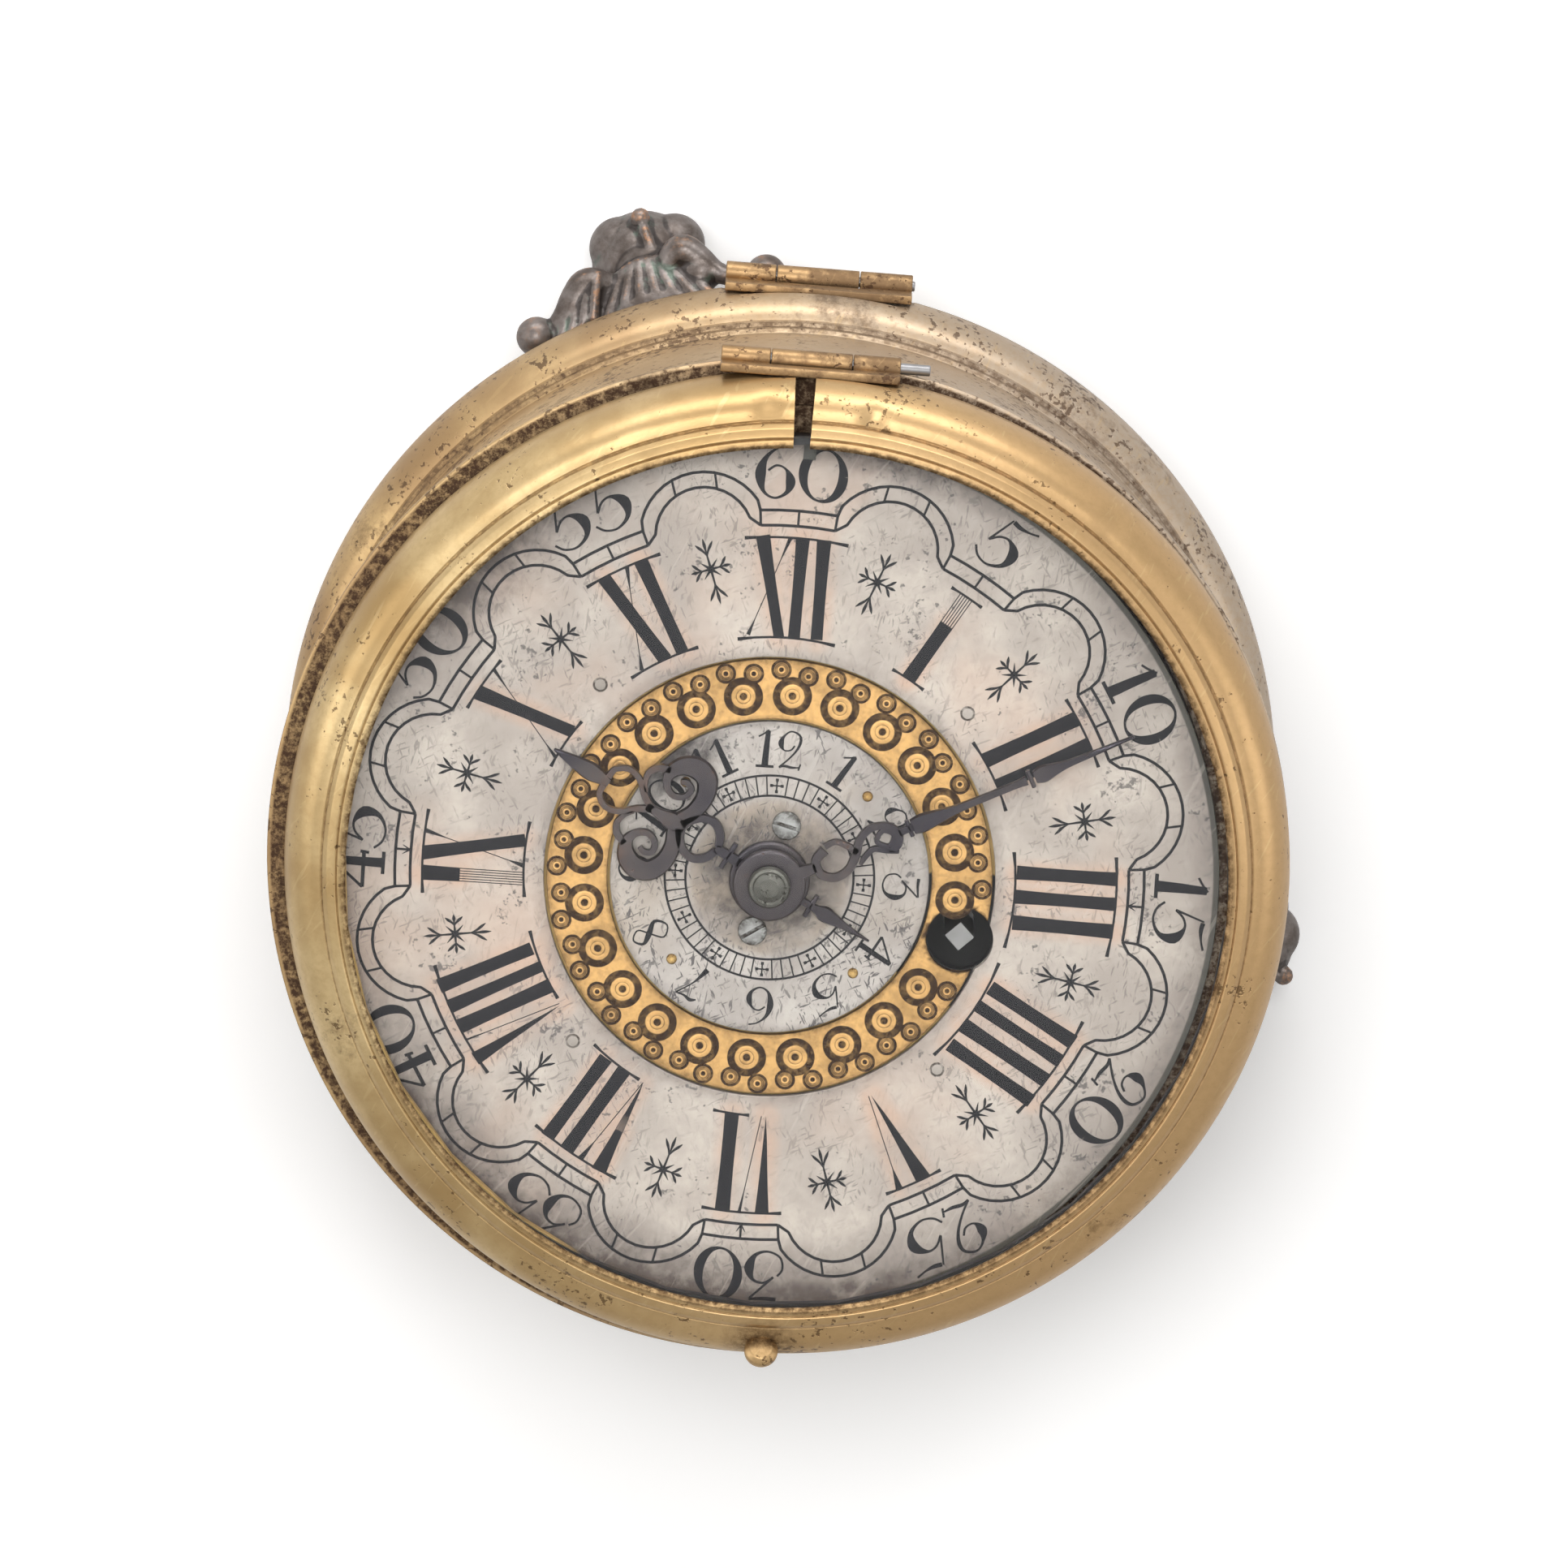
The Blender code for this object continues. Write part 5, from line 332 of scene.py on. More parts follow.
@dataclass(frozen=True)
class Silvered:
    """Silvered brass of the dial: pale, brushed, with stains, a pink bloom by the numerals, and painted shade
    under the bezel lip at its outer edge.
    """

    name: str
    axis: Vector
    bright: Colour = tone(172, 162, 154)
    shade: Colour = tone(143, 133, 127)
    bloom: Colour = tone(168, 138, 120)
    # Colour of the stains, and of the painted shade near the ring's edge and towards its lower left.
    stain: Colour = tone(84, 74, 70)
    mark: Colour = tone(66, 62, 64)
    # Near-black of the painted shadow under the bezel lip at the ring's edge.
    edge: Colour = tone(48, 48, 42)
    roughness: float = 0.50
    metallic: float = 0.25
    edge_radius: float = 46.8
    wear: float = 0.45

    def material(self) -> bpy.types.Material:
        """Build the material of the finish, which reads the bloom painted on the mesh."""
        material, wiring, shader, place = new_material(self.name)
        polar = use_group(wiring, POLAR, Place=place, Axis=tuple(self.axis))
        strokes = use_group(wiring, SCRATCHES, Place=place)
        lines = strokes["Scratches"]
        old = use_group(wiring, TARNISH, Place=place, Spread=0.34, Pitting=0.60)
        clouds = wiring.window(wiring.noise(place, 0.010, 5.0, 0.6), 0.35, 0.72)
        colour = wiring.blend(clouds, self.shade, self.bright)
        mottle = wiring.window(wiring.noise(place, 0.0011, 5.0, 0.75), 0.40, 0.75, 0.0, 0.5)
        colour = wiring.blend(mottle, colour, self.shade)
        painted = wiring.add("ShaderNodeAttribute", attribute_name="bloom").outputs["Fac"]
        patchy = wiring.window(wiring.noise(place, 0.005, 4.0, 0.6), 0.30, 0.72, 0.25, 1.0)
        colour = wiring.blend(wiring.maths("MULTIPLY", painted, patchy), colour, self.bloom)
        warm = wiring.window(wiring.noise(place, 0.022, 3.0, 0.55), 0.48, 0.70, 0.0, 0.38)
        colour = wiring.blend(warm, colour, self.bloom)
        painted_dirt_and_shade = wiring.add("ShaderNodeAttribute", attribute_name="dirt").outputs["Fac"]
        grain = wiring.window(wiring.noise(place, 0.0022, 5.0, 0.7), 0.30, 0.70, 0.45, 1.0)
        # Painted shade of the bezel, mottled by grain, darkens the last few millimetres inside the ring's edge.
        rim = wiring.window(polar["Radius"], self.edge_radius - 3.6, self.edge_radius - 1.0, 0.0, 0.45)
        grime_and_shade = wiring.maths("ADD", wiring.maths("MULTIPLY", painted_dirt_and_shade, grain),
                             wiring.maths("MULTIPLY", rim, grain))
        colour = wiring.blend(grime_and_shade, colour, self.stain)
        # A narrow near-black band just inside the ring's edge: the painted shadow under the bezel lip.
        lip_shadow_ring = wiring.window(polar["Radius"], self.edge_radius - 0.75, self.edge_radius - 0.50, 0.0, 0.85)
        colour = wiring.blend(lip_shadow_ring, colour, self.edge)
        colour = wiring.blend(wiring.maths("MULTIPLY", old["Pits"], 0.75), colour, self.mark)
        where = wiring.window(wiring.noise(place, 0.009, 3.0, 0.6), 0.40, 0.62, 0.25, 1.0)
        nicks = wiring.maths("MULTIPLY", strokes["Nicks"], wiring.maths("MULTIPLY", where, self.wear))
        colour = wiring.blend(nicks, colour, self.mark)
        colour = wiring.blend(wiring.maths("MULTIPLY", lines, 0.22), colour, self.bright)
        wiring.feed(shader.inputs["Base Color"], colour)
        shader.inputs["Metallic"].default_value = self.metallic
        rough = wiring.sum_of("ADD", self.roughness, wiring.sum_of("MULTIPLY", clouds, -0.08))
        wiring.feed(shader.inputs["Roughness"], rough)
        height = wiring.sum_of("ADD", wiring.sum_of("MULTIPLY", lines, -0.5), clouds)
        relief(wiring, shader, height, 0.012)
        return material


@dataclass(frozen=True)
class TwoTone:
    """Metal whose dark parts are painted on the mesh, as in punched and engraved ornament, and the painted shade
    in a hole.
    """

    name: str
    light: Colour
    dark: Colour
    roughness: float = 0.42
    metallic: float = 0.85

    def material(self) -> bpy.types.Material:
        """Build the material of the finish."""
        material, wiring, shader, place = new_material(self.name)
        painted_dirt_and_shade = wiring.add("ShaderNodeAttribute", attribute_name="dirt").outputs["Fac"]
        grain = wiring.window(wiring.noise(place, 0.0007, 5.0, 0.7), 0.25, 0.75, -0.22, 0.22)
        amount = wiring.maths("ADD", painted_dirt_and_shade, grain)
        clouds = wiring.window(wiring.noise(place, 0.004, 4.0, 0.65), 0.42, 0.75, 0.0, 0.45)
        base = wiring.blend(clouds, self.light, self.dark)
        wiring.feed(shader.inputs["Base Color"], wiring.blend(amount, base, self.dark))
        shader.inputs["Metallic"].default_value = self.metallic
        wiring.feed(shader.inputs["Roughness"], wiring.window(amount, 0.0, 1.0, self.roughness, 0.7))
        return material


@dataclass(frozen=True)
class HoleBrass:
    """Brass of the movement's plates, black with old oil and painted shade round the winding square, and with
    painted shade past the dial's edge.
    """

    name: str
    axis: Vector
    dial: Vector
    brass: Colour = tone(186, 156, 104)
    oil: Colour = tone(22, 20, 22)
    reach: float = 7.4

    def material(self) -> bpy.types.Material:
        """Build the material of the finish."""
        material, wiring, shader, place = new_material(self.name)
        polar = use_group(wiring, POLAR, Place=place, Axis=tuple(self.axis))
        # Old oil and painted shade in the hole blacken the brass round the winding square.
        near = wiring.window(polar["Radius"], self.reach + 0.3, self.reach)
        edge = use_group(wiring, POLAR, Place=place, Axis=tuple(self.dial))["Radius"]
        # Painted shade: past 44 mm from the dial's centre the brass is blackened, as in the gap by the dial's
        # edge.
        near = wiring.maths("MAXIMUM", near, wiring.window(edge, 44.0, 44.3))
        cloudy = wiring.window(wiring.noise(place, 0.006, 5.0, 0.65), 0.35, 0.75, 0.0, 0.35)
        colour = wiring.blend(cloudy, self.brass, tone(110, 84, 52))
        wiring.feed(shader.inputs["Base Color"], wiring.blend(near, colour, self.oil))
        wiring.feed(shader.inputs["Metallic"], wiring.window(near, 0.0, 1.0, 0.85, 0.0))
        shader.inputs["Roughness"].default_value = 0.5
        return material


@dataclass(frozen=True)
class CastBronze:
    """Dark cast bronze with rubbed copper ridges and verdigris in its hollows."""

    name: str
    body: Colour = tone(84, 74, 68)
    pale: Colour = tone(124, 116, 112)
    copper: Colour = tone(166, 124, 92)
    verdigris: Colour = tone(88, 104, 92)

    def material(self) -> bpy.types.Material:
        """Build the material of the finish, which reads the ridges painted on the mesh."""
        material, wiring, shader, place = new_material(self.name)
        ridge = wiring.add("ShaderNodeAttribute", attribute_name="ridge").outputs["Fac"]
        patches = wiring.noise(place, 0.003, 5.0, 0.65)
        fine = wiring.noise(place, 0.0006, 4.0, 0.7)
        colour = wiring.blend(wiring.window(patches, 0.35, 0.70), self.body, self.pale)
        rubbed = wiring.maths("MULTIPLY", wiring.window(ridge, 0.76, 0.96), wiring.window(fine, 0.40, 0.62))
        colour = wiring.blend(wiring.maths("MULTIPLY", rubbed, 0.7), colour, self.copper)
        hollow = wiring.window(ridge, 0.50, 0.34)
        colour = wiring.blend(wiring.maths("MULTIPLY", hollow, 0.7), colour, tone(34, 30, 30))
        green = wiring.maths("MULTIPLY", wiring.window(patches, 0.52, 0.66), wiring.window(ridge, 0.62, 0.45))
        colour = wiring.blend(wiring.maths("MULTIPLY", green, 0.6), colour, self.verdigris)
        wiring.feed(shader.inputs["Base Color"], colour)
        shader.inputs["Metallic"].default_value = 0.6
        wiring.feed(shader.inputs["Roughness"], wiring.window(fine, 0.2, 0.8, 0.30, 0.50))
        relief(wiring, shader, fine, 0.03)
        return material


@dataclass(frozen=True)
class Wax:
    """Hard black wax in the engraving, slightly rubbed."""

    name: str
    dark: Colour = tone(26, 25, 29)
    rubbed: Colour = tone(78, 74, 76)

    def material(self) -> bpy.types.Material:
        """Build the material of the finish."""
        material, wiring, shader, place = new_material(self.name)
        worn = wiring.window(wiring.noise(place, 0.0012, 6.0, 0.75), 0.58, 0.82, 0.0, 0.7)
        wiring.feed(shader.inputs["Base Color"], wiring.blend(worn, self.dark, self.rubbed))
        shader.inputs["Roughness"].default_value = 0.55
        shader.inputs["Specular IOR Level"].default_value = 0.2
        return material


@dataclass(frozen=True)
class ClearGlass:
    """Clear old glass that lets the lamps through."""

    name: str
    tint: Colour = (0.975, 0.985, 0.975, 1.0)

    def material(self) -> bpy.types.Material:
        """Build the material of the finish."""
        material, wiring, shader, place = new_material(self.name)
        shader.inputs["Base Color"].default_value = self.tint
        shader.inputs["Roughness"].default_value = 0.02
        shader.inputs["IOR"].default_value = 1.22
        shader.inputs["Transmission Weight"].default_value = 1.0
        clear = wiring.add("ShaderNodeBsdfTransparent", {0: self.tint}).outputs[0]
        shadow = wiring.add("ShaderNodeLightPath").outputs["Is Shadow Ray"]
        mixed = wiring.add("ShaderNodeMixShader", {0: shadow, 1: shader.outputs[0], 2: clear})
        leave = material.node_tree.nodes["Material Output"]
        wiring.feed(leave.inputs["Surface"], mixed.outputs[0])
        return material


# ---------------------------------------------------------------------------------------------
# Shaping tools
# ---------------------------------------------------------------------------------------------


def clear_selection() -> None:
    """Leave nothing selected before the next piece is started."""
    for thing in list(bpy.context.selected_objects):
        thing.select_set(False)


def activate(*things: bpy.types.Object) -> None:
    """Select the given objects and make the first one active."""
    clear_selection()
    for thing in things:
        thing.select_set(True)
    bpy.context.view_layer.objects.active = things[0]


def mode(name: str) -> None:
    """Change between shaping a mesh and handling whole objects."""
    bpy.ops.object.mode_set(mode=name)


def settle(thing: bpy.types.Object, name: str, smooth_angle: float = 32.0) -> bpy.types.Object:
    """Finish a mesh: weld it, turn its faces outwards, put its own origin at the frame's origin.

    Args:
        thing: Object that was shaped.
        name: Name of the piece.
        smooth_angle: Faces that meet below this angle, in degrees, are shaded as one surface.

    Returns:
        The same object.
    """
    activate(thing)
    mode("EDIT")
    bpy.ops.mesh.select_all(action="SELECT")
    bpy.ops.mesh.remove_doubles(threshold=MM / 500)
    bpy.ops.mesh.normals_make_consistent(inside=False)
    mode("OBJECT")
    bpy.ops.object.transform_apply(location=True, rotation=True, scale=True)
    bpy.ops.object.shade_smooth_by_angle(angle=math.radians(smooth_angle))
    thing.name = name
    thing.data.name = name
    thing.data.materials.clear()
    return thing


def softened(corners: Sequence[Corner], steps: int = 4) -> list[Point]:
    """Outline with its corners rounded.

    Args:
        corners: Radius, height and rounding of each corner, in a closed round.
        steps: Pieces that each rounding is made of.

    Returns:
        Radius and height of each point.
    """
    points: list[Point] = []
    for index, (radius, height, rounding) in enumerate(corners):
        here = Vector((radius, height))
        back = Vector(corners[index - 1][:2]) - here
        ahead = Vector(corners[(index + 1) % len(corners)][:2]) - here
        if rounding <= 0:
            points.append((radius, height))
            continue
        half = back.angle(ahead) / 2
        reach = min(rounding / math.tan(half), back.length * 0.49, ahead.length * 0.49)
        rounding = reach * math.tan(half)
        middle = here + (back.normalized() + ahead.normalized()).normalized() * rounding / math.sin(half)
        start = here + back.normalized() * reach - middle
        end = here + ahead.normalized() * reach - middle
        for step in range(steps + 1):
            share = step / steps
            spoke = (start * (1 - share) + end * share).normalized() * rounding
            points.append(tuple(middle + spoke))
    return points


def swept_arc(centre: Point, width: float, height: float, start: float, end: float,
              steps: int) -> list[Corner]:
    """Points of an oval arc as corners with no rounding, in degrees from the outward direction."""
    points = []
    for step in range(steps + 1):
        angle = math.radians(start + (end - start) * step / steps)
        points.append((centre[0] + width * math.cos(angle), centre[1] + height * math.sin(angle), 0.0))
    return points


def turned(name: str, outline: Sequence[Point], axis: Vector, steps: int = CLOCK_STEPS,
           closed: bool = True, smooth_angle: float = 32.0) -> bpy.types.Object:
    """Turn a piece on the lathe.

    Args:
        name: Name of the piece.
        outline: Radius and height of each point of its section.
        axis: Place of the axis, in metres.
        steps: Facets round the piece.
        closed: Whether the section joins up with itself. An open one starts and ends on the axis.
        smooth_angle: Faces that meet below this angle are shaded as one surface.

    Returns:
        The turned piece.
    """
    clear_selection()
    first = outline[0]
    bpy.ops.mesh.primitive_plane_add(size=MM, location=(axis.x + first[0] * MM, axis.y, first[1] * MM))
    thing = bpy.context.active_object
    mode("EDIT")
    bpy.ops.mesh.select_all(action="SELECT")
    bpy.ops.mesh.merge(type="CENTER")
    route = list(outline[1:]) + ([first] if closed else [])
    for point in route:
        step = ((point[0] - first[0]) * MM, 0, (point[1] - first[1]) * MM)
        bpy.ops.mesh.extrude_region_move(TRANSFORM_OT_translate={"value": step})
        first = point
    bpy.ops.mesh.select_all(action="SELECT")
    bpy.ops.mesh.spin(steps=steps, angle=math.tau, center=(axis.x, axis.y, 0), axis=(0, 0, 1))
    mode("OBJECT")
    return settle(thing, name, smooth_angle)


def block(name: str, size: Sequence[float], centre: Sequence[float], edge: float,
          turn: float = 0.0) -> bpy.types.Object:
    """Bevelled block.

    Args:
        name: Name of the piece.
        size: Size along each axis, in millimetres.
        centre: Middle of the block, in metres.
        edge: Width of the bevel, in millimetres.
        turn: Turn about the upright axis, in radians.

    Returns:
        The block.
    """
    clear_selection()
    bpy.ops.mesh.primitive_cube_add(size=MM, location=centre)
    thing = bpy.context.active_object
    mode("EDIT")
    bpy.ops.mesh.select_all(action="SELECT")
    bpy.ops.transform.resize(value=tuple(size), center_override=tuple(centre))
    if edge:
        bpy.ops.mesh.bevel(offset=edge * MM, segments=3, affect="EDGES")
    bpy.ops.mesh.select_all(action="SELECT")
    bpy.ops.transform.rotate(value=turn, orient_axis="Z", center_override=tuple(centre))
    mode("OBJECT")
    return settle(thing, name)


def round_bar(name: str, radius: float, start: float, end: float, place: Sequence[float],
              edge: float, sides: int = 48) -> bpy.types.Object:
    """Round bar along X with bevelled ends.

    Args:
        name: Name of the piece.
        radius: Radius of the bar.
        start: End towards -X, measured from the place.
        end: End towards +X, measured from the place.
        place: Point on the bar's axis, in metres.
        edge: Width of the bevel at its ends.
        sides: Facets round the bar.

    Returns:
        The bar.
    """
    clear_selection()
    middle = (place[0] + (start + end) / 2 * MM, place[1], place[2])
    bpy.ops.mesh.primitive_cylinder_add(vertices=sides, radius=radius * MM, depth=(end - start) * MM,
                                        location=middle, rotation=(0, math.pi / 2, 0))
    thing = bpy.context.active_object
    mode("EDIT")
    bpy.ops.mesh.select_mode(type="FACE")
    bpy.ops.mesh.select_all(action="DESELECT")
    mode("OBJECT")
    for face in thing.data.polygons:
        face.select = len(face.vertices) > 4
    mode("EDIT")
    bpy.ops.mesh.bevel(offset=edge * MM, segments=3, affect="EDGES")
    bpy.ops.mesh.select_mode(type="VERT")
    mode("OBJECT")
    return settle(thing, name)


def cut(piece: bpy.types.Object, tool: bpy.types.Object) -> bpy.types.Object:
    """Cut one solid out of another and throw the tool away."""
    step = piece.modifiers.new("cut", "BOOLEAN")
    step.object = tool
    step.operation = "DIFFERENCE"
    step.solver = "EXACT"
    activate(piece)
    bpy.ops.object.modifier_apply(modifier=step.name)
    bpy.data.objects.remove(tool, do_unlink=True)
    return piece


def joined(name: str, things: Sequence[bpy.types.Object]) -> bpy.types.Object:
    """Join objects into one piece."""
    activate(*things)
    bpy.ops.object.join()
    things[0].name = name
    things[0].data.name = name
    return things[0]


@dataclass
class Stroke:
    """Line with a half width at each of its points, in millimetres."""

    points: list[Point]
    halves: list[float]


def catmull(known: Sequence[Vector], share: float) -> Vector:
    """Point of the smooth curve between the second and the third of four points."""
    before, first, second, after = known
    return ((first * 2) + (second - before) * share
            + (before * 2 - first * 5 + second * 4 - after) * share ** 2
            + (first * 3 - before - second * 3 + after) * share ** 3) / 2


def flowing(points: Sequence[tuple[float, float, float]], steps: int = 6,
            cyclic: bool = False) -> Stroke:
    """Smooth stroke through points.

    Args:
        points: Two coordinates and the half width at each point.
        steps: Pieces between two points.
        cyclic: Whether the stroke joins up with itself.

    Returns:
        The stroke.
    """
    known = [Vector(point) for point in points]
    if cyclic:
        known = [known[-1]] + known + known[:2]
    else:
        known = [known[0] * 2 - known[1]] + known + [known[-1] * 2 - known[-2]]
    route: list[Vector] = []
    for index in range(1, len(known) - 2):
        for step in range(steps):
            route.append(catmull(known[index - 1:index + 3], step / steps))
    route.append(known[-2])
    return Stroke([(p.x, p.y) for p in route], [max(p.z, 0.02) for p in route])


def straight(start: Point, end: Point, half: float, end_half: Optional[float] = None) -> Stroke:
    """Straight stroke, tapered where an end width is given."""
    return Stroke([start, end], [half, half if end_half is None else end_half])


def drawn(name: str, strokes: Iterable[Stroke], centre: Vector, bottom: float, top: float,
          roundness: int = 0, turn: float = 0.0, smooth_angle: float = 50.0,
          flat: bool = False) -> bpy.types.Object:
    """Make one piece of many strokes, as low ridges between two heights.

    Args:
        name: Name of the piece.
        strokes: Strokes about the centre.
        centre: Place of the strokes' origin, in metres.
        bottom: Lowest height.
        top: Highest height.
        roundness: Extra facets of each ridge.
        turn: Clockwise turn of all strokes about the centre, in degrees.
        smooth_angle: Faces that meet below this angle are shaded as one surface.
        flat: Whether every ridge reaches both heights and is cut flat there.

    Returns:
        The piece.
    """
    curve = bpy.data.curves.new(name, "CURVE")
    curve.dimensions = "3D"
    curve.bevel_depth = 1.0
    curve.bevel_resolution = roundness
    curve.use_fill_caps = True
    cosine = math.cos(math.radians(turn))
    sine = math.sin(math.radians(turn))
    for stroke in strokes:
        spline = curve.splines.new("POLY")
        spline.points.add(len(stroke.points) - 1)
        for point, (x, y), half in zip(spline.points, stroke.points, stroke.halves):
            place = ((x * cosine + y * sine) * MM + centre.x, (y * cosine - x * sine) * MM + centre.y)
            point.co = (*place, 0, 1)
            point.radius = half * MM
    thing = bpy.data.objects.new(name, curve)
    bpy.context.scene.collection.objects.link(thing)
    activate(thing)
    bpy.ops.object.convert(target="MESH")
    thing = bpy.context.active_object
    tallest = max(abs(vert.co.z) for vert in thing.data.vertices)
    widest = max(max(stroke.halves) for stroke in strokes) * MM
    half_height = (top - bottom) / 2 * MM
    stretch = 2.2 if flat else half_height / max(tallest, widest)
    mode("EDIT")
    bpy.ops.mesh.select_all(action="SELECT")
    bpy.ops.transform.resize(value=(1, 1, stretch), center_override=(0, 0, 0))
    mode("OBJECT")
    for vert in thing.data.vertices:
        vert.co.z = max(-half_height, min(half_height, vert.co.z))
    mode("EDIT")
    bpy.ops.mesh.select_all(action="SELECT")
    bpy.ops.transform.translate(value=(0, 0, (top + bottom) / 2 * MM))
    mode("OBJECT")
    thing = settle(thing, name, smooth_angle)
    return thing


def paint(thing: bpy.types.Object, label: str, values: np.ndarray) -> None:
    """Store one value for each point of a mesh, for a finish to read."""
    layer = thing.data.attributes.new(label, "FLOAT", "POINT")
    layer.data.foreach_set("value", values.astype(np.float32))


def points_of(thing: bpy.types.Object) -> np.ndarray:
    """Coordinates of a mesh's points, in metres."""
    flat = np.empty(len(thing.data.vertices) * 3, np.float32)
    thing.data.vertices.foreach_get("co", flat)
    return flat.reshape(-1, 3)


def spread_grime(thing: bpy.types.Object, axis: Vector, bands: Sequence[Sequence[float]],
                 spots: Sequence[tuple[Vector, float, float]] = ()) -> None:
    """Paint grime on a turned piece.

    Args:
        thing: The piece.
        axis: Place of its axis, in metres.
        bands: Least and greatest radius, least and greatest height, and share of grime and painted shade of each
            band.
        spots: Middle in metres, reach in millimetres and share of grime of each spot.
    """
    places = points_of(thing)
    radii = np.hypot(places[:, 0] - axis.x, places[:, 1] - axis.y) / MM
    heights = places[:, 2] / MM
    grime_and_shade = np.zeros(len(places))
    for near, far, low, high, share in bands:
        inside = (radii > near) & (radii < far) & (heights > low) & (heights < high)
        grime_and_shade = np.maximum(grime_and_shade, inside * share)
    for middle, reach, share in spots:
        gap = np.linalg.norm(places - np.array(middle), axis=1) / MM
        grime_and_shade = np.maximum(grime_and_shade, np.clip(1.5 - gap / reach, 0, 1) * share)
    paint(thing, "grime_and_shade", grime_and_shade)


def middle_of(node: str) -> Vector:
    """Middle of a CAD node's box."""
    low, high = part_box(node)
    return (low + high) / 2


def top_of(node: str) -> float:
    """Highest level of a CAD node, in millimetres."""
    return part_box(node)[1].z / MM


def bottom_of(node: str) -> float:
    """Lowest level of a CAD node, in millimetres."""
    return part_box(node)[0].z / MM


def around(radius: float, degrees: float, centre: Point = (0.0, 0.0)) -> Point:
    """Point at a radius and at degrees clockwise from 12 o'clock."""
    angle = math.radians(degrees)
    return (centre[0] + radius * math.sin(angle), centre[1] + radius * math.cos(angle))


def place_at(axis: Vector, radius: float, degrees: float, height: float) -> Vector:
    """Place in metres from a radius, an angle clockwise from 12 o'clock and a height."""
    x, y = around(radius, degrees)
    return Vector((axis.x + x * MM, axis.y + y * MM, height * MM))


class Body(Enum):
    """Bodies of the jointed model that the pieces ride on."""

    BASE = "base"
    CASE = "case"
    BEZEL = "bezel"
    MINUTE = "minute_work"
    HOUR = "hour_work"
    ALARM = "alarm_setting"


class Assembly:
    """Group of pieces that are built and dressed together."""

    def fit(self, piece: bpy.types.Object, finish: bpy.types.Material, slot: str, body: Body,
            *nodes: str) -> bpy.types.Object:
        """Dress a piece, let it ride on its body and stand for its CAD nodes.

        Args:
            piece: The finished mesh.
            finish: Its material.
            slot: Name of a material slot; it is not used.
            body: Body that it moves with.
            nodes: CAD nodes that it replaces.

        Returns:
            The piece.
        """
        piece.data.materials.append(finish)
        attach(piece, body.value)
        if nodes:
            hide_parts(*nodes)
        LOG.info("%s: %d faces", piece.name, len(piece.data.polygons))
        return piece


# ---------------------------------------------------------------------------------------------
# Case
# ---------------------------------------------------------------------------------------------


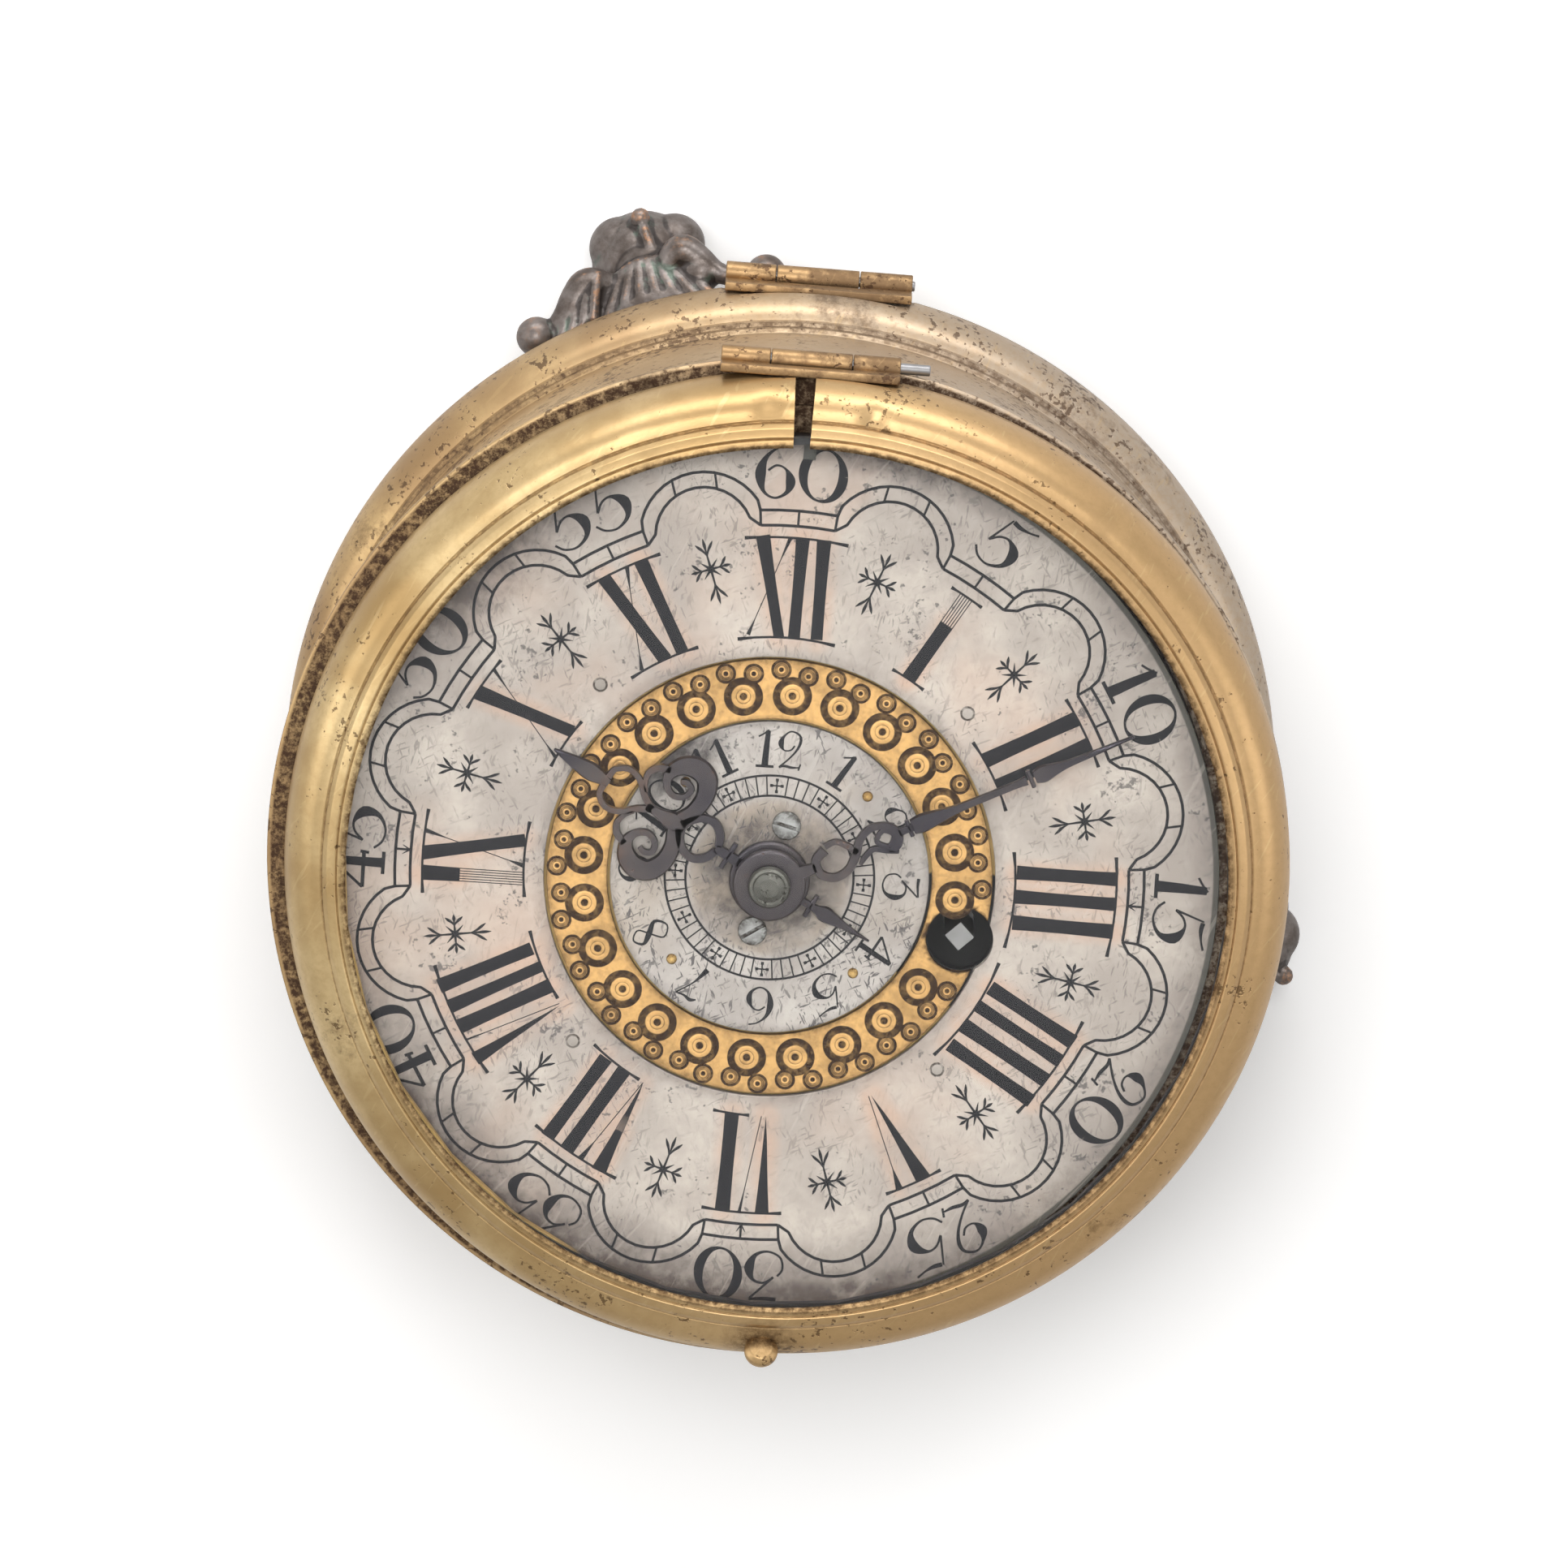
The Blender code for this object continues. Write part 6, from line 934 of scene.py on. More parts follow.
@dataclass
class Case(Assembly):
    """Gilt drum with its mouldings."""

    gilt: bpy.types.Material
    axis: Vector
    flange_radius: float = 53.4
    flange_edge: float = 0.9
    ledge_rise: float = 0.8
    ledge_radius: float = 45.6
    rim_radius: float = 48.6
    bore_radius: float = 48.4
    cove_radius: float = 50.6
    cove_drop: float = 5.0
    wall_radius: float = 49.9
    base_radius: float = 53.79
    base_fillet_radius: float = 50.4
    base_rise: float = 6.8
    base_edge: float = 1.0

    def section(self) -> list[Point]:
        """Section of the drum, from its ledge over the flange and down the outside."""
        low = bottom_of("case_drum")
        ledge = top_of("case_drum")
        top = ledge - self.ledge_rise
        cove_top = top - self.flange_edge
        cove_bottom = top - self.cove_drop
        lip = 0.8
        hollow = self.flange_radius - self.cove_radius - lip
        corners = [(self.ledge_radius, ledge, 0.2), (self.rim_radius, ledge, 0.15),
                   (self.rim_radius, top, 0.0), (self.flange_radius - 0.5, top, 0.0),
                   (self.flange_radius, top, 0.25),
                   (self.flange_radius, cove_top, 0.3)]
        corners += swept_arc((self.flange_radius - lip, cove_bottom), -hollow, cove_top - cove_bottom,
                             90.0, 0.0, 10)
        swell = self.base_radius - self.base_fillet_radius
        corners += [(self.wall_radius, cove_bottom - lip, 0.2),
                    (self.wall_radius, low + self.base_rise + 1.8, 0.4),
                    (self.base_fillet_radius, low + self.base_rise + 1.4, 0.2),
                    (self.base_fillet_radius, low + self.base_rise + 0.3, 0.1),
                    (self.base_fillet_radius + 0.35, low + self.base_rise + 0.1, 0.1)]
        corners += swept_arc((self.base_fillet_radius, low + self.base_edge), swell,
                             self.base_rise - self.base_edge * 1.3, 80.0, 0.0, 12)
        corners += [(self.base_radius, low, 0.25), (self.bore_radius, low, 0.2),
                    (self.bore_radius, ledge - 1.4, 0.2), (self.ledge_radius, ledge - 1.4, 0.2)]
        return softened(corners)

    def hinge_flat(self, node: str, room: float, low: float, high: float) -> bpy.types.Object:
        """Tool that makes the drum flat behind a hinge."""
        near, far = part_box(node)
        depth = 8.0
        width = (far.x - near.x) / MM + room * 2
        centre = ((near.x + far.x) / 2, near.y - room * MM + depth / 2 * MM, (low + high) / 2 * MM)
        return block("hinge_flat", (width, depth, high - low), centre, 0.0)

    def build(self) -> None:
        """Turn the drum and cut the flats behind the hinges."""
        drum = turned("gilt_drum", self.section(), self.axis)
        low = bottom_of("case_drum")
        top = top_of("case_drum")
        cut(drum, self.hinge_flat("case_hinge_leaf", 0.3, low - 4.0, top_of("case_hinge_leaf") + 0.3))
        cut(drum, self.hinge_flat("bezel_hinge_lug", 0.3, bottom_of("bezel_hinge_lug") - 0.3, top + 4.0))
        settle(drum, "gilt_drum")
        flange = top - self.ledge_rise
        groove = low + self.base_rise
        spread_grime(drum, self.axis, (
            # Full paint on the flange top and ledge beside the bezel: grime together with painted shade of the gap
            # under the bezel.
            (0.0, self.flange_radius - 0.45, flange - 0.05, top + 1.0, 1.0),
            (0.0, self.bore_radius + 0.1, low - 1.0, flange, 0.9),
            (self.flange_radius - 0.5, self.flange_radius + 0.1, flange - 1.1, flange - 0.8, 0.6),
            (self.wall_radius + 0.05, self.base_fillet_radius + 0.1, groove + 0.9, groove + 1.7, 0.5),
            (self.base_fillet_radius - 0.1, self.base_fillet_radius + 0.5, groove - 0.1, groove + 0.5, 0.7),
            (self.base_radius - 0.5, self.base_radius + 0.1, low - 0.1, low + 0.4, 0.6)))
        self.fit(drum, self.gilt, "gilt_brass", Body.CASE, "case_drum")


# ---------------------------------------------------------------------------------------------
# Bezel
# ---------------------------------------------------------------------------------------------


@dataclass
class Bezel(Assembly):
    """Bezel ring split at 12 o'clock, its domed glass and lifting knob."""

    gilt: bpy.types.Material
    glass: bpy.types.Material
    axis: Vector
    radius: float = 52.4
    edge: float = 0.9
    fillet_radius: float = 48.45
    arch: float = 5.75
    lip_radius: float = 45.7
    skirt_radius: float = 49.0
    skirt_depth: float = 3.3
    bed_radius: float = 47.0
    glass_radius: float = 46.7
    glass_edge: float = 1.0
    glass_rise: float = 2.0
    knob_lean: float = 42.0

    def section(self) -> list[Point]:
        """Section of the bezel: lip, grooves, wide arch, then the skirt and the glass bed."""
        low = bottom_of("bezel_ring")
        top = top_of("bezel_ring") - 0.25
        shoulder = low + self.edge
        corners = [(self.lip_radius, top - 0.5, 0.1), (self.lip_radius, top - 0.05, 0.2),
                   (self.lip_radius + 0.35, top + 0.2, 0.2), (self.lip_radius + 0.85, top + 0.05, 0.1),
                   (self.lip_radius + 0.95, top - 0.15, 0.05), (self.lip_radius + 1.15, top + 0.05, 0.2),
                   (self.fillet_radius - 0.75, top - 0.35, 0.5), (self.fillet_radius - 0.30, top - 0.95, 0.3),
                   (self.fillet_radius - 0.25, top - 1.65, 0.05), (self.fillet_radius, top - 1.60, 0.1)]
        corners += swept_arc((self.fillet_radius, shoulder), self.radius - self.fillet_radius,
                             self.arch, 84.0, 0.0, 16)
        corners += [(self.radius, low, 0.25), (self.skirt_radius, low, 0.2),
                    (self.skirt_radius, low + self.skirt_depth, 0.1),
                    (self.bed_radius, low + self.skirt_depth, 0.1),
                    (self.bed_radius, top - 0.5, 0.1)]
        return softened(corners)

    def split(self) -> bpy.types.Object:
        """Tapered tool for the gap at 12 o'clock, wider at its outer end."""
        hinge = middle_of("bezel_hinge_leaf")
        clock = middle_of("bell")
        reach = (self.lip_radius + self.radius) / 2
        centre = (clock.x - 1.15 * MM, clock.y + reach * MM, hinge.z + 4 * MM)
        tool = block("split", (1.5, 12.0, 16.0), centre, 0.0)
        activate(tool)
        mode("EDIT")
        bpy.ops.mesh.select_all(action="DESELECT")
        mode("OBJECT")
        for vert in tool.data.vertices:
            vert.select = vert.co.y > centre[1]
        mode("EDIT")
        bpy.ops.transform.resize(value=(1.55, 1, 1), center_override=centre)
        bpy.ops.transform.translate(value=(-0.12 * MM, 0, 0))
        mode("OBJECT")
        return tool

    def dent(self, ring: bpy.types.Object, place: Vector, depth: float, width: float) -> None:
        """Press a shallow dent in the arch, in rounds that grow smaller towards its middle."""
        rounds = 5
        nearest = min(ring.data.vertices, key=lambda vert: (vert.co - place).length).co.copy()
        for step in range(rounds):
            reach = width * MM * (1.0 - step / rounds)
            activate(ring)
            mode("EDIT")
            bpy.ops.mesh.select_mode(type="VERT")
            bpy.ops.mesh.select_all(action="DESELECT")
            mode("OBJECT")
            for vert in ring.data.vertices:
                vert.select = math.hypot(vert.co.x - nearest.x, vert.co.y - nearest.y) < reach \
                    and vert.co.z > nearest.z - (2.0 + depth) * MM
            mode("EDIT")
            bpy.ops.transform.translate(value=(0, 0, -depth * MM / rounds))
            mode("OBJECT")

    def build_ring(self) -> None:
        """Turn the bezel, split it and make it flat behind its hinge."""
        ring = turned("bezel_moulding", self.section(), self.axis, CLOCK_STEPS * 2)
        cut(ring, self.split())
        near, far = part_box("bezel_hinge_leaf")
        centre = ((near.x + far.x) / 2, near.y + 3.7 * MM, near.z)
        high = (far.z - near.z) / MM + 0.6
        tool = block("hinge_flat", ((far.x - near.x) / MM + 0.6, 8.0, high * 2),
                     (centre[0], centre[1], far.z + 0.3 * MM - high * MM), 0.0)
        cut(ring, tool)
        crest = top_of("bezel_ring") * MM
        self.dent(ring, Vector((-0.0077, 0.0475, crest)), 0.40, 1.7)
        self.dent(ring, Vector((0.0031, 0.0472, crest)), 0.50, 1.5)
        self.dent(ring, Vector((-0.0210, 0.0425, crest)), 0.16, 2.2)
        self.dent(ring, Vector((0.0290, 0.0380, crest)), 0.18, 1.8)
        settle(ring, "bezel_moulding")
        low = bottom_of("bezel_ring")
        top = top_of("bezel_ring")
        spread_grime(ring, self.axis, (
            (0.0, self.lip_radius + 0.1, low, top + 1.0, 1.0),
            (self.lip_radius + 0.1, self.lip_radius + 0.55, low, top + 1.0, 0.7),
            (self.lip_radius + 0.85, self.lip_radius + 1.0, low, top + 1.0, 0.35),
            (self.fillet_radius - 0.35, self.fillet_radius - 0.15, low, top + 1.0, 0.55),
            (self.radius - 0.1, self.radius + 0.1, low + 0.2, low + 1.4, 0.5),
            (0.0, self.radius - 0.3, low - 0.1, low + self.skirt_depth + 0.1, 0.9)),
            ((middle_of("bezel_knob"), 3.2, 0.8), (Vector((0.0242, 0.0402, top * MM)), 1.6, 0.6),
             (Vector((-0.0077, 0.0475, top * MM)), 0.8, 0.35), (Vector((0.0031, 0.0472, top * MM)), 0.7, 0.6)))
        self.fit(ring, self.gilt, "gilt_brass", Body.BEZEL, "bezel_ring")

    def build_glass(self) -> None:
        """Turn the low domed glass."""
        edge_top = top_of("bezel_glass") - self.glass_rise
        shares = [index / 20 for index in range(21)]
        top = [(self.glass_radius * share, edge_top + self.glass_rise * (1 - share * share))
               for share in shares]
        under = [(radius, height - self.glass_edge) for radius, height in reversed(top)]
        pane = turned("domed_glass", top + under, middle_of("bezel_glass"), closed=False)
        self.fit(pane, self.glass, "clear_glass", Body.BEZEL, "bezel_glass")

    def build_knob(self) -> None:
        """Turn the lifting knob and lean it outwards."""
        middle = middle_of("bezel_knob")
        outline = softened([(0.0, 2.2, 0), (1.25, 2.08, 0.5), (1.8, 1.55, 0.5), (1.72, 0.75, 0.3),
                            (1.0, 0.55, 0.1), (1.0, 0.3, 0.0), (0.0, 0.3, 0.0)], 5)
        knob = turned("lifting_knob", outline, Vector((0, 0, 0)), 64, closed=False)
        activate(knob)
        mode("EDIT")
        bpy.ops.mesh.select_all(action="SELECT")
        bpy.ops.transform.translate(value=(0, 0, -1.25 * MM))
        bpy.ops.transform.rotate(value=math.radians(self.knob_lean), orient_axis="X", center_override=(0, 0, 0))
        bpy.ops.transform.translate(value=(middle.x, middle.y + 0.1 * MM, middle.z))
        mode("OBJECT")
        away = points_of(knob) - np.array(middle)
        paint(knob, "grime_and_shade", np.clip(0.45 - away @ np.array((0, -0.7, 0.7)) / MM * 0.6, 0.15, 0.9))
        self.fit(knob, self.gilt, "gilt_brass", Body.BEZEL, "bezel_knob")

    def build(self) -> None:
        """Build the ring, the glass and the knob."""
        self.build_ring()
        self.build_glass()
        self.build_knob()


# ---------------------------------------------------------------------------------------------
# Hinges
# ---------------------------------------------------------------------------------------------


@dataclass
class Hinges(Assembly):
    """Both hinges: folded leaves with rolled knuckles on steel pins."""

    gilt: bpy.types.Material
    steel: bpy.types.Material
    knuckle_edge: float = 0.12
    leaf_edge: float = 0.14

    def leaf(self, name: str, node: str, hinge: Vector, radius: float,
             knuckles: Sequence[Point], plates: Sequence[tuple], body: Body) -> None:
        """Build one leaf from its knuckles and plates.

        Args:
            name: Name of the piece.
            node: CAD node that it stands for.
            hinge: Place on the pin's axis, in metres.
            radius: Radius of the knuckles.
            knuckles: Start and end of each knuckle along the pin.
            plates: Start and end along the pin, near and far side, low and high side of each plate.
            body: Body that it moves with.
        """
        parts = [round_bar(name, radius, start, end, hinge, self.knuckle_edge) for start, end in knuckles]
        for start, end, near, far, low, high in plates:
            centre = hinge + Vector(((start + end) / 2, (near + far) / 2, (low + high) / 2)) * MM
            parts.append(block(name, (end - start, far - near, high - low), centre, self.leaf_edge))
        self.fit(joined(name, parts), self.gilt, "gilt_brass", body, node)

    def build_base(self) -> None:
        """Hinge between the case and the bottom cover."""
        pin_low, pin_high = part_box("case_hinge_pin")
        hinge = Vector((middle_of("bell").x, (pin_low.y + pin_high.y) / 2, (pin_low.z + pin_high.z) / 2))
        low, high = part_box("case_hinge_leaf")
        left, right = ((low.x - hinge.x) / MM, (high.x - hinge.x) / MM)
        cover_low, cover_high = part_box("cover_hinge_leaf")
        first, second = ((cover_low.x - hinge.x) / MM, (cover_high.x - hinge.x) / MM)
        rise = (high.z - hinge.z) / MM
        self.leaf("case_hinge_plate", "case_hinge_leaf", hinge, 1.2,
                  ((left, first - 0.12), (second + 0.12, right)),
                  ((left, right, -1.3, -0.4, 1.5, rise), (left, first - 0.12, -1.3, -0.4, 0.0, 1.8),
                   (second + 0.12, right, -1.3, -0.4, 0.0, 1.8)), Body.CASE)
        self.leaf("cover_hinge_plate", "cover_hinge_leaf", hinge, 1.2, ((first, second),),
                  ((first, second, -1.5, 0.0, (cover_low.z - hinge.z) / MM, 0.4),), Body.BASE)
        pin = round_bar("base_hinge_steel", 0.55, left + 0.2, (pin_high.x - hinge.x) / MM - 0.6,
                        hinge, 0.15, 24)
        self.fit(pin, self.steel, "steel", Body.CASE, "case_hinge_pin")

    def build_bezel(self) -> None:
        """Hinge between the bezel and the case."""
        pin_low, pin_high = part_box("bezel_hinge_pin")
        hinge = Vector((middle_of("bell").x, (pin_low.y + pin_high.y) / 2, (pin_low.z + pin_high.z) / 2))
        low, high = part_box("bezel_hinge_leaf")
        left, right = ((low.x - hinge.x) / MM, (high.x - hinge.x) / MM)
        lug_low, lug_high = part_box("bezel_hinge_lug")
        first, second = ((lug_low.x - hinge.x) / MM, (lug_high.x - hinge.x) / MM)
        rise = (high.z - hinge.z) / MM
        self.leaf("bezel_hinge_plate", "bezel_hinge_leaf", hinge, 1.1,
                  ((left, first - 0.12), (second + 0.12, right)),
                  ((left, right, -1.2, -0.3, 1.4, rise), (left, first - 0.12, -1.2, -0.3, 0.0, 1.7),
                   (second + 0.12, right, -1.2, -0.3, 0.0, 1.7)), Body.BEZEL)
        self.leaf("bezel_hinge_ear", "bezel_hinge_lug", hinge, 1.1, ((first, second),),
                  ((first, second, -0.8, 0.1, (lug_low.z - hinge.z) / MM, 0.2),), Body.CASE)
        pin = round_bar("bezel_hinge_steel", 0.57, (pin_low.x - hinge.x) / MM, (pin_high.x - hinge.x) / MM,
                        hinge, 0.15, 24)
        self.fit(pin, self.steel, "steel", Body.BEZEL, "bezel_hinge_pin")

    def build(self) -> None:
        """Build both hinges."""
        self.build_base()
        self.build_bezel()


# ---------------------------------------------------------------------------------------------
# Feet
# ---------------------------------------------------------------------------------------------

Bead = tuple[float, float, float, float]


@dataclass
class Feet(Assembly):
    """Three cast feet: a cleft ball with its claw, a fluted skirt and scrolled arms.

    A bead is a place across the foot, a distance from the drum's axis, a height, and a radius.
    """

    bronze: bpy.types.Material
    axis: Vector
    angles: tuple[tuple[str, float], ...] = (("foot_back", -20.0), ("foot_right", 109.0), ("foot_left", 228.0))
    balls: tuple[Bead, ...] = ((0.0, 55.7, 5.7, 5.75), (-2.0, 58.0, 6.0, 3.5), (3.7, 56.9, 6.0, 3.4),
                               (1.1, 61.1, 8.7, 1.1), (-12.9, 52.4, 14.4, 2.2), (12.9, 52.4, 14.4, 2.2))
    claw: tuple[Bead, ...] = ((1.4, 57.8, 10.9, 0.7), (1.3, 59.3, 10.0, 0.6), (1.1, 60.6, 8.7, 0.6),
                              (1.0, 61.0, 6.2, 0.5), (0.8, 59.8, 3.2, 0.5))
    left_arm: tuple[Bead, ...] = ((-3.4, 54.6, 12.4, 1.6), (-5.9, 56.2, 12.9, 1.9), (-7.6, 55.2, 13.5, 1.8),
                                  (-9.0, 53.6, 14.0, 1.7), (-11.0, 52.2, 14.4, 1.4), (-12.9, 51.6, 14.6, 1.4))
    right_arm: tuple[Bead, ...] = ((2.6, 55.6, 12.6, 1.4), (4.6, 57.0, 12.4, 1.9), (6.3, 55.6, 12.9, 1.6),
                                   (7.8, 53.9, 13.5, 1.2), (10.2, 52.6, 14.2, 1.1), (12.9, 51.4, 14.6, 1.3))
    skirt_steps: int = 8
    grain: float = 0.30

    def bead(self, place: Sequence[float], sizes: Sequence[float]) -> bpy.types.Object:
        """Egg-shaped body with the given half sizes."""
        clear_selection()
        middle = [value * MM for value in place]
        bpy.ops.mesh.primitive_uv_sphere_add(segments=32, ring_count=20, radius=MM, location=middle)
        body = bpy.context.active_object
        mode("EDIT")
        bpy.ops.mesh.select_all(action="SELECT")
        bpy.ops.transform.resize(value=tuple(sizes), center_override=middle)
        mode("OBJECT")
        return body

    def rope(self, beads: Sequence[Bead]) -> bpy.types.Object:
        """Smooth body that runs through beads."""
        curve = bpy.data.curves.new("rope", "CURVE")
        curve.dimensions = "3D"
        curve.bevel_depth = 1.0
        curve.bevel_resolution = 4
        curve.use_fill_caps = True
        spline = curve.splines.new("POLY")
        known = [Vector(bead) for bead in beads]
        known = [known[0] * 2 - known[1]] + known + [known[-1] * 2 - known[-2]]
        route = []
        for index in range(1, len(known) - 2):
            for step in range(5):
                route.append(catmull(known[index - 1:index + 3], step / 5))
        route.append(known[-2])
        spline.points.add(len(route) - 1)
        for point, bead in zip(spline.points, route):
            point.co = (bead[0] * MM, bead[1] * MM, bead[2] * MM, 1)
            point.radius = bead[3] * MM
        body = bpy.data.objects.new("rope", curve)
        bpy.context.scene.collection.objects.link(body)
        activate(body)
        bpy.ops.object.convert(target="MESH")
        return bpy.context.active_object

    def cast(self) -> bpy.types.Object:
        """Melt all bodies of one foot into one casting."""
        bodies = [self.bead(place[:3], (place[3],) * 3) for place in self.balls]
        bodies += [self.bead((0.2, 53.2, 12.6), (4.2, 2.9, 2.6)), self.bead((-6.4, 54.2, 13.2), (2.6, 2.6, 1.9)),
                   self.bead((6.0, 54.2, 13.0), (2.4, 2.2, 1.8)), self.bead((0, 49.5, 15.0), (8.0, 4.6, 1.6)),
                   self.bead((0, 44.8, 15.7), (5.4, 5.4, 1.3)), self.bead((0.4, 55.6, 9.6), (3.6, 3.0, 3.4))]
        bodies += [self.rope(self.claw), self.rope(self.left_arm), self.rope(self.right_arm)]
        for step in range(self.skirt_steps):
            share = step / (self.skirt_steps - 1) * 2 - 1
            bodies.append(self.rope(((0.3 + share * 2.6, 57.2 - share * share * 0.9, 12.2, 0.62),
                                     (0.2 + share * 4.3, 55.6 - share * share, 13.6, 0.66),
                                     (share * 6.6, 53.0 - share * share, 15.2, 0.75),
                                     (share * 9.0, 50.0 - share * share, 16.2, 0.8))))
        for step in range(4):
            bodies.append(self.rope(((-4.6 - step * 0.9, 57.4 - step * 0.4, 13.6, 0.5),
                                     (-5.4 - step * 1.2, 55.4 - step * 0.5, 15.0, 0.55),
                                     (-6.4 - step * 1.4, 52.6 - step * 0.5, 15.8, 0.6))))
        foot = joined("casting", bodies)
        activate(foot)
        bpy.ops.object.transform_apply(location=True, rotation=True, scale=True)
        melt = foot.modifiers.new("melt", "REMESH")
        melt.mode = "VOXEL"
        melt.voxel_size = self.grain * MM
        soften = foot.modifiers.new("soften", "SMOOTH")
        soften.factor = 0.5
        soften.iterations = 2
        activate(foot)
        bpy.ops.object.modifier_apply(modifier=melt.name)
        bpy.ops.object.modifier_apply(modifier=soften.name)
        top = top_of("foot_back")
        for vert in foot.data.vertices:
            vert.co.z = max(0.0, min(top * MM, vert.co.z))
        return foot

    def paint_ridges(self, foot: bpy.types.Object) -> None:
        """Paint how far each point stands out from its neighbours."""
        places = points_of(foot).astype(float)
        normals = np.array([tuple(normal.vector) for normal in foot.data.vertex_normals])
        pairs = np.array([tuple(edge.vertices) for edge in foot.data.edges])
        total = np.zeros_like(places)
        count = np.zeros(len(places))
        for first, second in ((0, 1), (1, 0)):
            np.add.at(total, pairs[:, first], places[pairs[:, second]])
            np.add.at(count, pairs[:, first], 1)
        swell = ((places - total / count[:, None]) * normals).sum(axis=1) / MM
        for _ in range(2):
            sums = np.zeros(len(places))
            np.add.at(sums, pairs[:, 0], swell[pairs[:, 1]])
            np.add.at(sums, pairs[:, 1], swell[pairs[:, 0]])
            swell = swell * 0.5 + sums / count * 0.5
        paint(foot, "ridge", np.clip(0.5 + swell * 22.0, 0, 1))

    def build(self) -> None:
        """Cast one foot and set a copy at each place under the cover."""
        first = self.cast()
        for number, (node, angle) in enumerate(self.angles):
            foot = first
            if number < len(self.angles) - 1:
                foot = bpy.data.objects.new(node, first.data.copy())
                bpy.context.scene.collection.objects.link(foot)
            activate(foot)
            mode("EDIT")
            bpy.ops.mesh.select_all(action="SELECT")
            bpy.ops.transform.rotate(value=math.radians(angle), orient_axis="Z", center_override=(0, 0, 0))
            bpy.ops.transform.translate(value=(self.axis.x, self.axis.y, 0))
            mode("OBJECT")
            settle(foot, node.replace("foot", "cast_foot"), 80.0)
            self.paint_ridges(foot)
            self.fit(foot, self.bronze, "bronze", Body.BASE, node)


# ---------------------------------------------------------------------------------------------
# Engraving
# ---------------------------------------------------------------------------------------------


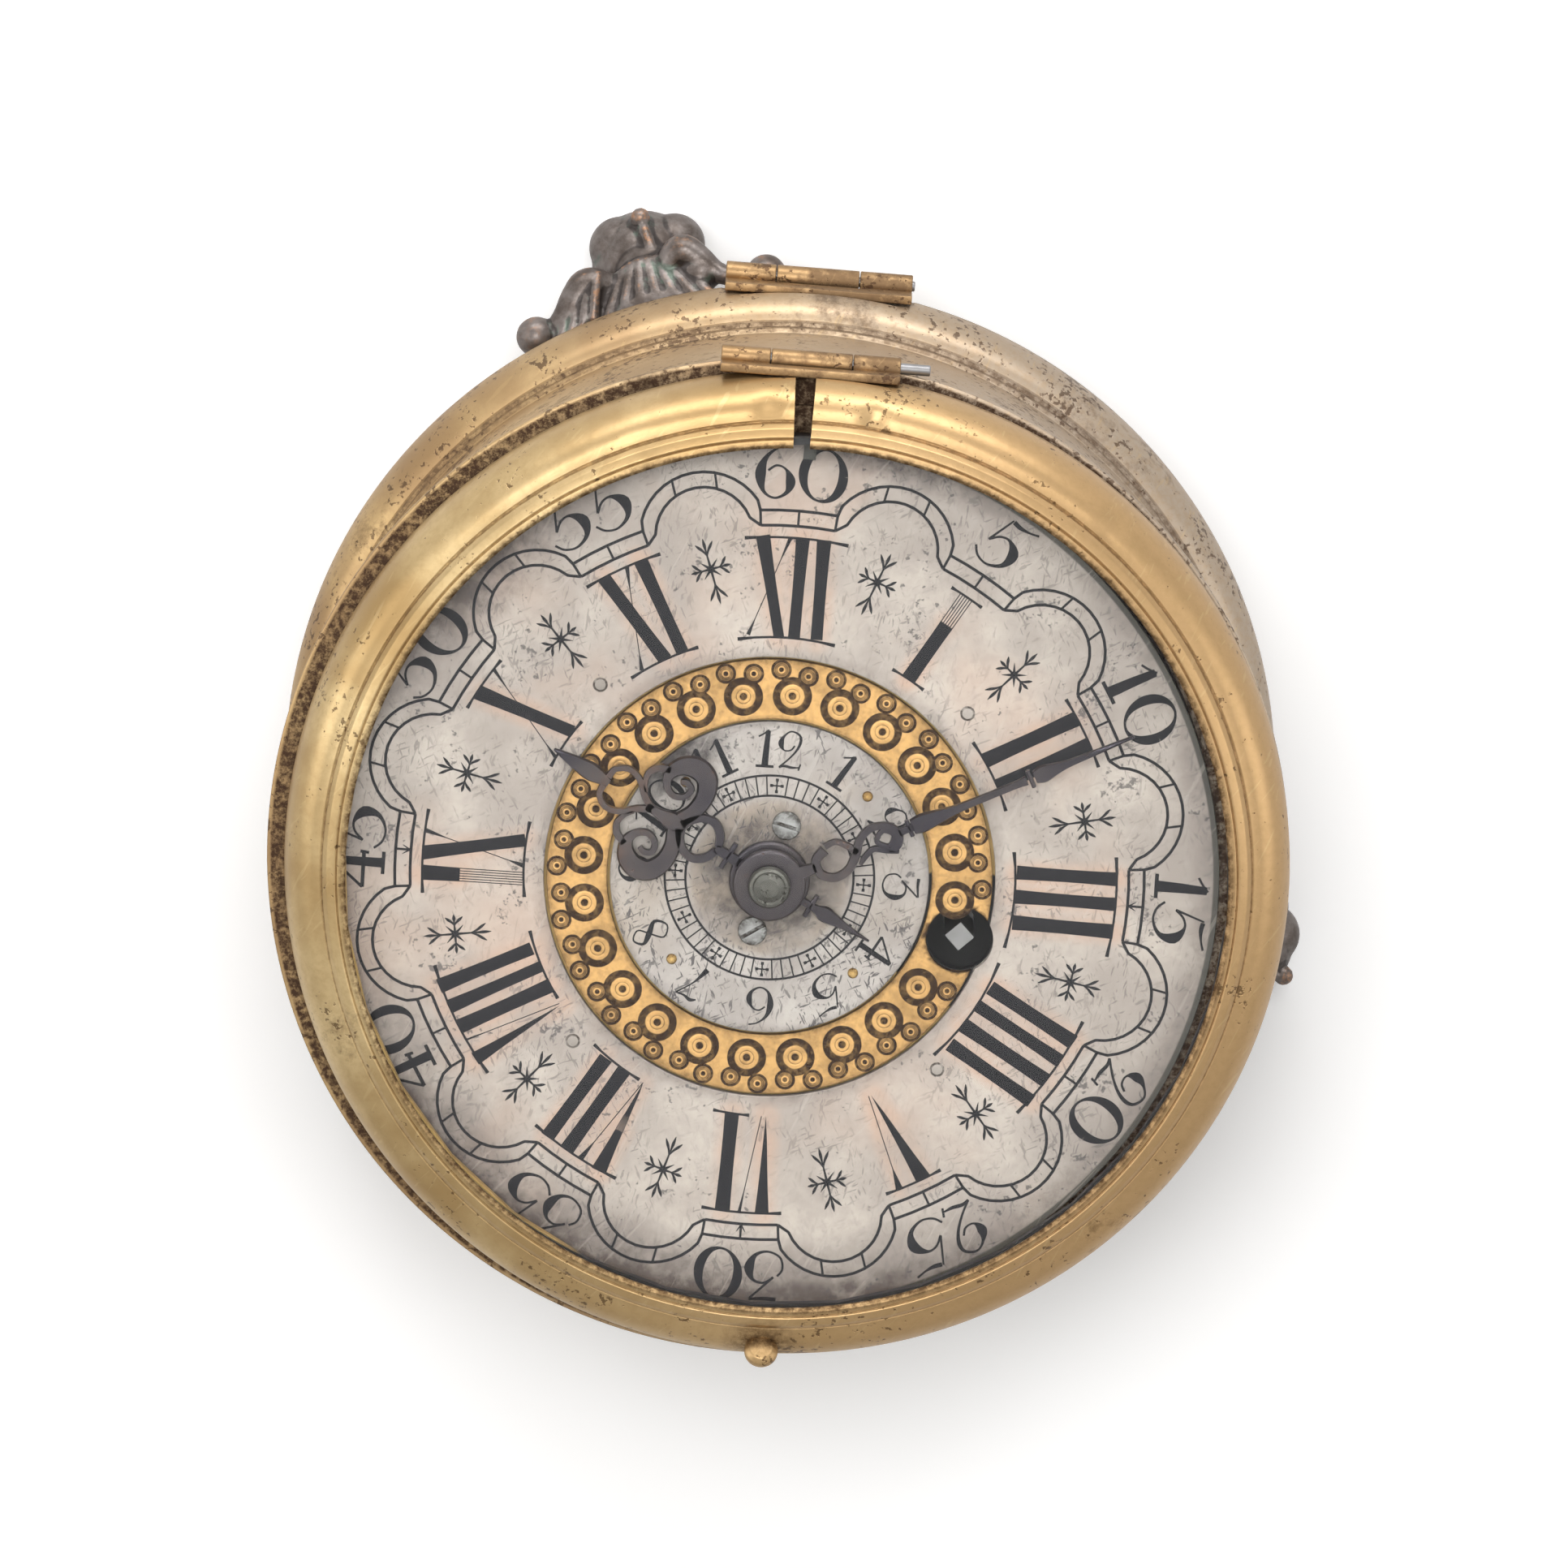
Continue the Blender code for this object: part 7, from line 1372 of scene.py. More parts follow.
@dataclass(frozen=True)
class Figures:
    """Old-style figures drawn with a broad pen, in shares of their height."""

    thin: float = 0.023
    stem: float = 0.095

    def strokes(self, figure: str) -> tuple[list[Stroke], float]:
        """Strokes of one figure and its width, for a height of 1."""
        n = self.thin
        t = self.stem
        shapes = {
            "0": ([flowing([(0.41 + 0.38 * math.cos(a), 0.5 + 0.5 * math.sin(a),
                             n + (t - n) * max(0.0, math.cos(a + 0.25)) ** 2
                             + (t - n) * max(0.0, -math.cos(a + 0.25)) ** 2)
                            for a in [math.tau * k / 16 for k in range(16)]], 3, True)], 0.84),
            "1": ([Stroke([(0.27, 0.98), (0.25, 0.5), (0.24, 0.02)], [t * 0.8, t, t * 1.15]),
                   flowing([(0.29, 1.0, n), (0.16, 0.89, n), (0.02, 0.80, n)], 4),
                   straight((0.0, 0.0), (0.48, 0.01), n * 1.6)], 0.50),
            "2": ([flowing([(0.40, 0.62, n), (0.30, 0.49, n), (0.12, 0.48, 0.02), (0.03, 0.66, t),
                            (0.10, 0.86, 0.03), (0.28, 1.0, n), (0.50, 0.92, 0.03), (0.55, 0.74, 0.04),
                            (0.46, 0.50, 0.03), (0.26, 0.24, n), (0.02, 0.01, n)], 4),
                   flowing([(0.02, 0.0, 0.015), (0.16, 0.05, 0.035), (0.36, 0.02, 0.035),
                            (0.54, 0.03, 0.015)], 4),
                   straight((0.59, 0.13), (0.54, -0.05), n)], 0.62),
            "3": ([flowing([(0.02, 0.95, 0.045), (0.25, 0.94, 0.035), (0.54, 0.97, n)], 4),
                   straight((0.53, 0.95), (0.10, 0.50), n, 0.025),
                   flowing([(0.12, 0.53, n), (0.30, 0.63, n), (0.50, 0.57, 0.035), (0.58, 0.34, t),
                            (0.48, 0.09, 0.04), (0.25, 0.0, n), (0.0, 0.10, n), (-0.06, 0.33, n),
                            (0.03, 0.48, n)], 4)], 0.62),
            "4": ([Stroke([(0.50, 0.98), (0.50, 0.02)], [t * 0.8, t]),
                   straight((0.0, 0.37), (0.70, 0.38), n * 1.6),
                   straight((0.50, 0.98), (0.0, 0.37), n * 1.2),
                   straight((0.28, 0.0), (0.72, 0.0), n * 1.5),
                   straight((0.70, 0.45), (0.68, 0.28), n * 1.3)], 0.74),
            "5": ([flowing([(0.26, 0.96, 0.045), (0.42, 0.93, 0.04), (0.62, 0.95, 0.02), (0.80, 1.0, n)], 4),
                   straight((0.24, 0.98), (0.04, 0.42), 0.018, 0.024),
                   flowing([(0.04, 0.42, n), (0.20, 0.58, n), (0.40, 0.61, 0.03), (0.60, 0.42, t * 1.1),
                            (0.54, 0.14, 0.045), (0.28, 0.0, n), (0.04, 0.05, n), (-0.10, 0.20, n)], 4)],
                  0.72),
            "6": ([flowing([(0.58, 1.04, n), (0.34, 0.97, 0.02), (0.12, 0.76, 0.045), (0.04, 0.45, t * 1.1),
                            (0.12, 0.12, 0.035), (0.34, 0.0, n), (0.56, 0.12, 0.04), (0.62, 0.34, t),
                            (0.52, 0.56, 0.025), (0.34, 0.63, n), (0.18, 0.52, n)], 4)], 0.68),
            "7": ([flowing([(0.02, 0.86, 0.02), (0.16, 0.95, 0.05), (0.36, 0.93, 0.03), (0.58, 0.98, n)], 4),
                   flowing([(0.58, 0.97, n), (0.34, 0.50, 0.022), (0.22, 0.0, t)], 4)], 0.60),
            "8": ([flowing([(0.50, 0.78, 0.022), (0.30, 1.0, n), (0.10, 0.80, 0.04), (0.28, 0.55, t),
                            (0.54, 0.26, 0.045), (0.30, 0.0, n), (0.04, 0.22, 0.024), (0.28, 0.52, n)],
                           4, True)], 0.60),
            "9": ([flowing([(0.04, -0.04, n), (0.30, 0.03, 0.02), (0.50, 0.24, 0.045), (0.58, 0.55, t * 1.1),
                            (0.50, 0.88, 0.035), (0.28, 1.0, n), (0.06, 0.88, 0.04), (0.0, 0.66, t),
                            (0.10, 0.44, 0.025), (0.28, 0.37, n), (0.44, 0.48, n)], 4)], 0.66),
        }
        return shapes[figure]

    def text(self, words: str, height: float, radius: float, degrees: float,
             gap: float = 0.14) -> list[Stroke]:
        """Strokes of a number whose feet point at the dial's centre.

        Args:
            words: The number.
            height: Height of its figures.
            radius: Radius of the middle of the figures.
            degrees: Angle clockwise from 12 o'clock.
            gap: Space between figures, as a share of their height.

        Returns:
            Strokes about the dial's centre.
        """
        shapes = [self.strokes(figure) for figure in words]
        width = sum(shape[1] for shape in shapes) + gap * (len(words) - 1)
        start = -width / 2
        placed = []
        for strokes, advance in shapes:
            for stroke in strokes:
                points = [((start + x) * height, radius + (y - 0.5) * height) for x, y in stroke.points]
                placed.append(Stroke(points, [half * height for half in stroke.halves]))
            start += advance + gap
        return rotated(placed, degrees)


def rotated(strokes: Iterable[Stroke], degrees: float, centre: Point = (0.0, 0.0)) -> list[Stroke]:
    """Strokes turned clockwise about a point."""
    cosine = math.cos(math.radians(degrees))
    sine = math.sin(math.radians(degrees))
    result = []
    for stroke in strokes:
        points = []
        for x, y in stroke.points:
            dx, dy = x - centre[0], y - centre[1]
            points.append((centre[0] + dx * cosine + dy * sine, centre[1] + dy * cosine - dx * sine))
        result.append(Stroke(points, list(stroke.halves)))
    return result


def ring_line(radius: float, half: float, steps: int = 180) -> Stroke:
    """Closed engraved circle."""
    points = [around(radius, 360.0 * index / steps) for index in range(steps + 1)]
    return Stroke(points, [half] * len(points))


@dataclass
class Numeral:
    """Roman numeral as drawn upright at 12 o'clock: broad strokes, hairlines and serif lines."""

    broad: list[tuple[float, float, float, float]]
    hair: list[tuple[float, float, float, float]] = field(default_factory=list)
    top: Point = (-2.0, 1.8)
    foot: Optional[Point] = (-2.0, 1.8)
    worn: list[tuple[int, float, float]] = field(default_factory=list)


# Each broad stroke: middle at its top, half width there, middle at its foot, half width there.
# Each hairline: its top, half width there, its foot, half width there.
NUMERALS = {
    0: Numeral([(-3.55, 0.75, -1.05, 0.55), (0.60, 0.72, 0.50, 0.62), (2.80, 0.75, 2.85, 0.62)],
               [(-0.66, 0.22, -4.25, 0.22)], (-5.4, 5.35), (-5.3, 4.8)),
    1: Numeral([(-0.15, 0.85, -0.15, 0.78)], [], (-2.0, 1.8), (-2.1, 1.8), [(0, 0.0, 0.34)]),
    2: Numeral([(-1.65, 0.82, -1.70, 0.82), (1.40, 0.80, 1.35, 0.80)], [], (-4.0, 4.0), (-4.0, 4.1)),
    3: Numeral([(-2.75, 0.75, -2.65, 0.75), (-0.07, 0.72, -0.07, 0.76), (2.85, 0.80, 2.70, 0.80)], [],
               (-5.1, 5.6), (-4.8, 5.5)),
    4: Numeral([(-3.50, 0.82, -3.40, 0.78), (-1.07, 0.74, -1.05, 0.68), (1.50, 0.80, 1.50, 0.82),
                (4.20, 0.75, 4.00, 0.76)], [], (-5.9, 6.1), (-6.1, 5.9)),
    5: Numeral([(-0.66, 0.82, 0.40, 0.04)], [(2.10, 0.40, 0.70, 0.05)], (-2.7, 3.6), None),
    6: Numeral([(-2.05, 0.74, -1.70, 0.04), (2.10, 0.80, 1.90, 0.75)], [(0.33, 0.18, -1.20, 0.05)],
               (-4.1, 4.3), (0.1, 3.9)),
    7: Numeral([(-3.15, 0.82, -1.65, 0.04), (0.90, 0.78, 0.80, 0.76), (3.35, 0.75, 3.10, 0.76)],
               [(-0.83, 0.33, -1.60, 0.05)], (-5.1, 5.1), (-1.1, 4.95), [(0, 0.46, 0.62)]),
    8: Numeral([(-4.35, 0.74, -3.00, 0.04), (-0.52, 0.80, -0.62, 0.78), (1.85, 0.77, 1.65, 0.60),
                (4.30, 0.80, 3.80, 0.70)], [(-2.10, 0.12, -2.75, 0.05)], (-6.3, 6.5), (-2.2, 5.6)),
    9: Numeral([(-2.30, 0.82, -2.15, 0.80), (-0.20, 0.76, 1.98, 0.68)], [(2.25, 0.26, -0.75, 0.26)],
               (-4.5, 4.5), (-4.1, 4.0), [(0, 0.38, 1.0)]),
    10: Numeral([(-0.90, 0.82, 1.25, 0.66)], [(2.10, 0.20, -2.00, 0.20)], (-2.9, 3.3), (-3.1, 2.7)),
    11: Numeral([(-1.78, 0.72, 0.25, 0.75), (2.45, 0.76, 2.20, 0.66)], [(0.90, 0.24, -2.45, 0.24)],
                (-3.8, 4.6), (-3.8, 3.9)),
}


@dataclass
class Dial(Assembly):
    """Silvered chapter ring with its engraving and rivets, gilt ring and alarm disc."""

    silver: bpy.types.Material
    inner_silver: bpy.types.Material
    wax: bpy.types.Material
    ornament: bpy.types.Material
    rivet_metal: bpy.types.Material
    brass: bpy.types.Material
    steel: bpy.types.Material
    axis: Vector
    figures: Figures = field(default_factory=Figures)
    alarm_figures: Figures = field(default_factory=lambda: Figures(stem=0.078))
    radius: float = 46.8
    inner_radius: float = 23.5
    ornament_radius: float = 23.2
    ornament_bore: float = 16.9
    disc_radius: float = 16.6
    winding_reach: float = 20.9
    winding_angle: float = 103.9
    winding_radius: float = 3.5
    arcade_line: float = 37.4
    arcade_depth: float = 1.6
    arch_radius: float = 5.05
    arch_reach: float = 36.95
    line_half: float = 0.155
    numeral_top: float = 36.15
    numeral_foot: float = 25.6
    minute_height: float = 5.45
    minute_reach: float = 42.9
    alarm_height: float = 3.9
    alarm_reach: float = 13.75
    track_outer: float = 10.9
    track_inner: float = 8.75

    def winding_tool(self, top: float) -> bpy.types.Object:
        """Round tool for the winding hole."""
        place = place_at(self.axis, self.winding_reach, self.winding_angle, 0)
        outline = [(0, top + 2), (self.winding_radius, top + 2), (self.winding_radius, top - 4), (0, top - 4)]
        return turned("winding_tool", outline, place, 64, closed=False)

    def plate(self, name: str, outer: float, inner: float, bottom: float, top: float, rows: int,
              steps: int) -> bpy.types.Object:
        """Flat ring with many rows of points on its face, so that tones can be painted on it."""
        face = [(outer + (inner - outer) * index / rows, top) for index in range(1, rows)]
        corners = [(outer, top - 0.06), (outer - 0.06, top)]
        outline = [(inner, bottom), (outer, bottom)] + corners + face + [(inner + 0.06, top), (inner, top - 0.06)]
        return turned(name, outline, self.axis, steps)

    def numeral_lines(self) -> list[tuple[int, Stroke]]:
        """Broad strokes and hairlines of the numerals, with their hour."""
        lines = []
        tall = self.numeral_top - self.numeral_foot
        for hour, numeral in NUMERALS.items():
            for index, (x0, w0, x1, w1) in enumerate(numeral.broad):
                gaps = [(a, b) for number, a, b in numeral.worn if number == index]
                spans = [(0.0, 1.0)] if not gaps else [(0.0, gaps[0][0]), (gaps[0][1], 1.0)]
                for start, end in spans:
                    if end - start < 0.02:
                        continue
                    points = []
                    halves = []
                    for step in range(5):
                        share = start + (end - start) * step / 4
                        waist = 1.0 - 0.10 * math.sin(math.pi * share)
                        points.append((x0 + (x1 - x0) * share, self.numeral_top - tall * share))
                        halves.append((w0 + (w1 - w0) * share) * waist)
                    lines.append((hour, Stroke(points, halves)))
                for start, end in gaps:
                    for line in range(6):
                        offset = (line - 2.5) / 3.0
                        ends = []
                        for share in (start, end):
                            half = w0 + (w1 - w0) * share
                            ends.append((x0 + (x1 - x0) * share + offset * half,
                                         self.numeral_top - tall * share))
                        lines.append((hour, straight(ends[0], ends[1], 0.05)))
            for x0, w0, x1, w1 in numeral.hair:
                middle = (x0 + x1) / 2
                height = (self.numeral_top + self.numeral_foot) / 2
                thick = 0.05
                lines.append((hour, Stroke([(x0, self.numeral_top), (x0 + (middle - x0) * 0.45,
                                                                      self.numeral_top - tall * 0.22),
                                            (middle, height), (x1 + (middle - x1) * 0.3,
                                                               self.numeral_foot + tall * 0.15),
                                            (x1, self.numeral_foot)],
                                           [w0, thick, thick, thick, w1])))
        return lines

    def serif_lines(self) -> list[tuple[int, Stroke]]:
        """Long thin lines across the tops and feet of the numerals."""
        lines = []
        for hour, numeral in NUMERALS.items():
            for span, reach in ((numeral.top, self.numeral_top), (numeral.foot, self.numeral_foot)):
                if span is None:
                    continue
                points = []
                for step in range(7):
                    x = span[0] + (span[1] - span[0]) * step / 6
                    points.append((x, math.sqrt(reach * reach - x * x)))
                half = self.line_half * 0.8
                lines.append((hour, Stroke(points, [half * 1.6] + [half] * 5 + [half * 1.6])))
        return lines

    def arcade(self) -> list[Stroke]:
        """Arcaded minute ring: flats at the five minutes, arches between, and its ticks."""
        lines = []
        flat_half = 5.9
        outer = self.arcade_line + self.arcade_depth
        for hour in range(12):
            base = hour * 30.0
            for radius in (self.arcade_line, outer):
                span = [around(radius, base + flat_half * share) for share in (-1, -0.5, 0, 0.5, 1)]
                lines.append(Stroke(span, [self.line_half] * 5))
            lines.append(straight(around(self.arcade_line, base), around(outer, base), self.line_half * 0.8))
            for side in (-1, 1):
                lines.append(straight(around(self.arcade_line, base + side * flat_half),
                                      around(outer, base + side * flat_half), self.line_half * 0.9))
            middle = around(self.arch_reach, base + 15.0)
            for depth in (0.0, self.arcade_depth):
                reach = self.arch_radius + depth
                points = self.arch_points(middle, base + 15.0, reach, self.arcade_line + depth,
                                          base + flat_half, base + 30.0 - flat_half)
                lines.append(Stroke(points, [self.line_half] * len(points)))
            for side in (-3.0, 3.0):
                lines.append(self.arch_tick(middle, base + 15.0 + side))
        return lines

    def arch_points(self, middle: Point, degrees: float, reach: float, line: float, start: float,
                    end: float) -> list[Point]:
        """Points of one arch from the end of one flat to the start of the next."""
        first = around(line, start)
        last = around(line, end)
        from_angle = math.degrees(math.atan2(first[0] - middle[0], first[1] - middle[1])) - degrees
        to_angle = math.degrees(math.atan2(last[0] - middle[0], last[1] - middle[1])) - degrees
        from_angle = (from_angle + 180) % 360 - 180
        to_angle = (to_angle + 180) % 360 - 180
        points = [first]
        for step in range(1, 16):
            angle = from_angle + (to_angle - from_angle) * step / 16
            points.append(around(reach, degrees + angle, middle))
        points.append(last)
        return points

    def arch_tick(self, middle: Point, degrees: float) -> Stroke:
        """Tick across an arch at a whole minute."""
        ends = []
        for reach in (self.arch_radius, self.arch_radius + self.arcade_depth):
            low, high = self.arch_reach, self.radius
            for _ in range(24):
                guess = (low + high) / 2
                x, y = around(guess, degrees)
                if math.hypot(x - middle[0], y - middle[1]) < reach:
                    low = guess
                else:
                    high = guess
            ends.append(around(low, degrees))
        return straight(ends[0], ends[1], self.line_half * 0.8)

    def florets(self) -> list[Stroke]:
        """Small star of leaves at each half hour, and arrow marks at the quarters."""
        lines = []
        for hour in range(12):
            degrees = hour * 30.0 + 15.0
            lean = (6.0, -3.0, 2.0, -5.0)[hour % 4]
            own = []
            for arm, length in ((0, 3.3), (90, 2.1), (180, 3.8), (270, 2.1)):
                spine = [(0, 0.2, 0.14), (0, length * 0.55, 0.09), (0, length * 0.80, 0.17), (0, length, 0.03)]
                leaves = [flowing(spine, 4)]
                for side in (-1, 1):
                    reach = length * 0.86
                    leaves.append(flowing([(0, length * 0.42, 0.04), (side * 0.26, length * 0.60, 0.12),
                                           (side * 0.62, reach * 0.86, 0.15), (side * 0.92, reach, 0.04)], 4))
                own += rotated(leaves, arm)
            for diagonal in (45, 135, 225, 315):
                own += rotated([straight((0, 0), (0, 1.3), 0.20, 0.02)], diagonal)
            own += [flowing([(0.16 * math.cos(a), 0.16 * math.sin(a), 0.16)
                             for a in (0, math.pi / 2, math.pi, 3 * math.pi / 2)], 4, True)]
            own = rotated(own, lean)
            moved = [Stroke([(x, y + 33.3) for x, y in stroke.points], stroke.halves) for stroke in own]
            lines += rotated(moved, degrees)
        for quarter in (90, 180, 270):
            for lean, length in ((-32, 0.9), (0, 1.15), (32, 0.9)):
                foot = (0.0, self.arcade_line + 0.1)
                tip = (length * math.sin(math.radians(lean)), foot[1] + length * math.cos(math.radians(lean)))
                lines += rotated([straight(foot, tip, 0.11, 0.03)], quarter)
        return lines

    def alarm_lines(self) -> list[Stroke]:
        """Alarm disc's figures and its graduated ring."""
        lines = [ring_line(self.track_outer, 0.12), ring_line(self.track_inner, 0.12)]
        middle = (self.track_outer + self.track_inner) / 2
        for hour in range(12):
            base = hour * 30.0
            for step in range(1, 5):
                angle = base + step * 6.0
                lines.append(straight(around(self.track_inner, angle), around(self.track_outer, angle), 0.075))
            cross = [straight((0, -0.65), (0, 0.65), 0.08), straight((-0.55, 0), (0.55, 0), 0.08)]
            for x, y in ((0, 0.62), (0, -0.62), (0.55, 0), (-0.55, 0)):
                cross.append(straight((x - 0.16, y), (x + 0.16, y), 0.16))
            moved = [Stroke([(x, y + middle) for x, y in stroke.points], stroke.halves) for stroke in cross]
            lines += rotated(moved, base)
            lines += self.alarm_figures.text(str(hour or 12), self.alarm_height, self.alarm_reach, base, 0.10)
        return lines

    def bloom_near(self, places: np.ndarray, lines: list[tuple[int, Stroke]], reach: float) -> np.ndarray:
        """How close each point of the ring lies to the broad strokes of the numerals, 0 to 1."""
        x = (places[:, 0] - self.axis.x) / MM
        y = (places[:, 1] - self.axis.y) / MM
        result = np.zeros(len(places))
        for hour, stroke in lines:
            if max(stroke.halves) < 0.3:
                continue
            (ax, ay), (bx, by) = rotated([stroke], hour * 30.0)[0].points[::len(stroke.points) - 1]
            half = max(stroke.halves)
            along = np.array([bx - ax, by - ay])
            length = float(np.hypot(*along)) or 1.0
            t = np.clip(((x - ax) * along[0] + (y - ay) * along[1]) / length ** 2, 0, 1)
            gap = np.hypot(x - ax - along[0] * t, y - ay - along[1] * t) - half
            result = np.maximum(result, np.clip(1.0 - gap / reach, 0, 1))
        return result

    def build_chapter(self) -> None:
        """Chapter ring with its bloom, engraving and rivets."""
        low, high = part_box("chapter_ring")
        face = high.z / MM - 0.05
        ring = self.plate("silvered_ring", self.radius, self.inner_radius, low.z / MM, face, 48, 540)
        cut(ring, self.winding_tool(face))
        settle(ring, "silvered_ring")
        lines = self.numeral_lines()
        places = points_of(ring)
        paint(ring, "bloom", self.bloom_near(places, lines, 1.1) * 0.75)
        radii = np.hypot(places[:, 0] - self.axis.x, places[:, 1] - self.axis.y) / MM
        angles = np.degrees(np.arctan2(places[:, 0] - self.axis.x, places[:, 1] - self.axis.y))
        inner = np.clip((25.0 - radii) / 1.5, 0, 1) * 0.55
        left_top = np.clip((radii - 38.5) / 5.0, 0, 1) * np.clip(1 - np.abs(angles + 50) / 26, 0, 1) * 1.3
        top_right = np.clip((radii - 43.0) / 3.0, 0, 1) * np.clip(1 - np.abs(angles - 10) / 16, 0, 1) * 0.9
        # Towards the lower left the ring's outer part darkens smoothly: grime together with painted shade of the
        # bezel.
        round_foot = np.abs((angles - 205 + 180) % 360 - 180)
        lower_left_dirt_and_shade = np.clip((radii - 38.5) / 6.0, 0, 1) * np.clip(1.5 - round_foot / 50, 0, 1) * 1.1
        paint(ring, "dirt", np.maximum(np.maximum(inner, left_top), np.maximum(top_right, lower_left_dirt_and_shade)))
        self.fit(ring, self.silver, "silvered_brass", Body.CASE, "chapter_ring")
        strokes = [stroke for hour, line in lines + self.serif_lines() for stroke in rotated([line], hour * 30.0)]
        engraved = drawn("roman_numerals", strokes, self.axis, face - 0.02, face + 0.02)
        self.fit(engraved, self.wax, "dark_steel", Body.CASE)
        ring_lines = drawn("minute_ring", self.arcade() + self.florets(), self.axis, face - 0.02, face + 0.02)
        self.fit(ring_lines, self.wax, "dark_steel", Body.CASE)
        numbers: list[Stroke] = []
        for hour in range(12):
            numbers += self.figures.text(str(hour * 5 or 60), self.minute_height, self.minute_reach, hour * 30.0)
        figures = drawn("minute_figures", numbers, self.axis, face - 0.02, face + 0.02)
        self.fit(figures, self.wax, "dark_steel", Body.CASE)
        heads = []
        for index in range(4):
            place = place_at(self.axis, 27.0, 45.0 + 90.0 * index, 0)
            outline = softened([(0.0, face + 0.045, 0), (0.55, face + 0.045, 0.05), (0.62, face + 0.005, 0),
                                (0.78, face + 0.005, 0), (0.80, face - 0.1, 0), (0.0, face - 0.1, 0)])
            head = turned("rivet", outline, place, 32, closed=False)
            spread_grime(head, place, ((0.56, 0.9, face - 1.0, face + 1.0, 1.0),))
            heads.append(head)
        self.fit(joined("chapter_rivets", heads), self.rivet_metal, "steel", Body.CASE)

    def roundel(self, name: str, place: Vector, radius: float, face: float, rings: Sequence[Point],
                steps: int) -> bpy.types.Object:
        """Turned roundel with tones painted from its middle to its rim.

        Args:
            name: Name of the piece.
            place: Its middle, in metres.
            radius: Its radius.
            face: Height of the surface round it.
            rings: Share of the radius and darkness of each turned ring, from the middle outwards.
            steps: Facets round it.

        Returns:
            The roundel.
        """
        outline = [(0.0, face + 0.01)]
        for share, dark in rings[1:]:
            outline.append((radius * share, face + 0.035 - 0.025 * dark))
        outline += [(radius, face - 0.03), (0.0, face - 0.06)]
        piece = turned(name, outline, place, steps, closed=False, smooth_angle=60.0)
        places = points_of(piece)
        radii = np.hypot(places[:, 0] - place.x, places[:, 1] - place.y) / MM / radius
        shares = [share for share, _ in rings]
        darks = [dark for _, dark in rings]
        paint(piece, "dirt", np.interp(radii, shares, darks))
        return piece

    def build_ornament(self) -> None:
        """Gilt ring covered with punched roundels."""
        low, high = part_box("ornament_ring")
        face = high.z / MM - 0.04
        ring = self.plate("gilt_ring", self.ornament_radius, self.ornament_bore, low.z / MM, face, 12, 240)
        cut(ring, self.winding_tool(face))
        settle(ring, "gilt_ring")
        places = points_of(ring)
        radii = np.hypot(places[:, 0] - self.axis.x, places[:, 1] - self.axis.y) / MM
        edges = np.clip((radii - 22.3) / 0.9, 0, 1) * 0.5 + np.clip((17.4 - radii) / 0.5, 0, 1) * 0.5
        hole = place_at(self.axis, self.winding_reach, self.winding_angle, 0)
        gap = np.hypot(places[:, 0] - hole.x, places[:, 1] - hole.y) / MM
        # The wall of the winding hole is painted fully dark: old dirt together with painted shade in the hole.
        paint(ring, "dirt", np.where(gap < self.winding_radius + 0.12, 1.0, np.clip(edges + 0.08, 0, 1)))
        self.fit(ring, self.ornament, "gilt_brass", Body.CASE, "ornament_ring")
        large = ((0.0, 1.0), (0.17, 1.0), (0.22, 0.1), (0.32, 0.0), (0.36, 0.65), (0.41, 0.0),
                 (0.58, 0.0), (0.64, 0.9), (0.95, 1.0), (1.0, 0.9))
        small = ((0.0, 1.0), (0.20, 1.0), (0.26, 0.1), (0.38, 0.2), (0.44, 0.95), (0.52, 0.45), (0.60, 0.9),
                 (0.68, 0.5), (0.76, 1.0), (0.95, 1.0), (1.0, 0.9))
        pieces = []
        for index in range(24):
            angle = 2.5 + index * 15.0
            if abs(angle - self.winding_angle) > 9.0:
                place = place_at(self.axis, 19.45, angle, 0)
                pieces.append(self.roundel("roundel", place, 2.05, face, large, 28))
        for index in range(48):
            angle = 6.2 + index * 7.5
            if abs(angle - self.winding_angle) > 10.5:
                place = place_at(self.axis, 22.15 if index % 2 else 21.75, angle, 0)
                pieces.append(self.roundel("roundel", place, 1.08, face, small, 18))
        self.fit(joined("roundels", pieces), self.ornament, "gilt_brass", Body.CASE)

    def build_alarm_disc(self) -> None:
        """Alarm disc with its engraving, screws and pins."""
        low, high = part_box("alarm_disc")
        face = top_of("ornament_ring")
        disc = self.plate("alarm_plate", self.disc_radius, 3.05, low.z / MM, face, 40, 240)
        places = points_of(disc)
        radii = np.hypot(places[:, 0] - self.axis.x, places[:, 1] - self.axis.y) / MM
        angles = np.degrees(np.arctan2(places[:, 0] - self.axis.x, places[:, 1] - self.axis.y))
        centre = np.clip((9.4 - radii) / 4.0, 0, 1) * 0.9
        black = np.clip((radii - 13.6) / 0.8, 0, 1) * np.clip(1.6 - np.abs(angles + 42) / 16, 0, 1) * 1.2
        rim = np.clip((radii - 15.8) / 0.8, 0, 1) * 0.5
        paint(disc, "dirt", np.clip(np.maximum(np.maximum(centre, black), rim), 0, 1.4))
        paint(disc, "bloom", np.clip((8.7 - radii) / 1.0, 0, 1) * 0.6)
        self.fit(disc, self.inner_silver, "silvered_brass", Body.ALARM, "alarm_disc")
        engraved = drawn("alarm_figures", self.alarm_lines(), self.axis, face - 0.02, face + 0.02)
        self.fit(engraved, self.wax, "dark_steel", Body.ALARM)
        pins = []
        for index in range(4):
            place = place_at(self.axis, 13.4, 45.0 + 90.0 * index, 0)
            outline = softened([(0, face + 0.3, 0), (0.55, face + 0.3, 0.22), (0.55, face - 0.2, 0),
                                (0, face - 0.2, 0)])
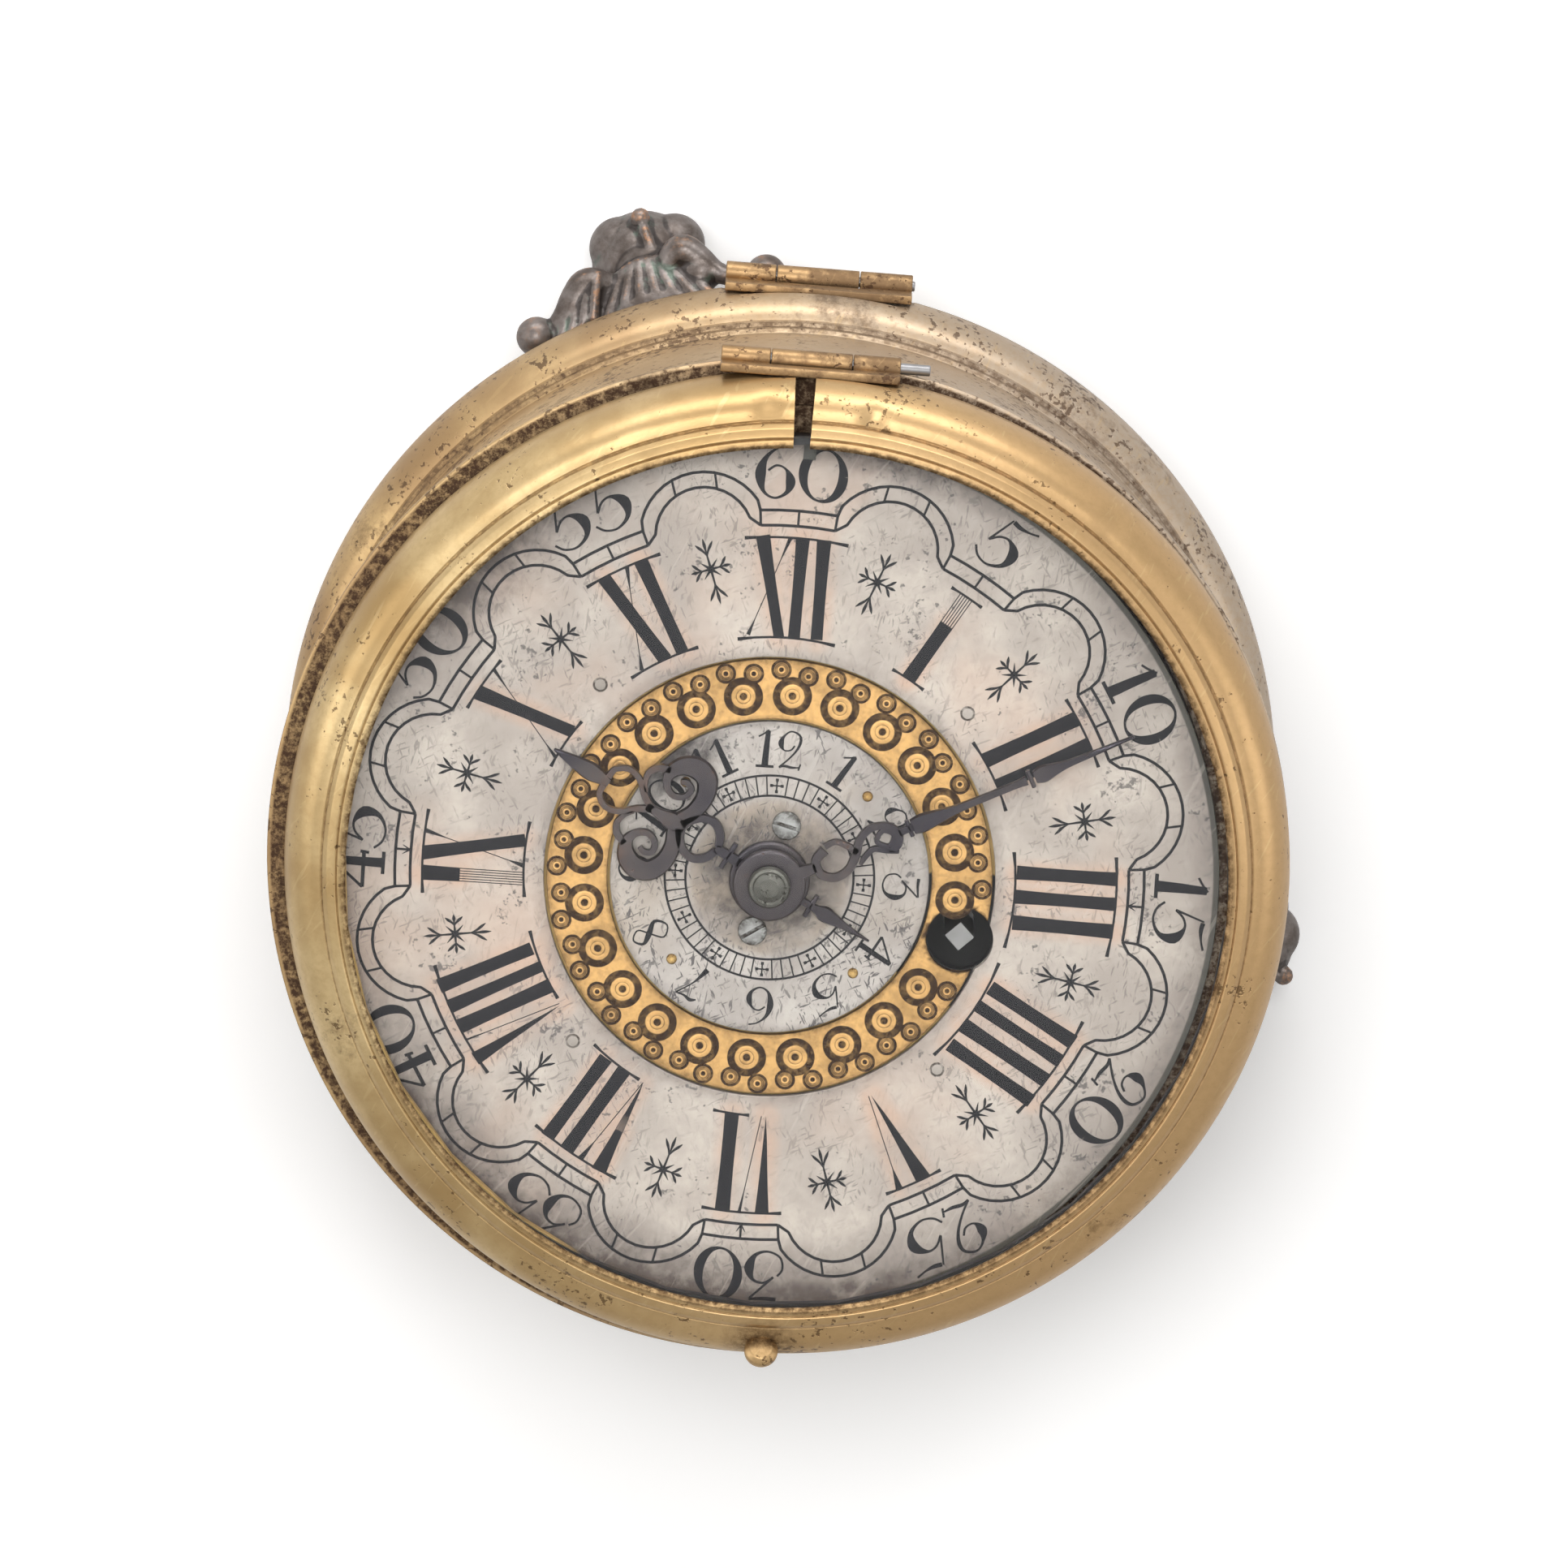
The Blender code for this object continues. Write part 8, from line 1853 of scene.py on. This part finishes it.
            pin = turned("pin", outline, place, 32, closed=False)
            spread_grime(pin, place, ((0.0, 0.4, face, face + 1.0, 0.75), (0.4, 0.8, face - 1.0, face + 1.0, 1.0)))
            pins.append(pin)
        self.fit(joined("alarm_pins", pins), self.brass, "gilt_brass", Body.ALARM)
        for number, slot_turn in ((1, 0.25), (2, -0.6)):
            node = f"alarm_disc_screw_{number}"
            place = middle_of(node)
            top = top_of(node)
            outline = softened([(0, top, 0), (1.5, top, 0.12), (1.5, top - 0.4, 0.05), (0.6, top - 0.4, 0),
                                (0.6, bottom_of(node), 0), (0, bottom_of(node), 0)])
            screw = turned(f"disc_screw_{number}", outline, place, 48, closed=False)
            slot = block("slot", (4.5, 0.42, 0.5), (place.x, place.y, top * MM), 0.0, slot_turn)
            cut(screw, slot)
            settle(screw, f"disc_screw_{number}")
            spread_grime(screw, place, ((1.36, 1.6, 0.0, top + 1.0, 0.9), (0.0, 1.6, 0.0, top - 0.1, 1.0)))
            self.fit(screw, self.steel, "steel", Body.ALARM, node)

    def build(self) -> None:
        """Build the whole dial."""
        self.build_chapter()
        self.build_ornament()
        self.build_alarm_disc()


# ---------------------------------------------------------------------------------------------
# Hands
# ---------------------------------------------------------------------------------------------


@dataclass
class Hands(Assembly):
    """Chased steel hands with scrolls, and the collet that holds them."""

    steel: bpy.types.Material
    worn: bpy.types.Material
    axis: Vector
    hour_angle: float = 297.5
    minute_angle: float = 62.7
    hour_length: float = 26.3
    minute_length: float = 41.1

    def both_sides(self, points: Sequence[tuple[float, float, float]]) -> list[Stroke]:
        """A stroke and its mirror image."""
        mirrored = [(-x, y, half) for x, y, half in points]
        return [flowing(points, 5), flowing(mirrored, 5)]

    def hour_strokes(self) -> list[Stroke]:
        """Strokes of the hour hand, pointing at 12 o'clock."""
        strokes = self.both_sides([(0.25, 6.4, 0.45), (1.4, 6.9, 0.50), (2.2, 8.0, 0.50), (2.0, 9.3, 0.46),
                                   (1.1, 10.3, 0.50), (0.2, 10.8, 0.6)])
        strokes += self.both_sides([(0.6, 11.2, 0.9), (2.2, 10.5, 0.90), (4.1, 10.4, 1.0), (5.7, 11.2, 1.15),
                                    (6.15, 12.7, 1.20), (5.5, 14.1, 1.0), (4.2, 14.8, 0.65), (3.0, 14.4, 0.42),
                                    (2.4, 13.3, 0.38), (2.9, 12.2, 0.36), (3.9, 12.0, 0.36), (4.3, 12.7, 0.36),
                                    (4.1, 13.3, 0.30)])
        strokes += self.both_sides([(4.6, 14.9, 0.42), (4.1, 16.1, 0.42), (3.1, 16.7, 0.34), (1.9, 16.4, 0.3),
                                    (1.2, 15.9, 0.3)])
        strokes += self.both_sides([(0.0, 14.4, 0.45), (0.8, 15.7, 0.40), (2.0, 17.1, 0.36), (2.35, 18.6, 0.36),
                                    (1.6, 19.8, 0.34), (0.5, 20.0, 0.4)])
        strokes += [flowing([(0, 10.4, 0.7), (0, 12.0, 1.05), (0, 13.4, 0.6), (0, 15.0, 0.5)], 4),
                    Stroke([(0, 3.6), (0, 6.6)], [0.62, 0.55]),
                    flowing([(-1.5, 5.0, 0.28), (0, 5.0, 0.3), (1.5, 5.0, 0.28)], 3),
                    flowing([(0, 19.6, 0.45), (0, 20.6, 0.75), (0, 21.8, 1.0), (0, 22.8, 0.9), (0, 24.6, 0.55),
                             (0, self.hour_length, 0.12)], 4),
                    flowing([(-1.3, -5.1, 0.24), (0, -5.1, 0.3), (1.3, -5.1, 0.24)], 3),
                    flowing([(0, -3.4, 0.5), (0, -5.4, 0.4), (0, -6.6, 0.85), (0, -7.6, 0.75), (0, -9.5, 0.36),
                             (0, -12.2, 0.12)], 4)]
        return strokes

    def minute_strokes(self) -> list[Stroke]:
        """Strokes of the minute hand, pointing at 12 o'clock."""
        return [
            flowing([(-1.25, 6.7, 0.6), (-0.6, 5.5, 0.50), (0.9, 5.4, 0.50), (1.85, 6.6, 0.52), (1.65, 8.2, 0.50),
                     (0.5, 9.5, 0.50), (-0.9, 10.6, 0.46), (-1.55, 12.2, 0.44), (-1.0, 13.9, 0.42),
                     (0.2, 14.5, 0.42), (1.2, 13.9, 0.46), (1.4, 12.9, 0.34)], 5),
            flowing([(-1.6, 6.9, 0.38), (-1.6, 8.2, 0.34), (-0.5, 9.3, 0.4), (0.3, 9.8, 0.4)], 5),
            flowing([(1.6, 9.6, 0.22), (1.0, 10.4, 0.34), (0.6, 11.5, 0.34), (1.2, 12.6, 0.34),
                     (1.9, 13.8, 0.2)], 5),
            flowing([(0.95, 13.1, 0.3), (0.0, 14.0, 0.3), (-0.85, 13.1, 0.3), (0.0, 12.1, 0.3)], 5, True),
            Stroke([(0, 3.4), (0.1, 5.2)], [0.8, 0.55]),
            flowing([(0, 14.6, 0.5), (0, 15.4, 0.42), (0, 16.2, 0.5)], 4),
            flowing([(-0.9, 15.75, 0.24), (0, 15.75, 0.28), (0.9, 15.75, 0.24)], 3),
            flowing([(0, 16.1, 0.85), (0, 17.2, 1.02), (0, 18.6, 0.85), (0, 20.6, 0.55), (0, 22.5, 0.45),
                     (0, 27.4, 0.42), (0, 28.9, 0.55)], 4),
            flowing([(-0.95, 29.35, 0.24), (0, 29.35, 0.26), (0.95, 29.35, 0.24)], 3),
            flowing([(0, 29.8, 0.70), (0, 30.7, 0.95), (0, 32.0, 0.70), (0, 33.6, 0.42), (0, 36.5, 0.30),
                     (0, self.minute_length - 0.2, 0.18)], 4),
        ]

    def build_hand(self, name: str, node: str, strokes: list[Stroke], angle: float, boss: float,
                   bore: float, body: Body) -> None:
        """Build one hand from its strokes and its boss."""
        low, high = bottom_of(node), top_of(node)
        blade = drawn(name, strokes, self.axis, low, high, 3, angle, 40.0, True)
        outline = softened([(boss, low, 0.15), (boss, high, 0.3), (bore, high, 0.1), (bore, low, 0.1)])
        hub = turned(name, outline, self.axis, 96)
        self.fit(joined(name, [blade, hub]), self.steel, "dark_steel", body, node)

    def build(self) -> None:
        """Build both hands and the collet."""
        self.build_hand("pierced_hour_hand", "hour_hand", self.hour_strokes(), self.hour_angle, 4.2, 3.0,
                        Body.HOUR)
        self.build_hand("pierced_minute_hand", "minute_hand", self.minute_strokes(), self.minute_angle, 3.8,
                        1.7, Body.MINUTE)
        low, high = bottom_of("hand_collet"), top_of("hand_collet")
        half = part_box("hand_collet")[1].x / MM - self.axis.x / MM
        outline = softened([(0, high, 0), (half * 0.45, high - 0.05, 0.3), (half * 0.72, high - 0.32, 0.1),
                            (half * 0.78, high - 0.18, 0.05), (half * 0.92, high - 0.25, 0.1),
                            (half, high - 0.6, 0.1), (half, low, 0.05), (0, low, 0)])
        collet = turned("domed_collet", outline, self.axis, 64, closed=False)
        self.fit(collet, self.worn, "dark_steel", Body.MINUTE, "hand_collet")


# ---------------------------------------------------------------------------------------------
# Studio
# ---------------------------------------------------------------------------------------------


@dataclass
class Studio:
    """Pale floor, soft lamps and the camera above the dial."""

    camera_place: Vector = Vector((-0.01602, 0.22473, 1.03976))
    lens: float = 220.54
    white: Colour = (0.82, 0.82, 0.82, 1.0)

    def floor(self) -> None:
        """Plain floor that looks white to the camera and keeps the shadow."""
        clear_selection()
        bpy.ops.mesh.primitive_plane_add(size=6.0, location=(0, 0, 0))
        ground = bpy.context.active_object
        ground.name = "studio_floor"
        material, wiring, shader, _ = new_material("studio_floor")
        material.node_tree.nodes.remove(shader)
        seen = wiring.add("ShaderNodeLightPath").outputs["Is Camera Ray"]
        bright = wiring.add("ShaderNodeMix", {0: seen, 6: self.white, 7: (1.19, 1.19, 1.19, 1.0)},
                            data_type="RGBA").outputs[2]
        matt = wiring.add("ShaderNodeBsdfDiffuse", {0: bright})
        wiring.feed(material.node_tree.nodes["Material Output"].inputs["Surface"], matt.outputs[0])
        ground.data.materials.append(material)

    def lamp(self, name: str, place: Vector, target: Vector, size: Point, power: float,
             tint: Colour = (1.0, 1.0, 1.0, 1.0)) -> None:
        """Add one soft area lamp that faces a target."""
        data = bpy.data.lights.new(name, "AREA")
        data.shape = "RECTANGLE"
        data.size, data.size_y = size
        data.energy = power
        data.color = tint[:3]
        lamp = bpy.data.objects.new(name, data)
        bpy.context.scene.collection.objects.link(lamp)
        lamp.location = place
        lamp.rotation_euler = (target - place).to_track_quat("-Z", "Y").to_euler()

    def build(self) -> None:
        """Set the floor, lamps, sky and camera."""
        self.floor()
        middle = Vector((0, 0, 0.05))
        self.lamp("key", Vector((-0.10, 0.44, 1.38)), middle, (0.7, 0.45), 9.0)
        self.lamp("above", Vector((-0.05, 1.20, 0.38)), middle, (1.3, 0.4), 11.5)
        self.lamp("left", Vector((-1.0, 0.1, 0.60)), middle, (0.5, 0.9), 3.0)
        self.lamp("right", Vector((1.0, 0.1, 0.60)), middle, (0.5, 0.9), 2.4)
        world = bpy.data.worlds.new("sky")
        world.use_nodes = True
        wiring = Wiring(world.node_tree)
        back = world.node_tree.nodes["Background"]
        rays = wiring.add("ShaderNodeLightPath").outputs
        seen = wiring.maths("MAXIMUM", rays["Is Camera Ray"], rays["Is Transmission Ray"])
        strength = wiring.add("ShaderNodeMix", {0: rays["Is Glossy Ray"], 2: 0.34, 3: 0.66}).outputs[0]
        strength = wiring.add("ShaderNodeMix", {0: seen, 2: strength, 3: 1.0}).outputs[0]
        back.inputs["Color"].default_value = (1.0, 0.99, 0.975, 1.0)
        wiring.feed(back.inputs["Strength"], strength)
        bpy.context.scene.world = world
        data = bpy.data.cameras.new("camera")
        data.sensor_width = 36.0
        data.lens = self.lens
        data.clip_start = 0.1
        data.clip_end = 20.0
        camera = bpy.data.objects.new("camera", data)
        bpy.context.scene.collection.objects.link(camera)
        right = Vector((0.99682, 0.07955, -0.00440))
        up = Vector((-0.07858, 0.97254, -0.21908))
        back_way = right.cross(up)
        turn = Matrix((right, up, back_way)).transposed()
        camera.matrix_world = Matrix.Translation(self.camera_place) @ turn.to_4x4()
        bpy.context.scene.camera = camera
        bpy.context.scene.view_settings.view_transform = "Standard"


# ---------------------------------------------------------------------------------------------
# Dressing of the pieces kept as they are
# ---------------------------------------------------------------------------------------------


@dataclass
class Movement:
    """Finishes of the kept CAD nodes: the movement, the bell and the bottom cover."""

    finishes: dict[str, bpy.types.Material]
    groups: dict[str, tuple[str, ...]] = field(default_factory=lambda: {
        "plate": ("dial_plate", "pillar_plate", "glass_retainer"),
        "worn": ("movement_latch",),
        "brass": ("back_plate", "minute_wheel", "hour_wheel", "centre_wheel",
                  "great_wheel", "spring_barrel", "third_wheel", "contrate_wheel", "escape_wheel", "potence",
                  "balance_wheel", "alarm_barrel", "bell_post"),
        "gilt": ("balance_cock", "bottom_cover"),
        "bell": ("bell",),
    })

    def build(self, replaced: set[str]) -> None:
        """Give each kept CAD node its finish; what is in no group is steel.

        Args:
            replaced: Nodes that finished pieces stand for.
        """
        chosen = {node: name for name, nodes in self.groups.items() for node in nodes}
        for node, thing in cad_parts.items():
            if node in replaced:
                continue
            thing.data.materials.clear()
            thing.data.materials.append(self.finishes[chosen.get(node, "steel")])


REPLACED = {"case_drum", "bezel_ring", "bezel_glass", "case_hinge_leaf", "cover_hinge_leaf", "case_hinge_pin",
            "bezel_hinge_leaf", "bezel_hinge_lug", "bezel_hinge_pin", "chapter_ring", "ornament_ring",
            "alarm_disc", "alarm_disc_screw_1", "alarm_disc_screw_2", "hour_hand", "minute_hand", "hand_collet",
            "bezel_knob", "foot_back", "foot_left", "foot_right"}


def main() -> None:
    """Build the assemblies in order and light them."""
    logging.basicConfig(level=logging.INFO, format="%(name)s %(message)s")
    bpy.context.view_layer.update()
    clock = middle_of("bell")
    dial = middle_of("dial_plate")
    drum_gilt = OldMetal("drum_gilt", tone(202, 172, 124), tone(166, 136, 98), tone(80, 60, 46),
                         tone(178, 162, 144), 0.44, spread=0.55, pit_amount=0.90, dimple=0.05).material()
    gilt = OldMetal("gilt", tone(212, 187, 140), tone(172, 142, 96), tone(86, 64, 42),
                    tone(190, 156, 112), 0.40, spread=0.40, pit_amount=0.62, dimple=0.06).material()
    brass = OldMetal("brass", tone(206, 176, 118), tone(176, 142, 88), tone(90, 66, 40)).material()
    steel = OldMetal("steel", tone(158, 157, 158), tone(124, 122, 122), tone(60, 54, 50)).material()
    screws = OldMetal("screw_steel", tone(176, 176, 175), tone(138, 137, 136), tone(60, 54, 50)).material()
    dark = OldMetal("dark_steel", tone(86, 79, 78), tone(58, 55, 61), tone(92, 66, 52), None, 0.38, 0.85, 0.55,
                    0.5, 0.4, 0.2, 0.05).material()
    bronze = CastBronze("cast_bronze").material()
    bell_metal = OldMetal("bell_metal", tone(206, 182, 138), tone(176, 150, 104), tone(96, 76, 52)).material()
    wax = Wax("black_wax").material()
    silver = Silvered("silvered", dial).material()
    inner = Silvered("silvered_disc", dial, tone(170, 163, 158), tone(140, 132, 128), tone(150, 130, 108),
                     tone(56, 50, 50), edge_radius=60.0, wear=0.9).material()
    ornament = TwoTone("punched_gilt", tone(202, 160, 104), tone(52, 38, 30)).material()
    rivets = OldMetal("rivets", tone(170, 162, 156), tone(140, 132, 126), tone(70, 62, 58)).material()
    glass = ClearGlass("clear_glass").material()
    Case(drum_gilt, clock).build()
    Bezel(gilt, glass, middle_of("bezel_glass")).build()
    hinge_gilt = OldMetal("hinge_gilt", tone(196, 164, 120), tone(148, 118, 82), tone(82, 58, 44),
                          spread=0.75, pit_amount=0.85, dimple=0.08).material()
    Hinges(hinge_gilt, steel).build()
    Feet(bronze, clock).build()
    Dial(silver, inner, wax, ornament, rivets, brass, screws, dial).build()
    worn = OldMetal("worn_steel", tone(100, 98, 92), tone(66, 65, 62), tone(44, 40, 36), None, 0.48, 0.7, 0.6,
                    0.8, 0.8, 0.35, 0.25).material()
    Hands(dark, worn, dial).build()
    winding = place_at(dial, Dial.winding_reach, Dial.winding_angle, 0.0)
    plate = HoleBrass("plate_brass", winding, dial).material()
    Movement({"brass": brass, "plate": plate, "gilt": drum_gilt, "bell": bell_metal, "steel": steel,
              "worn": worn}).build(REPLACED)
    Studio().build()


if __name__ == "__main__":
    main()
